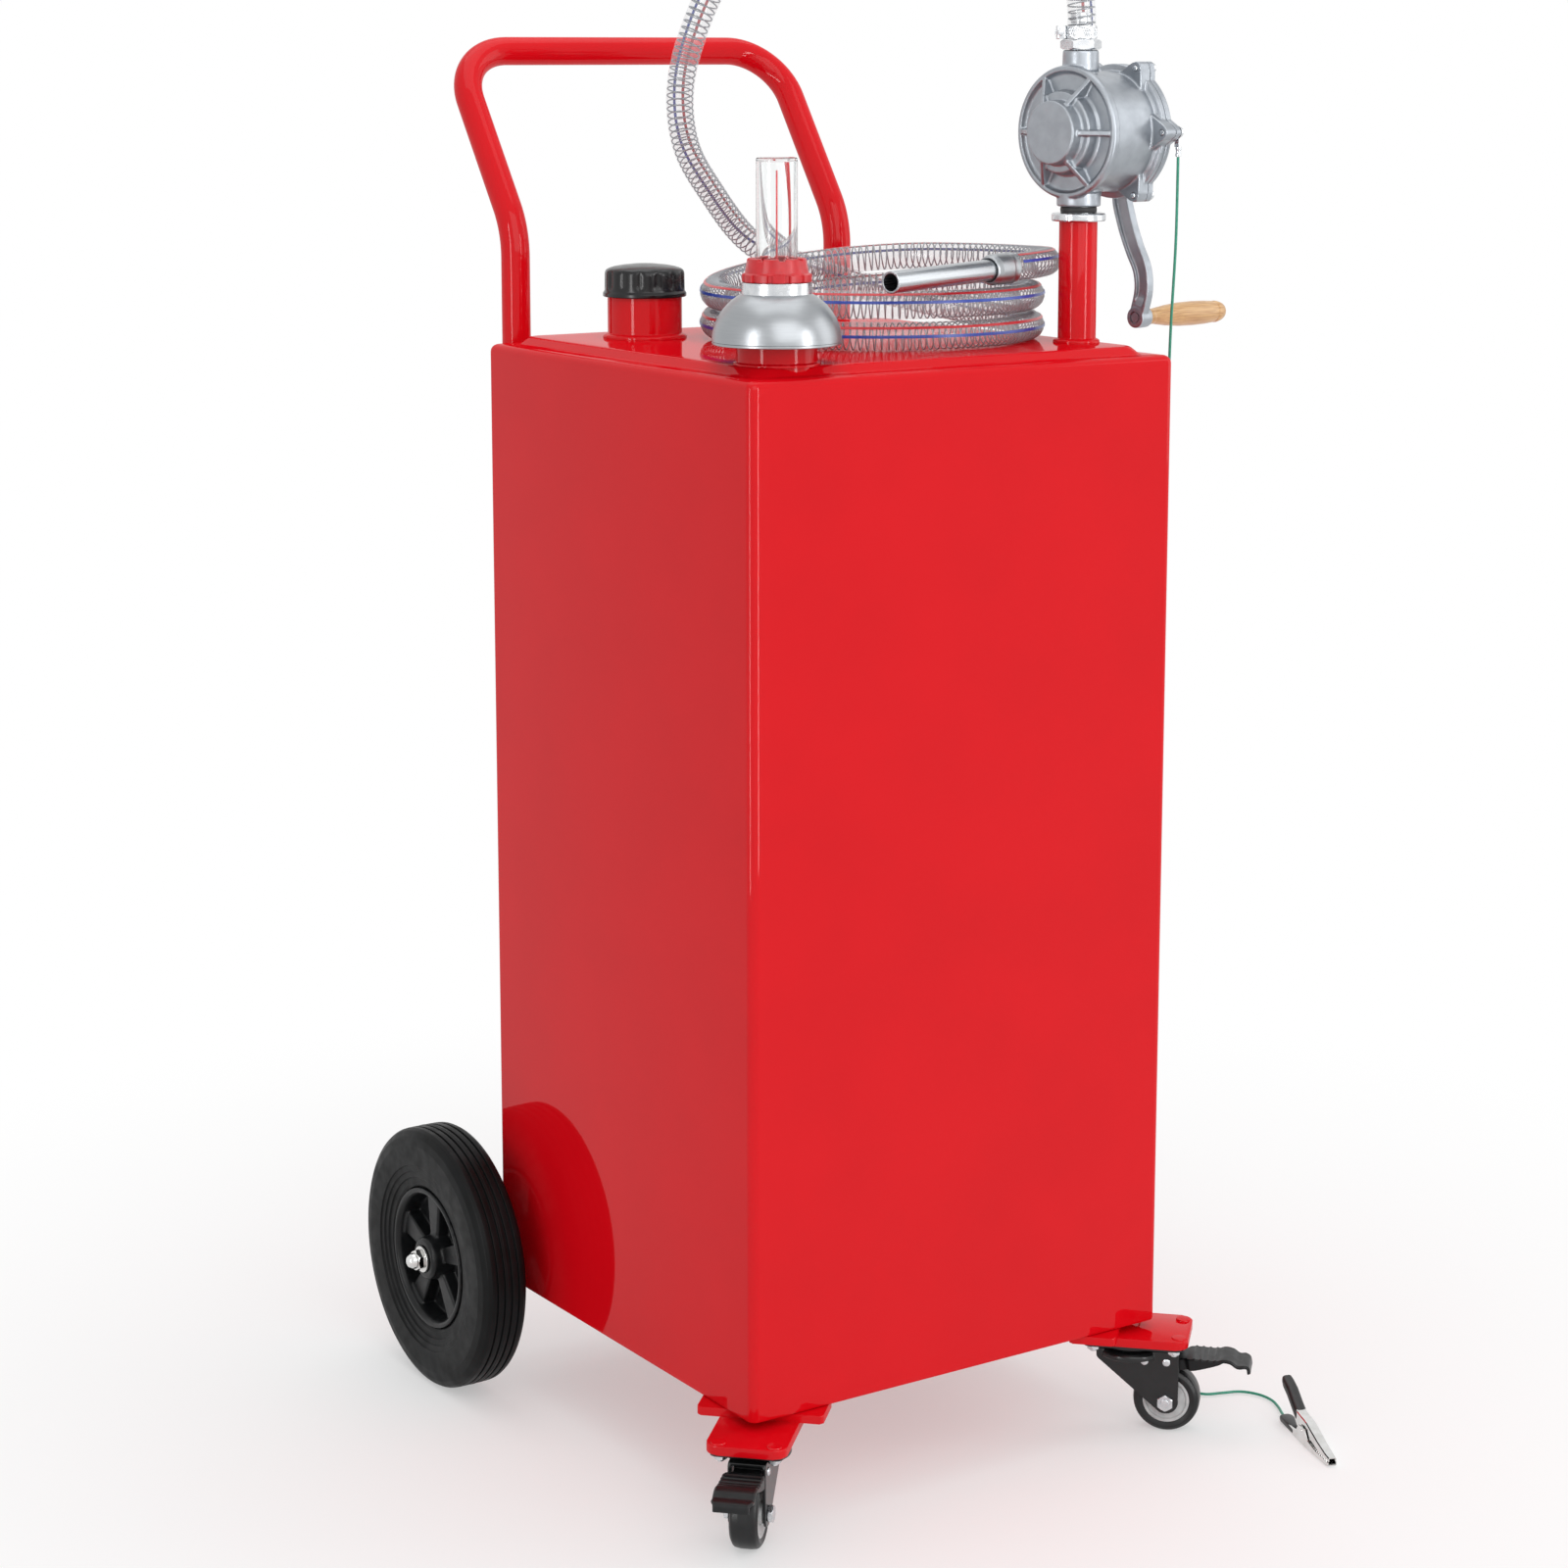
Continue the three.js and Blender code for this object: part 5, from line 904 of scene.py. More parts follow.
# %% Clip
CLIP_LENGTH, JAW_SHEET, PIN_X, PIN_HEIGHT = 105, 0.9, 52.5, 12
CLIP = TANK @ Matrix.Translation((CLIP_X, CLIP_Y, FLOOR + SEAT)) @ Matrix.Rotation(
    radians(CLIP_HEADING), 4, "Z")
JAW_TEETH, FIRST_TOOTH, TOOTH_PITCH = 9, 74, 3.2


def trough(sections, sheet, open_up):
    """A folded sheet along X. Each section gives x, half width, the fold's height and the edge's height."""
    rings = []
    for x, half, fold, edge in sections:
        inner = half - sheet
        lift = sheet if open_up else -sheet
        rings.append([(x, y, z) for y, z in (
            (-half, edge), (-half, fold + lift), (-half + 0.8 * sheet, fold), (half - 0.8 * sheet, fold),
            (half, fold + lift), (half, edge), (inner, edge), (inner, fold + lift),
            (-inner, fold + lift), (-inner, edge))])
    return joined_rings(rings)


lower_sections = [
    (16, 5.6, 0, 5), (30, 6.3, 0, 6.8), (40, 6.5, 0, 8), (46, 6.5, 0, 15), (53, 6.5, 0, 16),
    (59, 6.5, 0, 15), (65, 6.4, 0, 8), (82, 5.6, 0, 5), (100, 4.6, 0, 4.4), (104.4, 4.2, 1.0, 4.2),
]
lower_jaw = trough(lower_sections, JAW_SHEET, True)
upper_sections = [
    (15, 4.2, 37.5, 31), (28, 4.6, 28.5, 20), (38, 4.7, 23.6, 12), (46, 4.7, 22.5, 8.5),
    (52, 4.7, 22.2, 7.5), (59, 4.7, 21, 6.5), (68, 4.6, 18, 5.9), (82, 4.4, 13.6, 5.6),
    (98, 4.0, 9.5, 5.2), (104.6, 3.6, 8.4, 5.0),
]
upper_jaw = trough(upper_sections, JAW_SHEET, False)
teeth = []
for i in range(JAW_TEETH):
    tooth_x = FIRST_TOOTH + i * TOOTH_PITCH
    for side in (-1, 1):
        tooth = raised([(tooth_x, 4.0), (tooth_x + 3, 4.0), (tooth_x + 1.5, 6.3, 0.2)], -0.4, 0.4, 0.1)
        edge_y = 4.6 - (tooth_x - FIRST_TOOTH) * 0.025
        teeth.append(shifted(spun(tooth, 90, "X"), 0, side * edge_y, 0))
pin = spun(turned([(0, -7), (1.5, -7, 0.4), (1.5, 7, 0.4), (0, 7)], 24), 90, "X")
pin = shifted(pin, PIN_X, 0, PIN_HEIGHT)
clip_lower = single(
    "clip_jaw_lower", merged(lower_jaw, pin, *teeth), nickel_plate, CLIP, stands_for=("clip_lower",))
clip_upper = single("clip_jaw_upper", upper_jaw, nickel_plate, CLIP, "clip_jaw", ("clip_upper",))


GRIP_SIDES, GRIP_SQUARENESS = 24, 0.35
SPRING_RADIUS, SPRING_WIRE, SPRING_TURNS, SPRING_STEPS = 3.2, 0.55, 5, 12


def dipped(sections):
    """A soft sleeve along X: each section gives x, half width, lowest and highest."""
    rings = []
    for x, half, low, high in sections:
        middle = (low + high) / 2
        tall = (high - low) / 2
        ring = []
        for i in range(GRIP_SIDES):
            a = 2 * pi * (i + 0.5) / GRIP_SIDES
            wide = half * cos(a) * abs(cos(a)) ** -GRIP_SQUARENESS
            ring.append((x, wide, middle + tall * sin(a) * abs(sin(a)) ** -GRIP_SQUARENESS))
        rings.append(ring)
    return joined_rings(rings)


lower_grip = dipped([
    (0.6, 3.2, 0.8, 4.2), (1.6, 5.2, 0.2, 6.2), (5, 6.1, 0.0, 6.9), (18, 6.5, 0.0, 7.2), (28, 6.6, 0.0, 7.3),
    (33, 6.6, 0.0, 7.4), (34, 6.3, 0.4, 7.0)])
upper_grip = dipped([
    (2.4, 3.0, 36.8, 41.5), (3.4, 4.6, 34.8, 43.0), (7, 5.3, 32.2, 41.6), (16, 5.4, 27.6, 38.2),
    (28, 5.4, 19.4, 29.8), (35.6, 5.4, 14.4, 25.6), (36.6, 5.1, 14.4, 24.8)])
grips = [
    single("clip_grip_lower", lower_grip, grip_vinyl, CLIP),
    single("clip_grip_upper", upper_grip, grip_vinyl, CLIP, "clip_jaw"),
]
spring_line = []
for t in range(SPRING_TURNS * SPRING_STEPS + 1):
    a = 2 * pi * t / SPRING_STEPS
    along = -SPRING_RADIUS + 2 * SPRING_RADIUS * t / (SPRING_TURNS * SPRING_STEPS)
    spring_line.append(Vector((PIN_X + SPRING_RADIUS * cos(a), along, PIN_HEIGHT + SPRING_RADIUS * sin(a))))
spring_skin = swept(frames_along(spring_line, Vector((0, 1, 0))), SPRING_WIRE, 8)
clip_spring = single("clip_spring", spring_skin, zinc_plate, CLIP, smooth=WIRE_SMOOTH)
print("clip:", CLIP_LENGTH, "mm, with", 2 * JAW_TEETH, "teeth")

# %% [markdown]
# ## The tank
# A sheet is folded into a square wrapper and closed by two pressed pans. The seam between the wrapper and
# the top pan is ground and painted over, so their rings meet at one height and are alike there. A cube
# with bevelled edges would be quicker, but rings give the corner and the top edge different radii, as
# folding and pressing do.

# %% Tank wrapper
TANK_WIDTH, TANK_DEPTH, TANK_HEIGHT = 420, 415, 840
TANK_WALL, TANK_CORNER, TANK_EDGE = 1.5, 7.5, 6.5
SEAM_HEIGHT, PLATEAU_RISE, SHOULDER, PAN_REACH = 826, 7, 17, 40
CORNER_STEPS = 10


def square_ring(inset, height, corner):
    """A rounded rectangle round the tank, drawn in from its faces."""
    ring = []
    for sx, sy, start in ((1, 1, 0), (-1, 1, 90), (-1, -1, 180), (1, -1, 270)):
        for i in range(CORNER_STEPS + 1):
            angle = radians(start + 90 * i / CORNER_STEPS)
            ring.append((
                sx * (TANK_WIDTH / 2 - inset - corner) + corner * cos(angle),
                sy * (TANK_DEPTH / 2 - inset - corner) + corner * sin(angle), height))
    return ring


def corner_at(inset):
    """The pan's corners grow rounder towards its middle."""
    table = [(0, TANK_CORNER), (TANK_EDGE, 4), (SHOULDER, 12), (PAN_REACH, 18)]
    for (a, low), (b, high) in zip(table, table[1:]):
        if inset <= b:
            return low + (high - low) * (inset - a) / (b - a)
    return table[-1][1]


wrapper_rings = [
    square_ring(inset, height, TANK_CORNER - inset) for inset, height in
    ((1.6, 0), (0.6, 0.4), (0.1, 1.4), (0, 3), (0, SEAM_HEIGHT), (TANK_WALL, SEAM_HEIGHT), (TANK_WALL, 0.6))]
single(
    "tank_wrapper", joined_rings(wrapper_rings, loop=True), red_enamel, TANK, stands_for=("tank_body",))
print("wrapper:", TANK_WIDTH, "by", TANK_DEPTH, "mm")

# %% [markdown]
# The top pan has a narrow shoulder and a raised middle, which stiffens it and sheds rain. It is a stack
# of rings as well, and holes for the necks are cut in it with booleans, as a punch would.

# %% Top pan
FILLER_PIPE, GAUGE_PIPE, RISER_PIPE = 63.5, 64, 32
PUNCH_LOW, PUNCH_HIGH, PUNCH_INSET = 820, 870, 1
pan_profile = rounded([
    (0, SEAM_HEIGHT), (0, TANK_HEIGHT, TANK_EDGE), (SHOULDER, TANK_HEIGHT, 3.5),
    (SHOULDER + 6, TANK_HEIGHT + PLATEAU_RISE, 4.5), (PAN_REACH, TANK_HEIGHT + PLATEAU_RISE)], False)
outer_rings = [square_ring(p.x, p.y, corner_at(p.x)) for p in pan_profile]
inner_rings = [
    square_ring(p.x + TANK_WALL, max(p.y - TANK_WALL, SEAM_HEIGHT), corner_at(p.x))
    for p in reversed(pan_profile)]
pan_skin = joined_rings([*inner_rings, *outer_rings])
neck_cutters = [
    moved(rod(pipe / 2 - PUNCH_INSET, PUNCH_LOW, PUNCH_HIGH, 96), TANK.inverted() @ place)
    for place, pipe in ((FILLER, FILLER_PIPE), (GAUGE, GAUGE_PIPE), (RISER, RISER_PIPE))]
top_pan = single("top_pan", worked(pan_skin, neck_cutters), red_enamel, TANK, stands_for=("tank_top",))
print("top pan:", len(top_pan.data.polygons), "faces")

# %% [markdown]
# ## Welded necks
# Three pipes stand in holes of the top pan, each with a bead of weld round its foot under the paint. A
# hand weld is laid in short overlapping puddles, so the bead's width wanders a little as it goes round.
# Pipe and bead are one turned profile, whose radius is varied by the angle only where the bead is.

# %% Necks
PAN_TOP = TANK_HEIGHT + PLATEAU_RISE


def welded_neck(name, stands_for, place, diameter, wall, height, lip, bead):
    """A pipe with a weld bead round its foot."""
    outer = diameter / 2
    puddles = round(diameter / 3)

    def ripple(r, angle, z):
        if r < outer + 0.2 or z > PAN_TOP + bead:
            return r
        return r + 0.16 * sin(puddles * angle) + 0.15 * sin(3 * angle + diameter)

    profile = [
        (outer - wall, PAN_TOP - 6), (outer - 0.6, PAN_TOP - 6), (outer - 0.6, PAN_TOP - 1),
        (outer + bead, PAN_TOP - 0.6), (outer + bead, PAN_TOP + 0.55 * bead, 2),
        (outer + 0.4 * bead, PAN_TOP + 0.85 * bead, 1.5), (outer, PAN_TOP + bead, 0.8),
        (outer, PAN_TOP + height, lip), (outer - wall, PAN_TOP + height, lip * 0.7)]
    return single(name, turned(profile, 120, ripple), red_enamel, place, stands_for=(stands_for,))


welded_neck("filler_pipe", "filler_neck", FILLER, FILLER_PIPE, wall=3, height=52, lip=1.0, bead=4.0)
welded_neck("gauge_pipe", "gauge_neck", GAUGE, GAUGE_PIPE, wall=3, height=15.5, lip=1.0, bead=2.2)
welded_neck("riser_pipe", "standpipe", RISER, RISER_PIPE, wall=2.6, height=101, lip=0.8, bead=3.6)

# %% [markdown]
# ## The filler cap
# It is a moulded screw cap: a thick skirt with soft flutes for wet fingers, a flared lip at its foot, and
# a domed top. The flutes fade out at both ends, as they do where a mould has to release the part. Cutting
# them would leave sharp ends, so the turned profile is drawn in by the angle instead.

# %% Filler cap
CAP_FOOT, CAP_CEILING, CAP_SIDE, CAP_TOP = 882, 901.9, 903, 910
CAP_FLUTES, CAP_FLUTE_DEPTH = 14, 1.5
MOULDED_SMOOTH = 50


def flutes(r, angle, z):
    """Bowed panels round the skirt, with a soft groove between each two."""
    if r < 29 or z < CAP_FOOT + 5:
        return r
    rise = smooth_step((z - CAP_FOOT - 5) / 5) * smooth_step((CAP_SIDE + 3 - z) / 5)
    return r - CAP_FLUTE_DEPTH * rise * (1 - abs(sin(CAP_FLUTES / 2 * angle))) ** 1.3


skirt = [(34.3 - 0.02 * i, CAP_FOOT + 6 + i * 1.35) for i in range(11)]
cap_profile = [
    (31.9, CAP_FOOT), (35.6, CAP_FOOT, 0.8), (35.7, CAP_FOOT + 3, 1.2), (34.4, CAP_FOOT + 5, 1.2), *skirt,
    (33.8, CAP_SIDE), (33.2, CAP_SIDE + 1.3), (31.9, CAP_SIDE + 2.4), (29.6, CAP_SIDE + 3.4),
    (26.2, CAP_SIDE + 4.4), (20, CAP_TOP - 1.5, 12), (10, CAP_TOP - 0.4, 10), (0, CAP_TOP), (0, CAP_CEILING),
    (31.6, CAP_CEILING, 0.8)]
cap_rings = turned(cap_profile, 224, flutes)
single("screw_cap", cap_rings, cap_plastic, FILLER, "cap", ("filler_cap",), smooth=MOULDED_SMOOTH)
print("cap:", CAP_FLUTES, "flutes")

# %% [markdown]
# ## The level gauge
# A spun aluminium dome caps the gauge's neck. On it a hexagonal collar of zinc-plated steel carries a
# clear tube. Part of a sphere would do for the dome, but its rim is rolled over a bead, so its arc is
# worked out and the rim's points follow it in one profile.

# %% Dome and collar
DOME_FOOT, DOME_RIM, DOME_RADIUS, DOME_CROWN = 862.5, 2.5, 51, 24.5
DOME_RISE, DOME_SHEET, DOME_BORE, DOME_STEPS = 38.5, 2.2, 16, 28
RIM_INNER, COLLAR_FOOT, COLLAR_TOP = 48.9, 900.9, 910.8
# The dome is nearly half a ball, cut flat where the collar sits on it.
crown_angle = acos(DOME_CROWN / DOME_RADIUS)
dome_arc = [
    (DOME_RADIUS * cos(a), DOME_FOOT + DOME_RIM + DOME_RISE * sin(a) / sin(crown_angle))
    for a in [crown_angle * i / DOME_STEPS for i in range(DOME_STEPS + 1)]]
dome_inner = [(r * (1 - DOME_SHEET / DOME_RADIUS), z - DOME_SHEET) for r, z in dome_arc[5:]]
crown = DOME_FOOT + DOME_RIM + DOME_RISE
dome_profile = [
    (DOME_BORE / 2, crown - DOME_SHEET), (DOME_BORE / 2, crown), *reversed(dome_arc),
    (50.9, DOME_FOOT + 3.4), (50.3, DOME_FOOT + 2.9, 0.3), (DOME_RADIUS, DOME_FOOT + 2.0, 0.6),
    (DOME_RADIUS, DOME_FOOT, 0.8), (RIM_INNER, DOME_FOOT, 0.4), (RIM_INNER, DOME_FOOT + 2.6, 0.5),
    *dome_inner]
single("spun_dome", turned(dome_profile, 144), spun_aluminium, GAUGE, stands_for=("gauge_dome",))
# The collar's foot is seated in the dome, so the dome's curve cuts its six faces in shallow arches.
collar = hexagon(48, COLLAR_FOOT, COLLAR_TOP, chamfer=1.6, bore=6)
single("hex_collar", collar, zinc_plate, GAUGE, stands_for=("gauge_collar",))
print("dome:", 2 * DOME_RADIUS, "mm across")

# %% [markdown]
# A red nylon nut clamps the tube's flange. Twelve notches in its lower band give a spanner hold, and its
# top edge dips eight times. Both are soft edged, because they were moulded, so points of the turned skin
# are moved and nothing is cut.

# %% Ring nut
NUT_FOOT, NUT_BAND, NUT_TOP = 911.1, 917.8, 929.4
NUT_NOTCHES, NUT_NOTCH_HALF, NUT_NOTCH_DEPTH = 12, 0.088, 1.9
NUT_DIPS, NUT_DIP_SHARE, NUT_DIP_DEPTH = 8, 0.16, 1.5


def notches(r, angle, z):
    """Narrow notches through the lower band of the nut."""
    if r < 25.2 or z > NUT_BAND:
        return r
    away = abs((angle * NUT_NOTCHES / (2 * pi)) % 1 - 0.5) * 2 * pi / NUT_NOTCHES
    cut = smooth_step((NUT_NOTCH_HALF - away) / 0.03)
    return r - NUT_NOTCH_DEPTH * cut * smooth_step((NUT_BAND - z) / 1.2)


nut_side = [(27.4, 911.8 + 0.55 * i) for i in range(10)]
nut_profile = [
    (19.4, NUT_FOOT), (26.9, NUT_FOOT, 0.5), *nut_side, (27.4, 917.0, 0.7), (25.0, 918.2, 0.8),
    (24.8, 919.2), (23.1, 928.9, 0.9), (22.2, NUT_TOP, 0.5), (16.7, NUT_TOP, 0.6), (16.7, 914.6),
    (19.4, 914.4)]
nut_skin = turned(nut_profile, 240, notches)
for vert in nut_skin.verts:
    if vert.co.z > 928.2:
        around = (vert.co.to_2d().angle_signed(Vector((1, 0))) * NUT_DIPS / 2 / pi) % 1
        vert.co.z -= NUT_DIP_DEPTH * smooth_step((NUT_DIP_SHARE - abs(around - 0.5)) / 0.05)
single("notched_nut", nut_skin, red_nylon, GAUGE, stands_for=("gauge_ring_nut",))
print("nut:", NUT_NOTCHES, "notches")

# %% [markdown]
# A red rod stands in the tube on its float, so its top shows how full the tank is: here it is full. The
# tube needs its real wall with an inside and an outside, because light is bent at both, and a solid bar
# of acrylic would act as a lens.

# %% Sight tube, rod and float
SIGHT_FOOT, SIGHT_FLANGE, SIGHT_TOP, SIGHT_CLOSED = 911.1, 914.1, 1007.1, 1004.7
SIGHT_INNER, SIGHT_OUTER, FLANGE_OUTER = 14.25, 16.25, 18.8
sight_profile = [
    (SIGHT_INNER, SIGHT_FOOT), (FLANGE_OUTER, SIGHT_FOOT, 0.3), (FLANGE_OUTER, SIGHT_FLANGE, 0.3),
    (SIGHT_OUTER, SIGHT_FLANGE, 0.5), (SIGHT_OUTER, SIGHT_TOP, 1.4), (0, SIGHT_TOP), (0, SIGHT_CLOSED),
    (SIGHT_INNER, SIGHT_CLOSED, 1.0)]
single("clear_sight_tube", turned(sight_profile, 96), clear_acrylic, GAUGE, stands_for=("sight_tube",))
ROD_TOP, ROD_RADIUS, FLOAT_FOOT, FLOAT_TOP, FLOAT_RADIUS = 997.1, 0.7, 722, 762, 24
float_profile = [
    (0, FLOAT_FOOT), (18, FLOAT_FOOT, 3), (FLOAT_RADIUS, FLOAT_FOOT + 6, 5), (FLOAT_RADIUS, FLOAT_TOP - 6, 5),
    (18, FLOAT_TOP, 3), (3.4, FLOAT_TOP, 1), (ROD_RADIUS, FLOAT_TOP + 4, 1), (ROD_RADIUS, ROD_TOP, 0.4),
    (0, ROD_TOP)]
single("float_and_rod", turned(float_profile, 48), red_nylon, GAUGE, "float", ("gauge_float",))
print("rod's top:", ROD_TOP, "mm above the tank's foot")

# %% [markdown]
# ## The pump's casting
# Body and cover are sand castings. Each is drawn here as plain shells that overlap: a barrel, a rim, six
# wedge ribs, lugs and ports. A voxel remesh melts them into one skin and smoothing rounds every inner
# corner, which is just what a pattern maker does with fillet wax. Bevels could not do it, as they fail
# where so many curved edges meet. Machined holes are cut afterwards, so they are crisp.

# %% Pump body
RIM_RADIUS, BARREL_RADIUS, BARREL_LENGTH = 55, 50, 58
BOSS_RADIUS, BOSS_FACE, BOSS_FOOT = 26.5, -20, -9
FLANGE_RADIUS, BODY_END = 56, 63
LUG_CIRCLE, LUG_RADIUS, LUG_REACH = 60.5, 7.5, 7
PORT_OFFSET = 17
PORT_TURN = Matrix.Translation((0, 0, PORT_OFFSET)) @ Matrix.Rotation(-pi / 2, 4, "X")
CAST_VOXEL, CAST_SMOOTH = 0.75, 40
CHAMBER_RADIUS, CHAMBER_FRONT, CHAMBER_DROP = 38, 6, 5
INLET_RADIUS, OUTLET_RADIUS, SCREW_HOLE = 12.8, 9.8, 2.8

casting_profile = [
    (0, BOSS_FACE), (BOSS_RADIUS - 0.5, BOSS_FACE, 0.8), (BOSS_RADIUS + 0.5, BOSS_FOOT, 0.8),
    (33.5, BOSS_FOOT + 0.5, 1), (34.5, 0.5, 1), (36, 2.2, 1), (47.8, 2.6, 1.5), (49.6, 0.6, 1),
    (50.4, -1.0, 1), (53.6, -1.0, 1.2), (RIM_RADIUS, 1.5, 1.2), (RIM_RADIUS - 0.4, 6.6, 1.2),
    (BARREL_RADIUS, 8.2, 1.5), (BARREL_RADIUS, 56.5, 1.5), (FLANGE_RADIUS, BARREL_LENGTH, 0.8),
    (FLANGE_RADIUS, BODY_END, 0.8), (0, BODY_END)]
body_shells = [turned(casting_profile, 144)]
for i in range(6):
    rib = raised([
        (BOSS_RADIUS - 6, 4), (RIM_RADIUS - 4, 4), (RIM_RADIUS - 4, -0.4), (BOSS_RADIUS + 2, -14.5, 1.5),
        (BOSS_RADIUS - 6, -16)], -2.1, 2.1, 0.4)
    body_shells.append(spun(spun(rib, 90, "X"), 60 * i))
inlet_profile = [(0, -61.3), (17.6, -61.3, 0.5), (18.4, -60.2, 0.5), (18.4, -49.8), (0, -49.8)]
outlet_profile = [(0, 0), (14, 0), (14, 50), (15.4, 50.5, 1), (14.9, 66, 0.6), (14.2, 67.3, 0.5), (0, 67.3)]
port_root = shifted(rod(16.8, -52, 0, 72), 0, -3.4, 0)
ports = (turned(inlet_profile, 72), turned(outlet_profile, 72), port_root)
body_shells += [moved(skin, PORT_TURN) for skin in ports]


def screw_lugs(low, high):
    """Six three-cornered ears round the flange."""
    outline = [
        (BARREL_RADIUS - 6, -17), (LUG_CIRCLE + 1.5, -6.0, 5), (LUG_CIRCLE + LUG_RADIUS, 0, 4),
        (LUG_CIRCLE + 1.5, 6.0, 5), (BARREL_RADIUS - 6, 17)]
    return [spun(raised(outline, low, high, 0.5), 60 * i) for i in range(6)]


def screw_holes(low, high):
    """Cutters for the six screws."""
    return [spun(shifted(rod(SCREW_HOLE, low, high, 24), LUG_CIRCLE, 0, 0), 60 * i) for i in range(6)]


body_shells += screw_lugs(BARREL_LENGTH - LUG_REACH, BODY_END)
body_skin = worked(merged(*body_shells), voxel=CAST_VOXEL, smooth=3)
body_cutters = [
    shifted(rod(CHAMBER_RADIUS, CHAMBER_FRONT, 70, 96), 0, -CHAMBER_DROP, 0),
    moved(rod(INLET_RADIUS, -70, -1, 48), PORT_TURN),
    moved(rod(OUTLET_RADIUS, 1, 75, 48), PORT_TURN),
    *screw_holes(48, 66)]
pump_casting = single(
    "pump_casting", worked(body_skin, body_cutters), cast_aluminium, PUMP, stands_for=("pump_body",),
    smooth=CAST_SMOOTH)
print("pump casting:", len(pump_casting.data.polygons), "faces")

# %% [markdown]
# The back cover is cast the same way, with six webs that carry the shaft's boss. It has the same lugs as
# the body, so one function draws the ears of both.

# %% Back cover
COVER_FRONT, COVER_FLANGE, COVER_END, SHAFT_HOLE = 63.3, 69.3, 83.3, 6.4
cover_profile = [
    (0, COVER_FRONT), (FLANGE_RADIUS, COVER_FRONT, 0.8), (FLANGE_RADIUS, COVER_FLANGE, 1.2), (50, 70, 1.5),
    (38, 73, 4), (24, 75.5, 3), (22, 78, 2), (21.4, COVER_END, 1.2), (0, COVER_END)]
cover_shells = [turned(cover_profile, 144), *screw_lugs(COVER_FRONT, COVER_FLANGE)]
for i in range(6):
    web = raised([(18, 70), (52, 68), (50, 71.4, 1), (20, 80.5, 1)], -1.8, 1.8, 0.5)
    cover_shells.append(spun(spun(web, 90, "X"), 30 + 60 * i))
cover_skin = worked(merged(*cover_shells), voxel=CAST_VOXEL, smooth=3)
cover_cutters = [rod(SHAFT_HOLE, 60, 90, 48), *screw_holes(60, 75)]
cover_casting = single(
    "cover_casting", worked(cover_skin, cover_cutters), cast_aluminium, PUMP,
    stands_for=("pump_back_cover",), smooth=CAST_SMOOTH)
print("cover casting:", len(cover_casting.data.polygons), "faces")

# %% [markdown]
# Six zinc-plated screws hold the cover. Their round heads are behind, and their ends show in the lugs
# from the front, as they do on the real pump. All six are one mesh, turned a sixth of the way round each
# time.

# %% Cover screws
SCREW_TIP, SHANK_RADIUS, HEAD_RADIUS, HEAD_HEIGHT = 49.6, 2.5, 4.4, 3.5
# The fourth screw also clamps the ring terminal, so its head stands higher by the terminal's thickness.
TERMINAL_SCREW, TERMINAL_LIFT = 3, 1.1
screw_profile = [
    (0, SCREW_TIP), (2.1, SCREW_TIP, 0.3), (SHANK_RADIUS, SCREW_TIP + 0.8), (SHANK_RADIUS, COVER_BACK),
    (HEAD_RADIUS, COVER_BACK, 0.3), (HEAD_RADIUS, COVER_BACK + 3.3, 0.9),
    (2.2, COVER_BACK + HEAD_HEIGHT, 0.3), (0, COVER_BACK + HEAD_HEIGHT)]
screw_mesh = mesh_of("cover_screw", turned(screw_profile, 48), zinc_plate)
for i in range(6):
    lift = TERMINAL_LIFT if i == TERMINAL_SCREW else 0
    spot = PUMP @ Matrix.Rotation(radians(60 * i), 4, "Z") @ Matrix.Translation((LUG_CIRCLE, 0, lift))
    piece(f"cap_screw_{i + 1}", screw_mesh, spot, "root", (f"cover_screw_{i + 1}",))
print("screws: 6")

# %% [markdown]
# ## The crank
# The arm is a casting too, with a flange along each edge of both faces, bent in a shallow S so that it
# clears the tank. A boss at its foot holds a pin. An I-shaped section is swept along the bent line,
# because its pocket has to fade out before each boss, and a section can change as it goes.

# %% Crank arm
CRANK_RADIUS, CRANK_SWAY, CRANK_LOW, CRANK_HIGH = 158, 20, 90, 98
ARM_HALF, ARM_TAPER, ARM_FLANGE, ARM_POCKET, ARM_EDGE, ARM_VOXEL = 9.4, 2.0, 3, 2.9, 0.6, 0.6
# Shares of the arm's length where its pocket begins and ends.
POCKET_FROM, POCKET_TO = 0.1, 0.93
sway_shares = [0, 0.35, 1, 0.75, 0.25, -0.2, -0.3, 0]
radius_shares = [0, 0.14, 0.34, 0.48, 0.63, 0.74, 0.85, 1]
arm_points = [Vector((s * CRANK_SWAY, -r * CRANK_RADIUS, 0)) for s, r in zip(sway_shares, radius_shares)]
arm_line = curve_through(arm_points, 4)
arm_frames = frames_along(arm_line, Vector((1, 0, 0)))
arm_rings = []
for k, (point, across, _, _) in enumerate(arm_frames):
    share = k / (len(arm_frames) - 1)
    half = ARM_HALF - ARM_TAPER * share
    inner = half - ARM_FLANGE
    pocket = ARM_POCKET * smooth_step((share - POCKET_FROM) / 0.06) * smooth_step((POCKET_TO - share) / 0.05)
    quarter = [(half, ARM_EDGE), (half - ARM_EDGE, 0), (inner + 0.2, 0), (inner - 0.5, pocket)]
    face = [(-y, depth) for y, depth in quarter] + quarter[::-1]
    section = [(y, CRANK_LOW + depth) for y, depth in face]
    section += [(y, CRANK_HIGH - depth) for y, depth in reversed(face)]
    arm_rings.append([point + across * y + RISE * z for y, z in section])
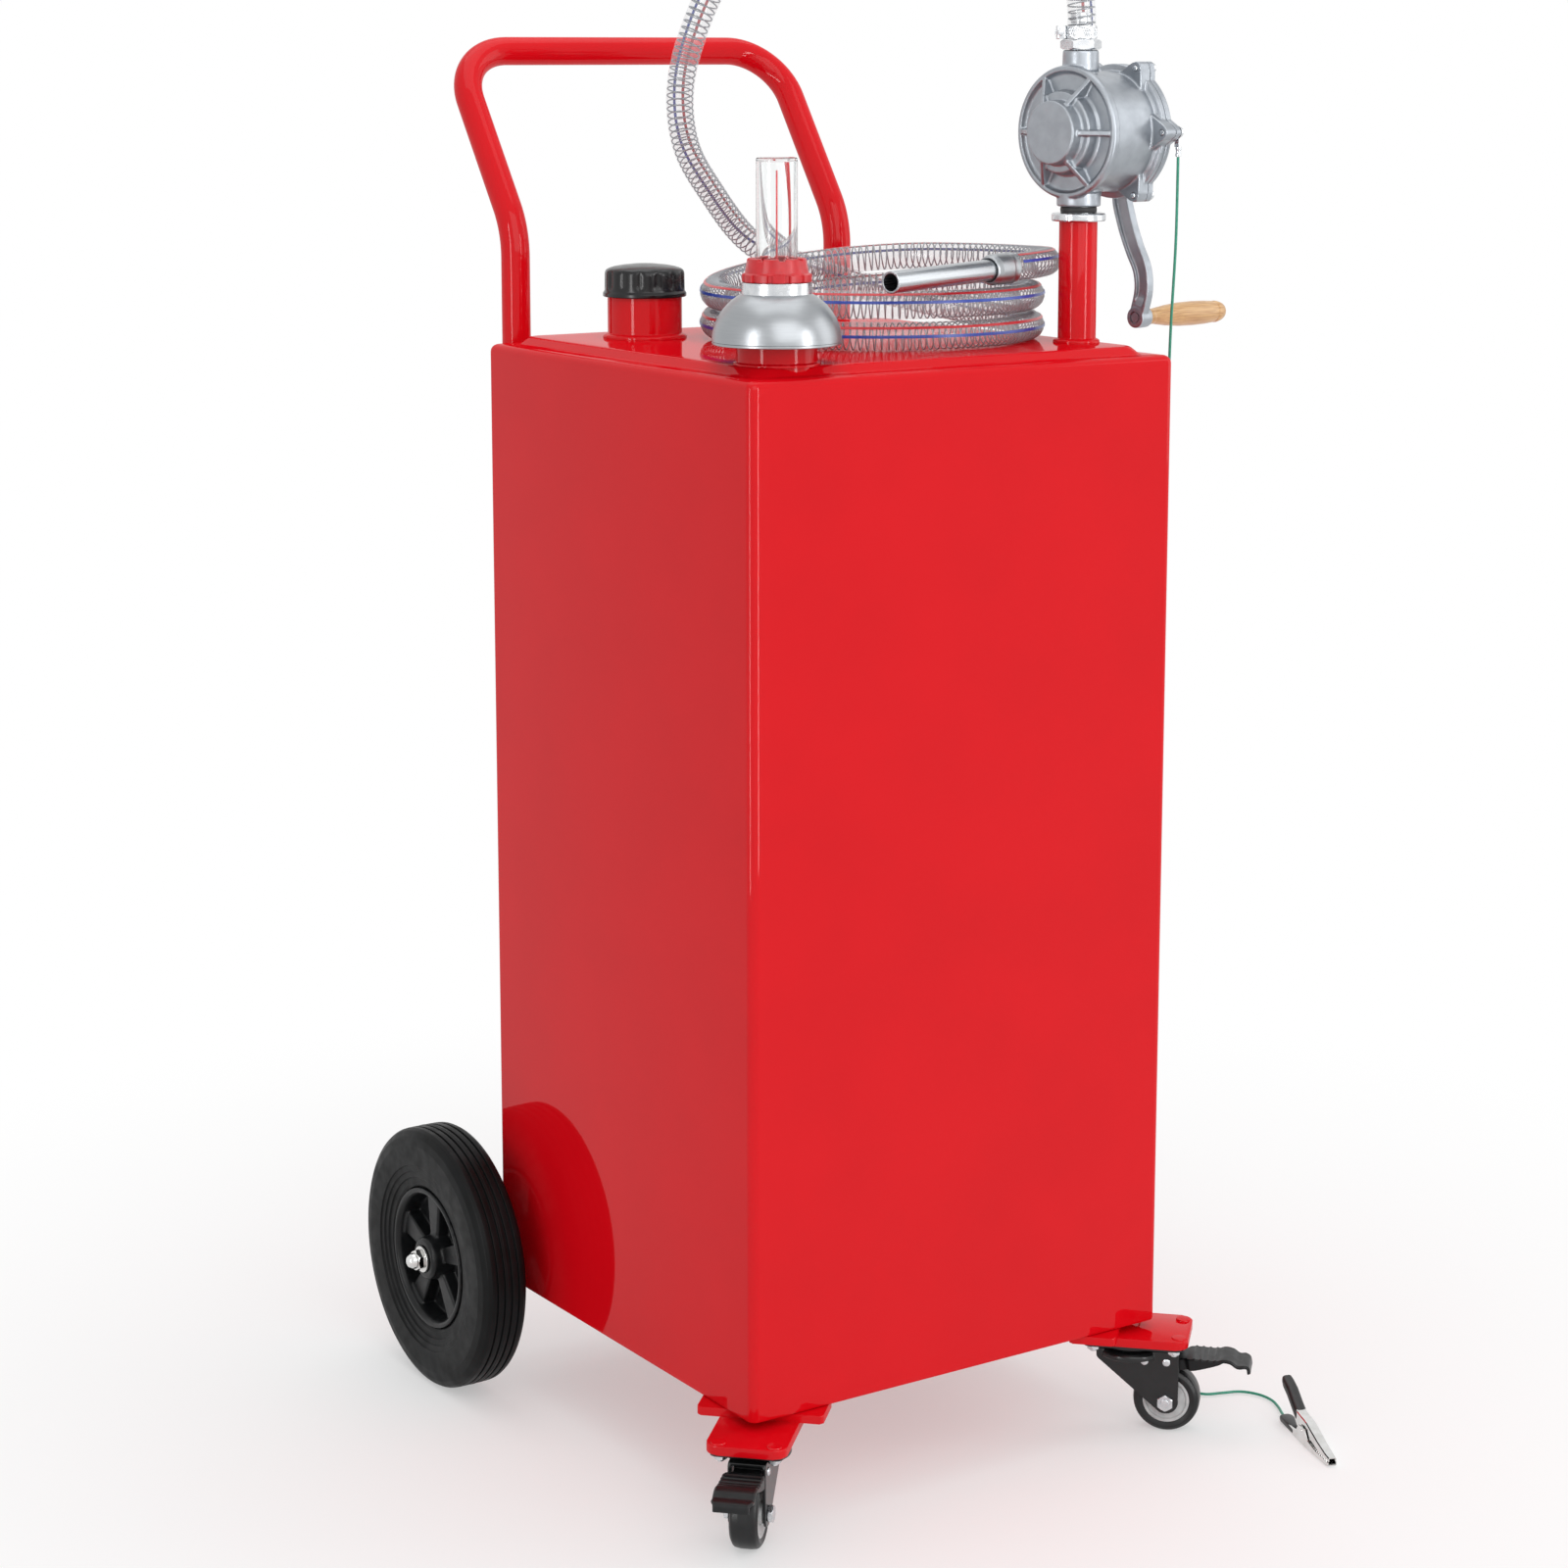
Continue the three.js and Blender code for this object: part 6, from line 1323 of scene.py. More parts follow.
hub_profile = [(0, 88.3), (12.4, 88.3, 0.8), (12.8, 95, 2), (12.2, 104, 1.2), (0, 104)]
end_profile = [(0, 89.7), (9, 89.7, 0.8), (9.2, 96, 2), (8.8, 104, 1.2), (0, 104)]
foot_boss = shifted(turned(end_profile, 64), 0, -CRANK_RADIUS, 0)
arm_skin = worked(
    merged(joined_rings(arm_rings), turned(hub_profile, 72), foot_boss), voxel=ARM_VOXEL, smooth=2)
arm_cutters = [
    rod(6.3, 80, 110, 48),
    shifted(rod(6.2, 101.6, 110, 48), 0, -CRANK_RADIUS, 0),
    shifted(rod(5.4, 80, 91.4, 48), 0, -CRANK_RADIUS, 0)]
crank_pin = turned([(0, 90), (4, 90), (4, 202.3, 0.6), (5.4, 202.6, 0.3), (5.4, 203.4, 1), (0, 204)], 40)
crank_skin = merged(worked(arm_skin, arm_cutters), shifted(crank_pin, 0, -CRANK_RADIUS, 0))
crank_casting = single(
    "crank_casting", crank_skin, cast_aluminium, PUMP, "crank", ("crank_arm",), smooth=CAST_SMOOTH)
print("crank arm:", len(crank_casting.data.polygons), "faces")

# %% [markdown]
# A beech grip turns freely on the pin. It was turned on a lathe, with a belly for the palm and a bead
# near its end, so its widths are given at shares of its length, as a turner would mark them on the blank.

# %% Beech grip
GRIP_FOOT, GRIP_LENGTH, GRIP_RADIUS, GRIP_BORE = 104.3, 98, 10.5, 4.4
length_shares = [0.02, 0.05, 0.075, 0.12, 0.25, 0.42, 0.6, 0.75, 0.83, 0.868, 0.885, 0.9, 0.92, 0.96]
width_shares = [0.60, 0.64, 0.62, 0.68, 0.84, 0.97, 1.0, 0.97, 0.92, 0.90, 0.84, 0.9, 0.9, 0.82]
grip_side = [
    (w * GRIP_RADIUS, GRIP_FOOT + s * GRIP_LENGTH, 2 if s < 0.85 else 0.6)
    for s, w in zip(length_shares, width_shares)]
grip_end = GRIP_FOOT + GRIP_LENGTH
grip_profile = [
    (GRIP_BORE, GRIP_FOOT), (6.2, GRIP_FOOT, 0.6), *grip_side, (7.0, grip_end, 2.4), (GRIP_BORE, grip_end)]
GRIP = PUMP @ Matrix.Translation((0, -CRANK_RADIUS, 0))
single("beech_grip", turned(grip_profile, 72), beech, GRIP, "grip", ("crank_grip",), smooth=MOULDED_SMOOTH)
print("grip:", GRIP_LENGTH, "mm")

# %% [markdown]
# ## Outlet fittings
# A zinc-plated nipple screws into the outlet, its barb goes into the hose, and a worm-drive clamp holds
# the hose on it: a slotted band, a small housing and a screw with a slotted head. Real slots would need
# many cuts for a few pixels, so the band's turned skin is pressed in between them.

# %% Nipple and clamp
NIPPLE_FOOT, NIPPLE_TOP, NIPPLE_BORE, BARB_ROOT, BARBS, BARB_PITCH = 1075, 1119.8, 6.5, 8.2, 5, 4.3
barb_rings = []
for i in range(BARBS):
    foot = 1098.4 + BARB_PITCH * i
    barb_rings += [(BARB_ROOT, foot), (9.1, foot + 0.5, 0.2), (BARB_ROOT, foot + 3.8)]
nipple_profile = [
    (NIPPLE_BORE, NIPPLE_FOOT), (9.4, NIPPLE_FOOT, 0.5), (9.4, 1090), (BARB_ROOT, 1097), *barb_rings,
    (7.6, NIPPLE_TOP, 0.4), (NIPPLE_BORE, NIPPLE_TOP)]
nipple = merged(turned(nipple_profile, 64), hexagon(30, 1089.3, 1097.5, chamfer=1.5, bore=17))
single("hex_nipple", nipple, zinc_plate, RISER, stands_for=("hose_nipple",))
CLAMP_TURN, BAND_FOOT, BAND_TOP, BAND_MIDDLE = 56, 1097.9, 1108.7, 1103.3
BAND_INNER, BAND_OUTER, BAND_SLOTS, SLOT_DEPTH, SLOT_SLANT = 12.3, 13.2, 44, 0.35, 0.22


def perforated(r, angle, z):
    """Slanted slots pressed into the band, which the worm bites into."""
    if r <= 12.9:
        return r
    across_slot = abs((angle * BAND_SLOTS / 2 / pi + (z - 1103) * SLOT_SLANT) % 1 - 0.5)
    slot = 1 - smooth_step((across_slot - 0.22) / 0.08)
    return r - SLOT_DEPTH * slot * smooth_step((4.2 - abs(z - BAND_MIDDLE)) / 0.8)


band_side = [(BAND_OUTER, 1098.4 + 0.7 * i) for i in range(15)]
band_profile = [
    (BAND_INNER, BAND_FOOT), (13.1, BAND_FOOT, 0.2), *band_side, (13.1, BAND_TOP, 0.2),
    (BAND_INNER, BAND_TOP)]
housing = raised(rectangle(-6.5, 6.5, 12.6, 20.6, 2.2), BAND_FOOT, BAND_TOP, 0.8)
worm_profile = [
    (0, -8.6), (2.4, -8.6, 0.4), (2.8, -7.6), (2.8, 6.2), (4.2, 6.4, 0.3), (4.2, 9.2, 0.6), (0, 9.2)]
worm = shifted(spun(turned(worm_profile, 40), 90, "Y"), 0, 17.1, BAND_MIDDLE)
slot_cutter = raised(rectangle(8.2, 12, 16.6, 17.6, 0.1), 1096, 1111)
clamp_skin = merged(turned(band_profile, 176, perforated), housing, worked(worm, [slot_cutter]))
CLAMP = RISER @ Matrix.Rotation(radians(CLAMP_TURN), 4, "Z")
single("worm_clamp", clamp_skin, zinc_plate, CLAMP, stands_for=("hose_clamp",))

# %% [markdown]
# Under the pump a zinc-plated ring locks it on its pipe, over a black seal. The ring has two notches for
# a hook spanner. They are shallow and soft, so the turned skin is drawn in there, which needs no cutter.

# %% Lock ring and seal
RING_INNER, RING_FOOT, RING_TOP = 12.8, 948.3, 954.8
NOTCH_ANGLE, NOTCH_HALF, NOTCH_DEPTH = 0.6, 0.1, 1.6
SEAL_FOOT, SEAL_TOP = 955.1, 960.1
lock_profile = [
    (RING_INNER, RING_FOOT), (22.0, RING_FOOT, 0.6), (22.7, RING_FOOT + 1.1, 0.6),
    (22.7, RING_TOP - 1.2, 0.8), (21.8, RING_TOP, 0.6), (RING_INNER, RING_TOP)]


def spanner_notches(r, angle, z):
    """Two small notches in the ring's rim, opposite each other."""
    away = abs(angle % pi - NOTCH_ANGLE)
    away = min(away, pi - away)
    return r - (NOTCH_DEPTH * smooth_step((NOTCH_HALF - away) / 0.03) if r > 20 else 0)


lock_skin = turned(lock_profile, 160, spanner_notches)
single("lock_nut", lock_skin, zinc_plate, RISER, stands_for=("lock_ring",))
seal_profile = [
    (RING_INNER, SEAL_FOOT), (15.0, SEAL_FOOT, 0.5), (15.35, (SEAL_FOOT + SEAL_TOP) / 2, 1.5),
    (15.0, SEAL_TOP, 0.5), (RING_INNER, SEAL_TOP)]
single("riser_seal", turned(seal_profile, 72), seal_rubber, RISER, stands_for=("pipe_seal",))
print("fittings: nipple, clamp, lock ring and seal")

# %% [markdown]
# ## The push handle
# One steel tube is bent to the handle's shape: up behind the tank, back towards whoever pushes, and
# across. Short lugs hold it off the tank's rear face. They are welded at both ends, so they flare into
# the face. A bevelled curve object could give the tube, but a mesh keeps its rings evenly spaced through
# each bend.

# %% Handle
HANDLE_DIAMETER, HANDLE_INSET, HANDLE_REACH = 25, 169.5, 335.6
HANDLE_LINE, HANDLE_BEND, HANDLE_TOP, HANDLE_END = 228.5, 935, 1088, 680
REAR_FACE = TANK_DEPTH / 2
RING_SPACING, LUG_HEIGHTS = 14, (705, 815)
handle_corners = []
for side, order in ((-1, 1), (1, -1)):
    branch = [
        (side * HANDLE_INSET, HANDLE_LINE, HANDLE_END), (side * HANDLE_INSET, HANDLE_LINE, HANDLE_BEND, 75),
        (side * HANDLE_INSET, HANDLE_REACH, HANDLE_TOP, 52.5)]
    handle_corners += branch[::order]
handle_bends = rounded(handle_corners, False, size=3, steps=18)
handle_path = []
for a, b in zip(handle_bends, handle_bends[1:]):
    parts = max(round((b - a).length / RING_SPACING), 1)
    handle_path += [a.lerp(b, k / parts) for k in range(parts)]
handle_path.append(handle_bends[-1])
handle_shells = [swept(frames_along(handle_path, Vector((1, 0, 0))), HANDLE_DIAMETER / 2, 48)]
lug_profile = [
    (0, REAR_FACE + SEAT), (13, REAR_FACE + SEAT, 0.8), (10.2, REAR_FACE + 3, 2.5), (10, REAR_FACE + 14),
    (10, HANDLE_LINE), (0, HANDLE_LINE)]
for side in (-1, 1):
    for height in LUG_HEIGHTS:
        lug = spun(turned(lug_profile, 48), -90, "X")
        handle_shells.append(shifted(lug, side * HANDLE_INSET, 0, height))
single("bent_handle", merged(*handle_shells), red_enamel, TANK, stands_for=("handle_tube",))
print("handle:", round(length_of(handle_path)), "mm of tube")

# %% [markdown]
# ## Axle and carrier
# Behind the tank a plate, three gussets and a cross tube carry the axle. They are welded up from plain
# stock, so plain shapes that overlap are just right. Bright acorn nuts with a washer close the axle's
# ends, outside the wheels.

# %% Carrier and nuts
AXLE_Y, AXLE_Z, AXLE_END = 232, 19.5, 276.4
CARRIER_BORE, CARRIER_RADIUS, CARRIER_HALF, PLATE_SHEET, GUSSET_HALF = 8.3, 13, 220, 4, 2.5
SIDEWAYS = axes(Vector((0, 0, 0)), Vector((0, 1, 0)), Vector((0, 0, 1)), Vector((1, 0, 0)))
carrier_tube = turned([
    (CARRIER_BORE, -CARRIER_HALF), (CARRIER_RADIUS, -CARRIER_HALF, 0.6), (CARRIER_RADIUS, CARRIER_HALF, 0.6),
    (CARRIER_BORE, CARRIER_HALF)], 64)
carrier_shells = [moved(carrier_tube, Matrix.Translation((0, AXLE_Y, AXLE_Z)) @ SIDEWAYS)]
plate_near = REAR_FACE + SEAT
plate = raised(rectangle(-180, 180, SEAT, 80, 12), -(plate_near + PLATE_SHEET), -plate_near, 0.8)
carrier_shells.append(spun(plate, 90, "X"))
gusset_outline = [
    (REAR_FACE + 3, 5), (226, 9, 3), (AXLE_Y + 2, 12), (AXLE_Y + 2, 27), (219, 62, 4), (REAR_FACE + 3, 66)]
for x in (-150, 0, 150):
    gusset = raised(gusset_outline, -GUSSET_HALF, GUSSET_HALF, 0.5)
    carrier_shells.append(shifted(moved(gusset, SIDEWAYS), x, 0, 0))
single("carrier", merged(*carrier_shells), red_enamel, TANK, stands_for=("axle_carrier",))

washer = turned([(5.3, 0), (11.9, 0, 0.3), (11.9, 2, 0.5), (5.3, 2)], 64)
acorn_dome = turned([
    (0, 7.6), (7.4, 7.6), (7.2, 9.2, 1), (6.5, 11.6, 3), (4.6, 14.6, 3), (2.2, 15.7, 2), (0, 15.9)], 64)
acorn = merged(washer, hexagon(17, 2.05, 8.2, chamfer=1.2), acorn_dome)
acorn_mesh = mesh_of("acorn_nut", acorn, nickel_plate, CAST_SMOOTH)


def outboard(side, distance, y, z):
    """A place on one side of the tank whose Z points away from it."""
    out = Vector((side, 0, 0))
    return TANK @ axes(Vector((side * distance, y, z)), RISE.cross(out), RISE, out)


SIDES = (("left", -1), ("right", 1))
for word, side in SIDES:
    spot = outboard(side, AXLE_END, AXLE_Y, AXLE_Z)
    piece(f"acorn_nut_{word}", acorn_mesh, spot, "root", (f"axle_nut_{word}",))
print("carrier and two acorn nuts")

# %% [markdown]
# ## The rear wheels
# Solid rubber tyres on moulded hubs. The tread has four fine grooves. The side wall is flat and wide,
# with three steps near the hub, and a fine seam left by the mould runs round the middle of the tread. A
# texture could draw grooves and steps, but they change the tyre's outline, so they are in its turned
# profile.

# %% Tyres
TYRE_RADIUS, WHEEL_DISTANCE = 117.5, 253.8
GROOVES, GROOVE_DEPTH, GROOVE_TOP, GROOVE_FOOT = (-10.5, -3.5, 3.5, 10.5), 1.8, 1.1, 0.7
SEAM_HALF, SEAM_PROUD = 0.4, 0.25
side_wall = [
    (64.2, 16.6, 1), (67, 18.0, 0.8), (72.6, 18.2, 0.5), (73.2, 19.5, 0.5), (78.2, 19.7, 0.5),
    (78.8, 20.9, 0.5), (83.8, 21.1, 0.5), (84.4, 22.3, 0.5), (103, 22.5, 6), (110.4, 21.4, 5),
    (115.4, 18.4, 3), (117.2, 15.4, 2)]
tyre_profile = [(r, -z, fillet) for r, z, fillet in side_wall]
for groove in GROOVES:
    tyre_profile += [
        (TYRE_RADIUS, groove - GROOVE_TOP, 0.4), (TYRE_RADIUS - GROOVE_DEPTH, groove - GROOVE_FOOT, 0.4),
        (TYRE_RADIUS - GROOVE_DEPTH, groove + GROOVE_FOOT, 0.4), (TYRE_RADIUS, groove + GROOVE_TOP, 0.4)]
    if groove == GROOVES[1]:
        tyre_profile += [
            (TYRE_RADIUS, -SEAM_HALF, 0.1), (TYRE_RADIUS + SEAM_PROUD, 0, 0.1), (TYRE_RADIUS, SEAM_HALF, 0.1)]
tyre_profile += reversed(side_wall)
tyre_mesh = mesh_of("grooved_tyre", turned(tyre_profile, 144), tyre_rubber)
for word, side in SIDES:
    spot = outboard(side, WHEEL_DISTANCE, AXLE_Y, AXLE_Z)
    piece(f"grooved_tyre_{word}", tyre_mesh, spot, f"rear_wheel_{word}", (f"tyre_{word}",))
print("tyres:", 2 * TYRE_RADIUS, "mm across")

# %% [markdown]
# The hub is a dish with a rim, five tapered spokes and a long boss. It came out of one mould, so its
# shells are melted together as the pump's are, with coarser voxels because it is bigger and plainer.

# %% Hubs
RIM_OUTER, RIM_HALF, HUB_SPOKES, HUB_VOXEL, AXLE_HOLE = 63.6, 19, 5, 1.15, 8.3
rim_profile = [
    (RIM_OUTER, -RIM_HALF, 0.8), (RIM_OUTER, RIM_HALF, 1), (59.5, RIM_HALF, 1.5), (57.2, RIM_HALF - 4, 3),
    (56.6, 0), (57.2, 4 - RIM_HALF, 3), (59.5, -RIM_HALF, 1.5)]
boss_profile = [
    (0, -22), (19, -22, 1.2), (20.4, -8), (20.4, 8), (19, 20.5, 1.5), (17.4, 21, 0.5), (17, 22, 0.6), (0, 22)]
hub_shells = [turned(rim_profile, 144), rod(60, -6.2, -1, 96), turned(boss_profile, 96)]
for i in range(HUB_SPOKES):
    spoke = raised([(10, -5.5), (60, -12), (60, 12), (10, 5.5)], -12, 11.5, 1.6)
    hub_shells.append(spun(spoke, 90 + 360 / HUB_SPOKES * i))
hub_skin = worked(merged(*hub_shells), voxel=HUB_VOXEL, smooth=4)
# A fine groove round the bore is where the bearing is pressed in.
bearing_groove = turned([(12.2, 21.1), (12.8, 21.1), (12.8, 25), (12.2, 25)], 72)
hub_cutters = [rod(AXLE_HOLE, -30, 30, 48), bearing_groove]
hub_mesh = mesh_of("spoked_hub", worked(hub_skin, hub_cutters), hub_plastic, CAST_SMOOTH)
for word, side in SIDES:
    spot = outboard(side, WHEEL_DISTANCE, AXLE_Y, AXLE_Z)
    piece(f"spoked_hub_{word}", hub_mesh, spot, f"rear_wheel_{word}", (f"wheel_hub_{word}",))
print("hubs:", len(hub_mesh.polygons), "faces each")

# %% [markdown]
# ## The casters
# Each front corner stands on a welded red bracket with a swivel caster under it. The frame of a corner
# has X pointing outwards along the tank's diagonal. The fork swivels about an axis 22 mm inside the
# corner and trails its wheel outwards, and a pressed pedal over the wheel brakes it. Each caster is drawn
# once, in its own corner's frame, and placed twice.

# %% Brackets and plates
SWIVEL_X = -22
BRACKET_FOOT, BRACKET_TOP, BAR_TOP, PAD_X, PAD_Y = -15, -7.2, -0.4, 22, 23
bracket = [
    raised(rectangle(-70, 30, -33, 33, 10), BRACKET_FOOT, BRACKET_TOP, 1.2),
    raised(rectangle(-70, -30, -52.5, 52.5, 3), BRACKET_TOP - 0.4, BAR_TOP, 1.2)]
# Two low domes show under the paint near the bracket's nose.
for y in (-PAD_Y, PAD_Y):
    pad = turned([(0, -8), (6.6, -8), (6.3, -7.0, 0.4), (6, -6.1, 0.5), (0, -6.0)], 48)
    bracket.append(shifted(pad, PAD_X, y, 0))
bracket_mesh = mesh_of("corner_bracket", merged(*bracket), red_enamel)
race_profile = [(0, -17), (25, -17, 1), (25.3, -21, 1.5), (22.5, -23.8, 1), (0, -23.8)]
kingpin_profile = [
    (0, -20), (5, -20), (5, -26.8), (7.6, -26.8, 0.3), (7.8, -28, 1), (5.4, -29.2, 1), (0, -29.4)]
mounting = [
    raised(rectangle(-60, 26, -30, 30, 5), -17.8, BRACKET_FOOT - SEAT, 0.6),
    shifted(turned(race_profile, 96), SWIVEL_X, 0, 0),
    shifted(turned(kingpin_profile, 48), SWIVEL_X, 0, 0)]
plate_mesh = mesh_of("caster_mounting", merged(*mounting), black_coat)
PLATE_NUT_X, PLATE_NUT_Y = (-52, 18), (-22, 22)
plate_nuts = []
for x in PLATE_NUT_X:
    for y in PLATE_NUT_Y:
        stud = turned([(0, -24), (3, -24, 0.6), (3, -21), (0, -21)], 32)
        plate_nuts.append(shifted(merged(hexagon(10, -22, -18, chamfer=0.8), stud), x, y, 0))
plate_nut_mesh = mesh_of("plate_nuts", merged(*plate_nuts), zinc_plate)


def corner_place(side):
    """The frame of a front corner."""
    turn = Matrix.Rotation(radians(-45 if side > 0 else -135), 4, "Z")
    return TANK @ Matrix.Translation((side * TANK_WIDTH / 2, -TANK_DEPTH / 2, 0)) @ turn


for word, side in SIDES:
    piece(f"corner_bracket_{word}", bracket_mesh, corner_place(side), "root", (f"caster_bracket_{word}",))
    piece(f"caster_mounting_{word}", plate_mesh, corner_place(side), "root", (f"caster_plate_{word}",))
    piece(f"plate_nuts_{word}", plate_nut_mesh, corner_place(side), "root")
print("brackets: 2")

# %% [markdown]
# The fork is one pressing: a round cap over the bearing and two cheeks bent down from it. It is drawn as
# overlapping sheets and melted together, so that its bends are round. Rivets and the axle bolt are
# zinc-plated.

# %% Forks and bolts
CHEEK_INNER, CHEEK_OUTER, FORK_TOP, AXLE_TRAIL, AXLE_DROP = 13.2, 15.7, -24.1, 32.7, -69
PEDAL_PIN_X, PEDAL_PIN_Z, REAR_RIVET_X = 33, -33, 14
CHEEK_TIP, FORK_VOXEL = 11, 0.62
cheek_outline = [(-28, FORK_TOP), (-28, -32.1, 4)]
for i in range(17):
    angle = radians(215 + 10 * i)
    cheek_outline.append((AXLE_TRAIL + CHEEK_TIP * cos(angle), AXLE_DROP + CHEEK_TIP * sin(angle)))
cheek_outline += [(44, -40.1, 8), (44, FORK_TOP, 4)]
fork_cap = [
    (0, -27), (23.5, -27), (25.4, -31), (28, -31, 0.8), (27.6, -27, 2.5), (25, FORK_TOP, 2.5), (0, FORK_TOP)]
fork_shells = [
    turned(fork_cap, 96),
    raised(rectangle(-27, 43, -CHEEK_OUTER, CHEEK_OUTER, 2), FORK_TOP - 2.6, FORK_TOP)]
for y in (-CHEEK_OUTER, CHEEK_INNER):
    cheek = spun(raised(cheek_outline, -y - CHEEK_OUTER + CHEEK_INNER, -y, 0.5), 90, "X")
    fork_shells.append(cheek)
fork_skin = worked(merged(*fork_shells), voxel=FORK_VOXEL, smooth=3)
kingpin_hole = rod(5.4, -40, -20, 32)
fork_mesh = mesh_of("pressed_fork", worked(fork_skin, [kingpin_hole]), black_coat, CAST_SMOOTH)

rivets = []
bolt = [spun(turned([(0, -21.4), (3.7, -21.4, 0.6), (4, -20), (4, 16), (0, 16)], 32), -90, "X")]
for flip in (90, -90):
    bolt.append(spun(hexagon(13, 16.0, 20.2, chamfer=0.7), flip, "X"))
    for x in (REAR_RIVET_X, PEDAL_PIN_X):
        rivet = turned([(0, 15.4), (3.6, 15.4), (3.4, 16.4, 0.8), (2, 17.1, 0.8), (0, 17.2)], 32)
        rivets.append(shifted(spun(rivet, flip, "X"), x, 0, PEDAL_PIN_Z))
bolt_mesh = mesh_of("axle_bolt", shifted(merged(*bolt), AXLE_TRAIL, 0, AXLE_DROP), zinc_plate)
rivet_mesh = mesh_of("fork_rivets", merged(*rivets), zinc_plate)


def swivel_place(side):
    """The frame of a caster's swivel axis."""
    return corner_place(side) @ Matrix.Translation((SWIVEL_X, 0, 0))


for word, side in SIDES:
    body = f"caster_{word}"
    piece(f"pressed_fork_{word}", fork_mesh, swivel_place(side), body, (f"caster_fork_{word}",))
    piece(f"axle_bolt_{word}", bolt_mesh, swivel_place(side), body, (f"caster_bolt_{word}",))
    piece(f"fork_rivets_{word}", rivet_mesh, swivel_place(side), body)
print("fork:", len(fork_mesh.polygons), "faces each")

# %% [markdown]
# A caster's wheel is a grey core with a black tread moulded round it. They are two pieces here as well,
# because they are two materials that meet in a sharp line.

# %% Caster wheels
CASTER_RADIUS = 29
tread_half = [(20.3, 10.8, 0.5), (24.5, 12, 1.5), (28.2, 9.6, 3.5), (CASTER_RADIUS, 4, 3)]
tread_profile = [*[(r, -z, f) for r, z, f in tread_half], *reversed(tread_half)]
tread_mesh = mesh_of("caster_tread", turned(tread_profile, 96), tread_rubber)
core_half = [(8.4, 12, 0.6), (9.2, 9.6, 0.8), (16.8, 9.3, 1), (18, 10.8, 0.6), (20.3, 10.8, 0.4)]
wheel_core = turned([
    (4.2, -12), *[(r, -z, f) for r, z, f in core_half], *reversed(core_half), (4.2, 12)], 96)
core_mesh = mesh_of("caster_core", wheel_core, core_plastic)
ALONG_Y = Matrix.Rotation(-pi / 2, 4, "X")
for word, side in SIDES:
    spot = swivel_place(side) @ Matrix.Translation((AXLE_TRAIL, 0, AXLE_DROP)) @ ALONG_Y
    piece(f"caster_tread_{word}", tread_mesh, spot, f"caster_{word}_wheel", (f"caster_wheel_{word}",))
    piece(f"caster_core_{word}", core_mesh, spot, f"caster_{word}_wheel")
print("caster wheels:", 2 * CASTER_RADIUS, "mm across")

# %% [markdown]
# The pedal is one pressing. It is narrow between the cheeks and wide outside them, its sides are folded
# down round the pin, four ridges cross it, and its tip curls over. Its section is swept along its own
# bent line and changes on the way, which keeps the sheet one thickness.

# %% Brake pedals
PEDAL_SHEET, PEDAL_FOLD, PEDAL_EDGE = 2.6, 2.4, 1.2
PEDAL_NECK, PEDAL_SPREAD, PEDAL_TAPER, PEDAL_SIDES = 11.8, 5.2, 2.5, 7.5
RIDGE_HEIGHT, RIDGES_FROM, RIDGES_TO, RIDGE_COUNT = 0.9, 54, 78, 4
pedal_side = (
    (29, -30.4), (44, -30.2), (51, -28.6), (58, -28.1), (76, -28.3), (82, -26.6), (89, -27.6), (95, -31.2),
    (100, -30.8), (104, -32.6), (105.5, -38.5))
pedal_line = curve_through([Vector((x, 0, z)) for x, z in pedal_side], 1.0)
pedal_frames = frames_along(pedal_line, Vector((0, 1, 0)))
pedal_rings = []
for spot in pedal_frames:
    x = spot[0].x
    half = PEDAL_NECK + PEDAL_SPREAD * smooth_step((x - 46.5) / 7) - PEDAL_TAPER * smooth_step((x - 98) / 8)
    fold = PEDAL_SHEET + 0.1 + PEDAL_SIDES * smooth_step((x - 29) / 3) * smooth_step((84 - x) / 30)
    wave = (x - RIDGES_FROM) / (RIDGES_TO - RIDGES_FROM) * 2 * RIDGE_COUNT * pi
    ridge = RIDGE_HEIGHT * max(sin(wave - pi / 2), 0) if RIDGES_FROM < x < RIDGES_TO else 0
    inner = half - PEDAL_FOLD
    low_edge = ridge - PEDAL_EDGE
    pedal_rings.append(ring_at(spot, [
        (-half, low_edge), (-half + PEDAL_EDGE, ridge), (half - PEDAL_EDGE, ridge), (half, low_edge),
        (half, -fold), (inner, -fold), (inner, -PEDAL_SHEET), (-inner, -PEDAL_SHEET), (-inner, -fold),
        (-half, -fold)]))
barrel = spun(turned([(2.8, -12), (5.2, -12, 0.5), (5.2, 12, 0.5), (2.8, 12)], 48), -90, "X")
barrel = shifted(barrel, PEDAL_PIN_X, 0, PEDAL_PIN_Z)
pedal_mesh = mesh_of("ribbed_pedal", merged(joined_rings(pedal_rings), barrel), hub_plastic)
for word, side in SIDES:
    body = f"caster_{word}_pedal"
    piece(f"ribbed_pedal_{word}", pedal_mesh, swivel_place(side), body, (f"brake_pedal_{word}",))
print("pedals: 2")

# %% [markdown]
# ## Pieces that stay as they are
# Seven plain turned or flat pieces are hidden or nearly so. They keep their solids and get their
# materials.

# %% Hidden pieces
plain_pieces = {
    "axle": zinc_plate, "suction_tube": zinc_plate, "pump_rotor": zinc_plate, "pump_vane": hub_plastic,
    "pump_shaft": zinc_plate, "tank_bottom": red_enamel, "cap_gasket": seal_rubber}
for name, material in plain_pieces.items():
    for slot in bpy.data.objects[name].material_slots:
        slot.material = material
print("plain pieces:", ", ".join(plain_pieces))

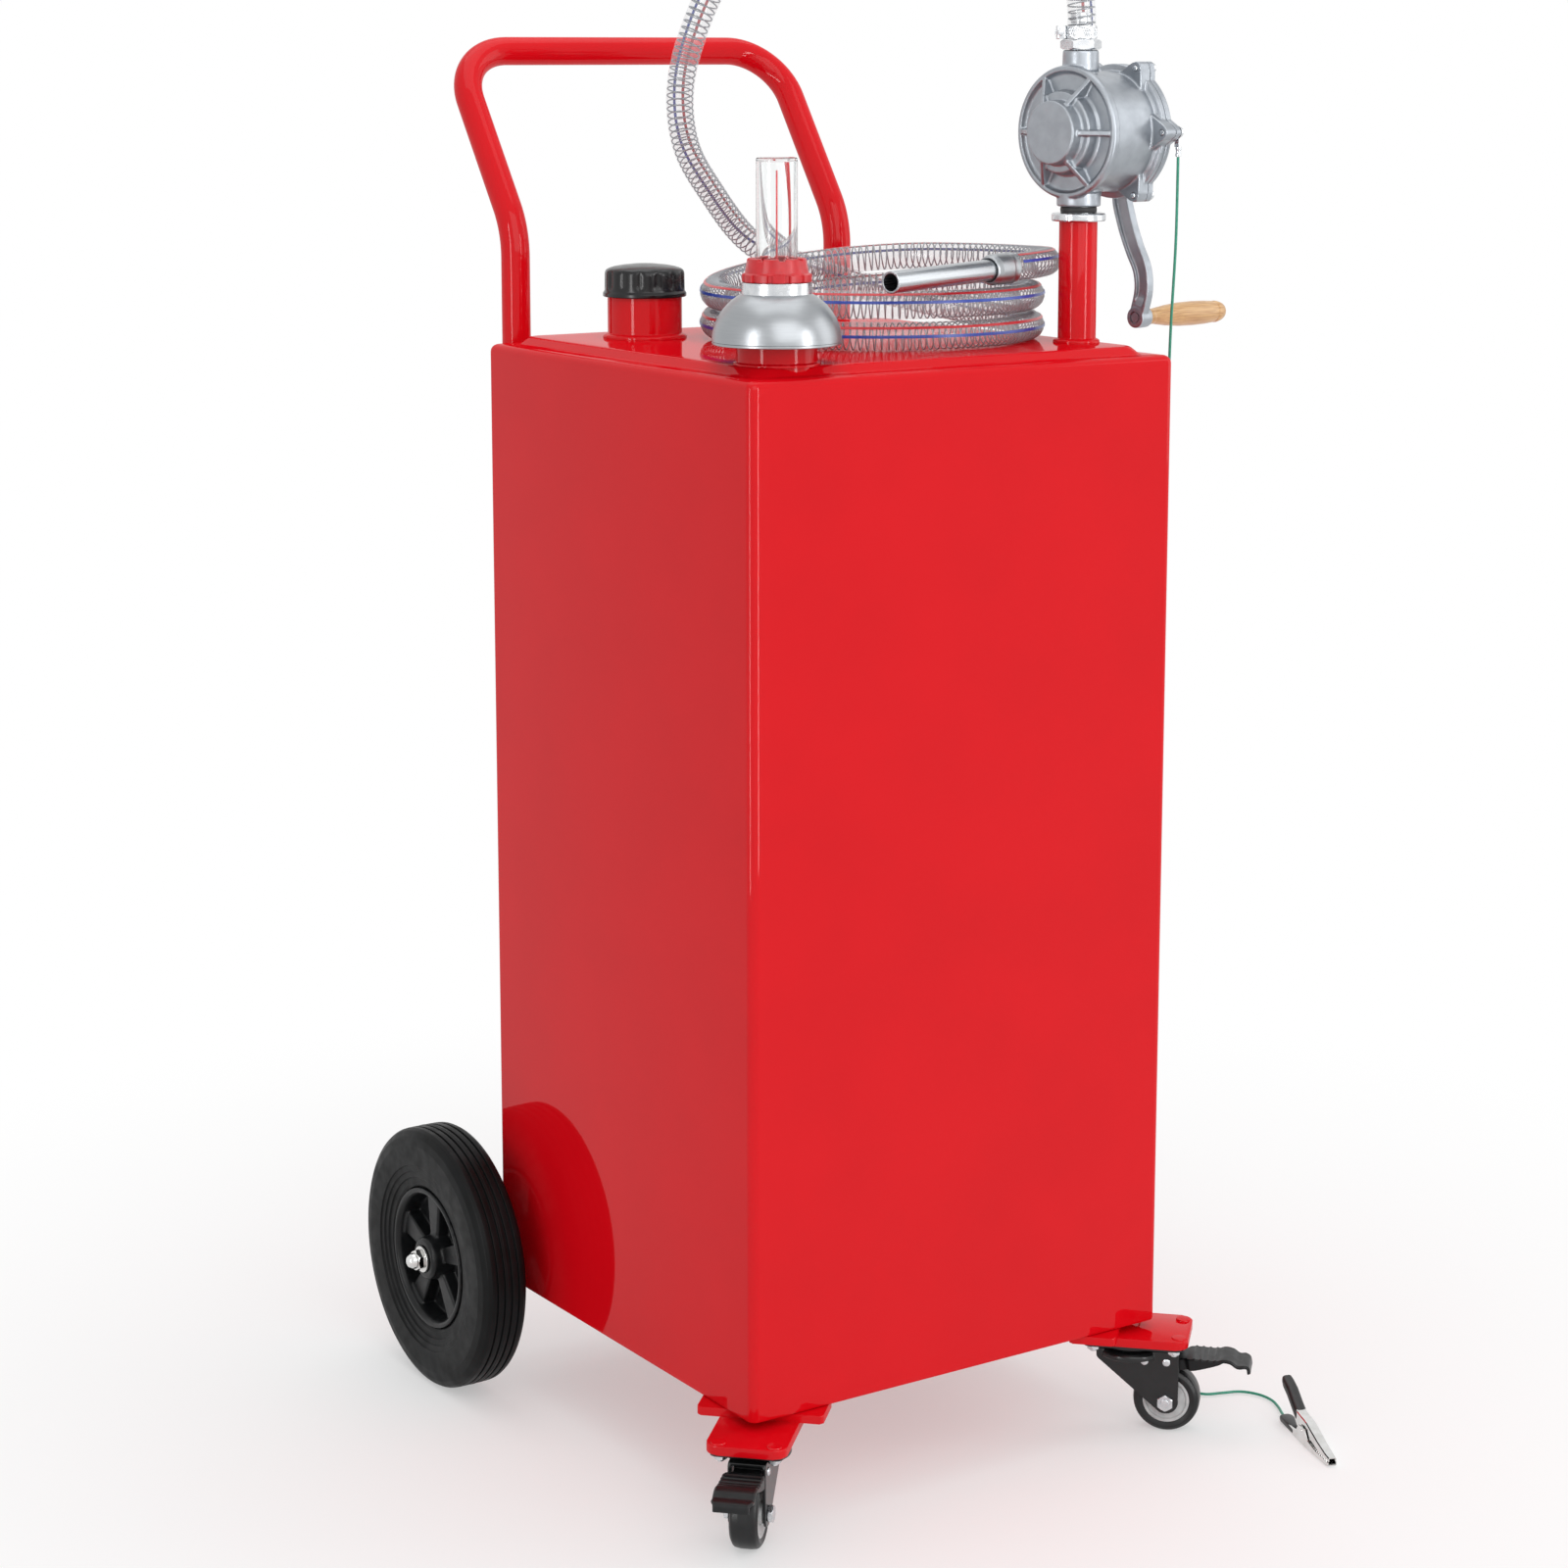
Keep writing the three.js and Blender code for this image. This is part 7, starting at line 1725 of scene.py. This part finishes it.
# %% [markdown]
# ## Floor and light
# A plain pale floor and a white world stand in for the studio. The camera and reflections see white, and
# the light on the caddy comes from a soft sky and large lamps: a broad one over the front, a weaker one
# at the right and one overhead. Small lamps would throw hard shadows that the photograph doesn't have.
# Two tall strips at the left and the front only make gloss: they draw the bright lines down the tubes,
# the cap and the tank's rounded edge, and leave the colours as they are.

# %% Floor and lamps
FLOOR_HALF, FLOOR_SHEET = 40000, 10
floor_corners = ((-1, -1), (1, -1), (1, 1), (-1, 1))
floor_skin = joined_rings([
    [(sx * FLOOR_HALF, sy * FLOOR_HALF, height) for sx, sy in floor_corners] for height in (0, -FLOOR_SHEET)])
# The floor isn't part of the caddy, so its paint has no slot.
floor_paint = finish_of("studio_floor_paint", "", "#F7F7F7", 0.85)
tint(floor_paint, 500.0, "#F3F3F3", 0.5)
stage_floor = bpy.data.objects.new("stage_floor", mesh_of("stage_floor", floor_skin, floor_paint))
bpy.context.scene.collection.objects.link(stage_floor)


def seen_rays(tree):
    """1 where the camera, a reflection or clear plastic looks, and 0 where light only bounces."""
    rays = add_node(tree, "ShaderNodeLightPath")
    seen = rays.outputs["Is Camera Ray"]
    for other in ("Is Glossy Ray", "Is Transmission Ray"):
        step = add_node(tree, "ShaderNodeMath", {"operation": "MAXIMUM"}, {0: seen, 1: rays.outputs[other]})
        seen = step.outputs[0]
    return seen


# Away from the caddy the floor fades into the white backdrop. Near it, it keeps the shadow.
FADE_FROM, FADE_TO, FADE_NEAR, SKY_LIGHT = 0.25, 1.3, 0.4, 0.62
paint_tree = floor_paint.node_tree
floor_spot = add_node(paint_tree, "ShaderNodeTexCoord")
floor_distance = add_node(
    paint_tree, "ShaderNodeVectorMath", {"operation": "LENGTH"}, {0: floor_spot.outputs["Object"]})
floor_fade = add_node(
    paint_tree, "ShaderNodeMapRange",
    {"interpolation_type": "SMOOTHSTEP", "From Min": FADE_FROM, "From Max": FADE_TO, "To Min": FADE_NEAR},
    {"Value": floor_distance.outputs["Value"]})
fade_seen = add_node(
    paint_tree, "ShaderNodeMath", {"operation": "MULTIPLY"},
    {0: floor_fade.outputs["Result"], 1: seen_rays(paint_tree)})
white_glow = add_node(paint_tree, "ShaderNodeEmission", {"Color": (1, 1, 1, 1)})
floor_mix = add_node(
    paint_tree, "ShaderNodeMixShader", {},
    {0: fade_seen.outputs[0], 1: paint_tree.nodes["Principled BSDF"].outputs[0], 2: white_glow.outputs[0]})
paint_tree.links.new(floor_mix.outputs[0], paint_tree.nodes["Material Output"].inputs["Surface"])

world = bpy.data.worlds.new("studio")
bpy.context.scene.world = world
world.use_nodes = True
sky = world.node_tree
strength = add_node(
    sky, "ShaderNodeMapRange", {"To Min": SKY_LIGHT, "To Max": 1.0}, {"Value": seen_rays(sky)})
background = sky.nodes["Background"]
background.inputs["Color"].default_value = (1, 1, 1, 1)
sky.links.new(strength.outputs["Result"], background.inputs["Strength"])


def lamp(name, place, target, width, height, power, gloss_only=False):
    """A rectangular soft lamp that looks at a point. Sizes are in metres here, as lamps are."""
    data = bpy.data.lights.new(name, "AREA")
    data.shape = "RECTANGLE"
    data.size = width
    data.size_y = height
    data.energy = power
    item = bpy.data.objects.new(name, data)
    bpy.context.scene.collection.objects.link(item)
    item.location = place
    item.rotation_euler = (Vector(target) - Vector(place)).to_track_quat("-Z", "Y").to_euler()
    item.visible_camera = False
    item.visible_diffuse = not gloss_only


middle = (0, 0, 0.6)
upper_middle = (0, 0, 1.0)
lamp("key_lamp", (-1.0, -3.6, 2.8), middle, 3.4, 3.4, 58)
# The strips stand off the middle of each side, so a flat face seen squarely doesn't mirror them.
lamp("left_strip", (-2.1, -0.66, 1.0), upper_middle, 0.3, 2.0, 17, gloss_only=True)
lamp("front_strip", (0.6, -2.1, 1.0), upper_middle, 0.3, 2.0, 17, gloss_only=True)
lamp("side_lamp", (3.2, -1.6, 1.8), middle, 1.8, 3.0, 22)
lamp("top_lamp", (0.2, 0.4, 3.8), middle, 3.2, 3.2, 34)
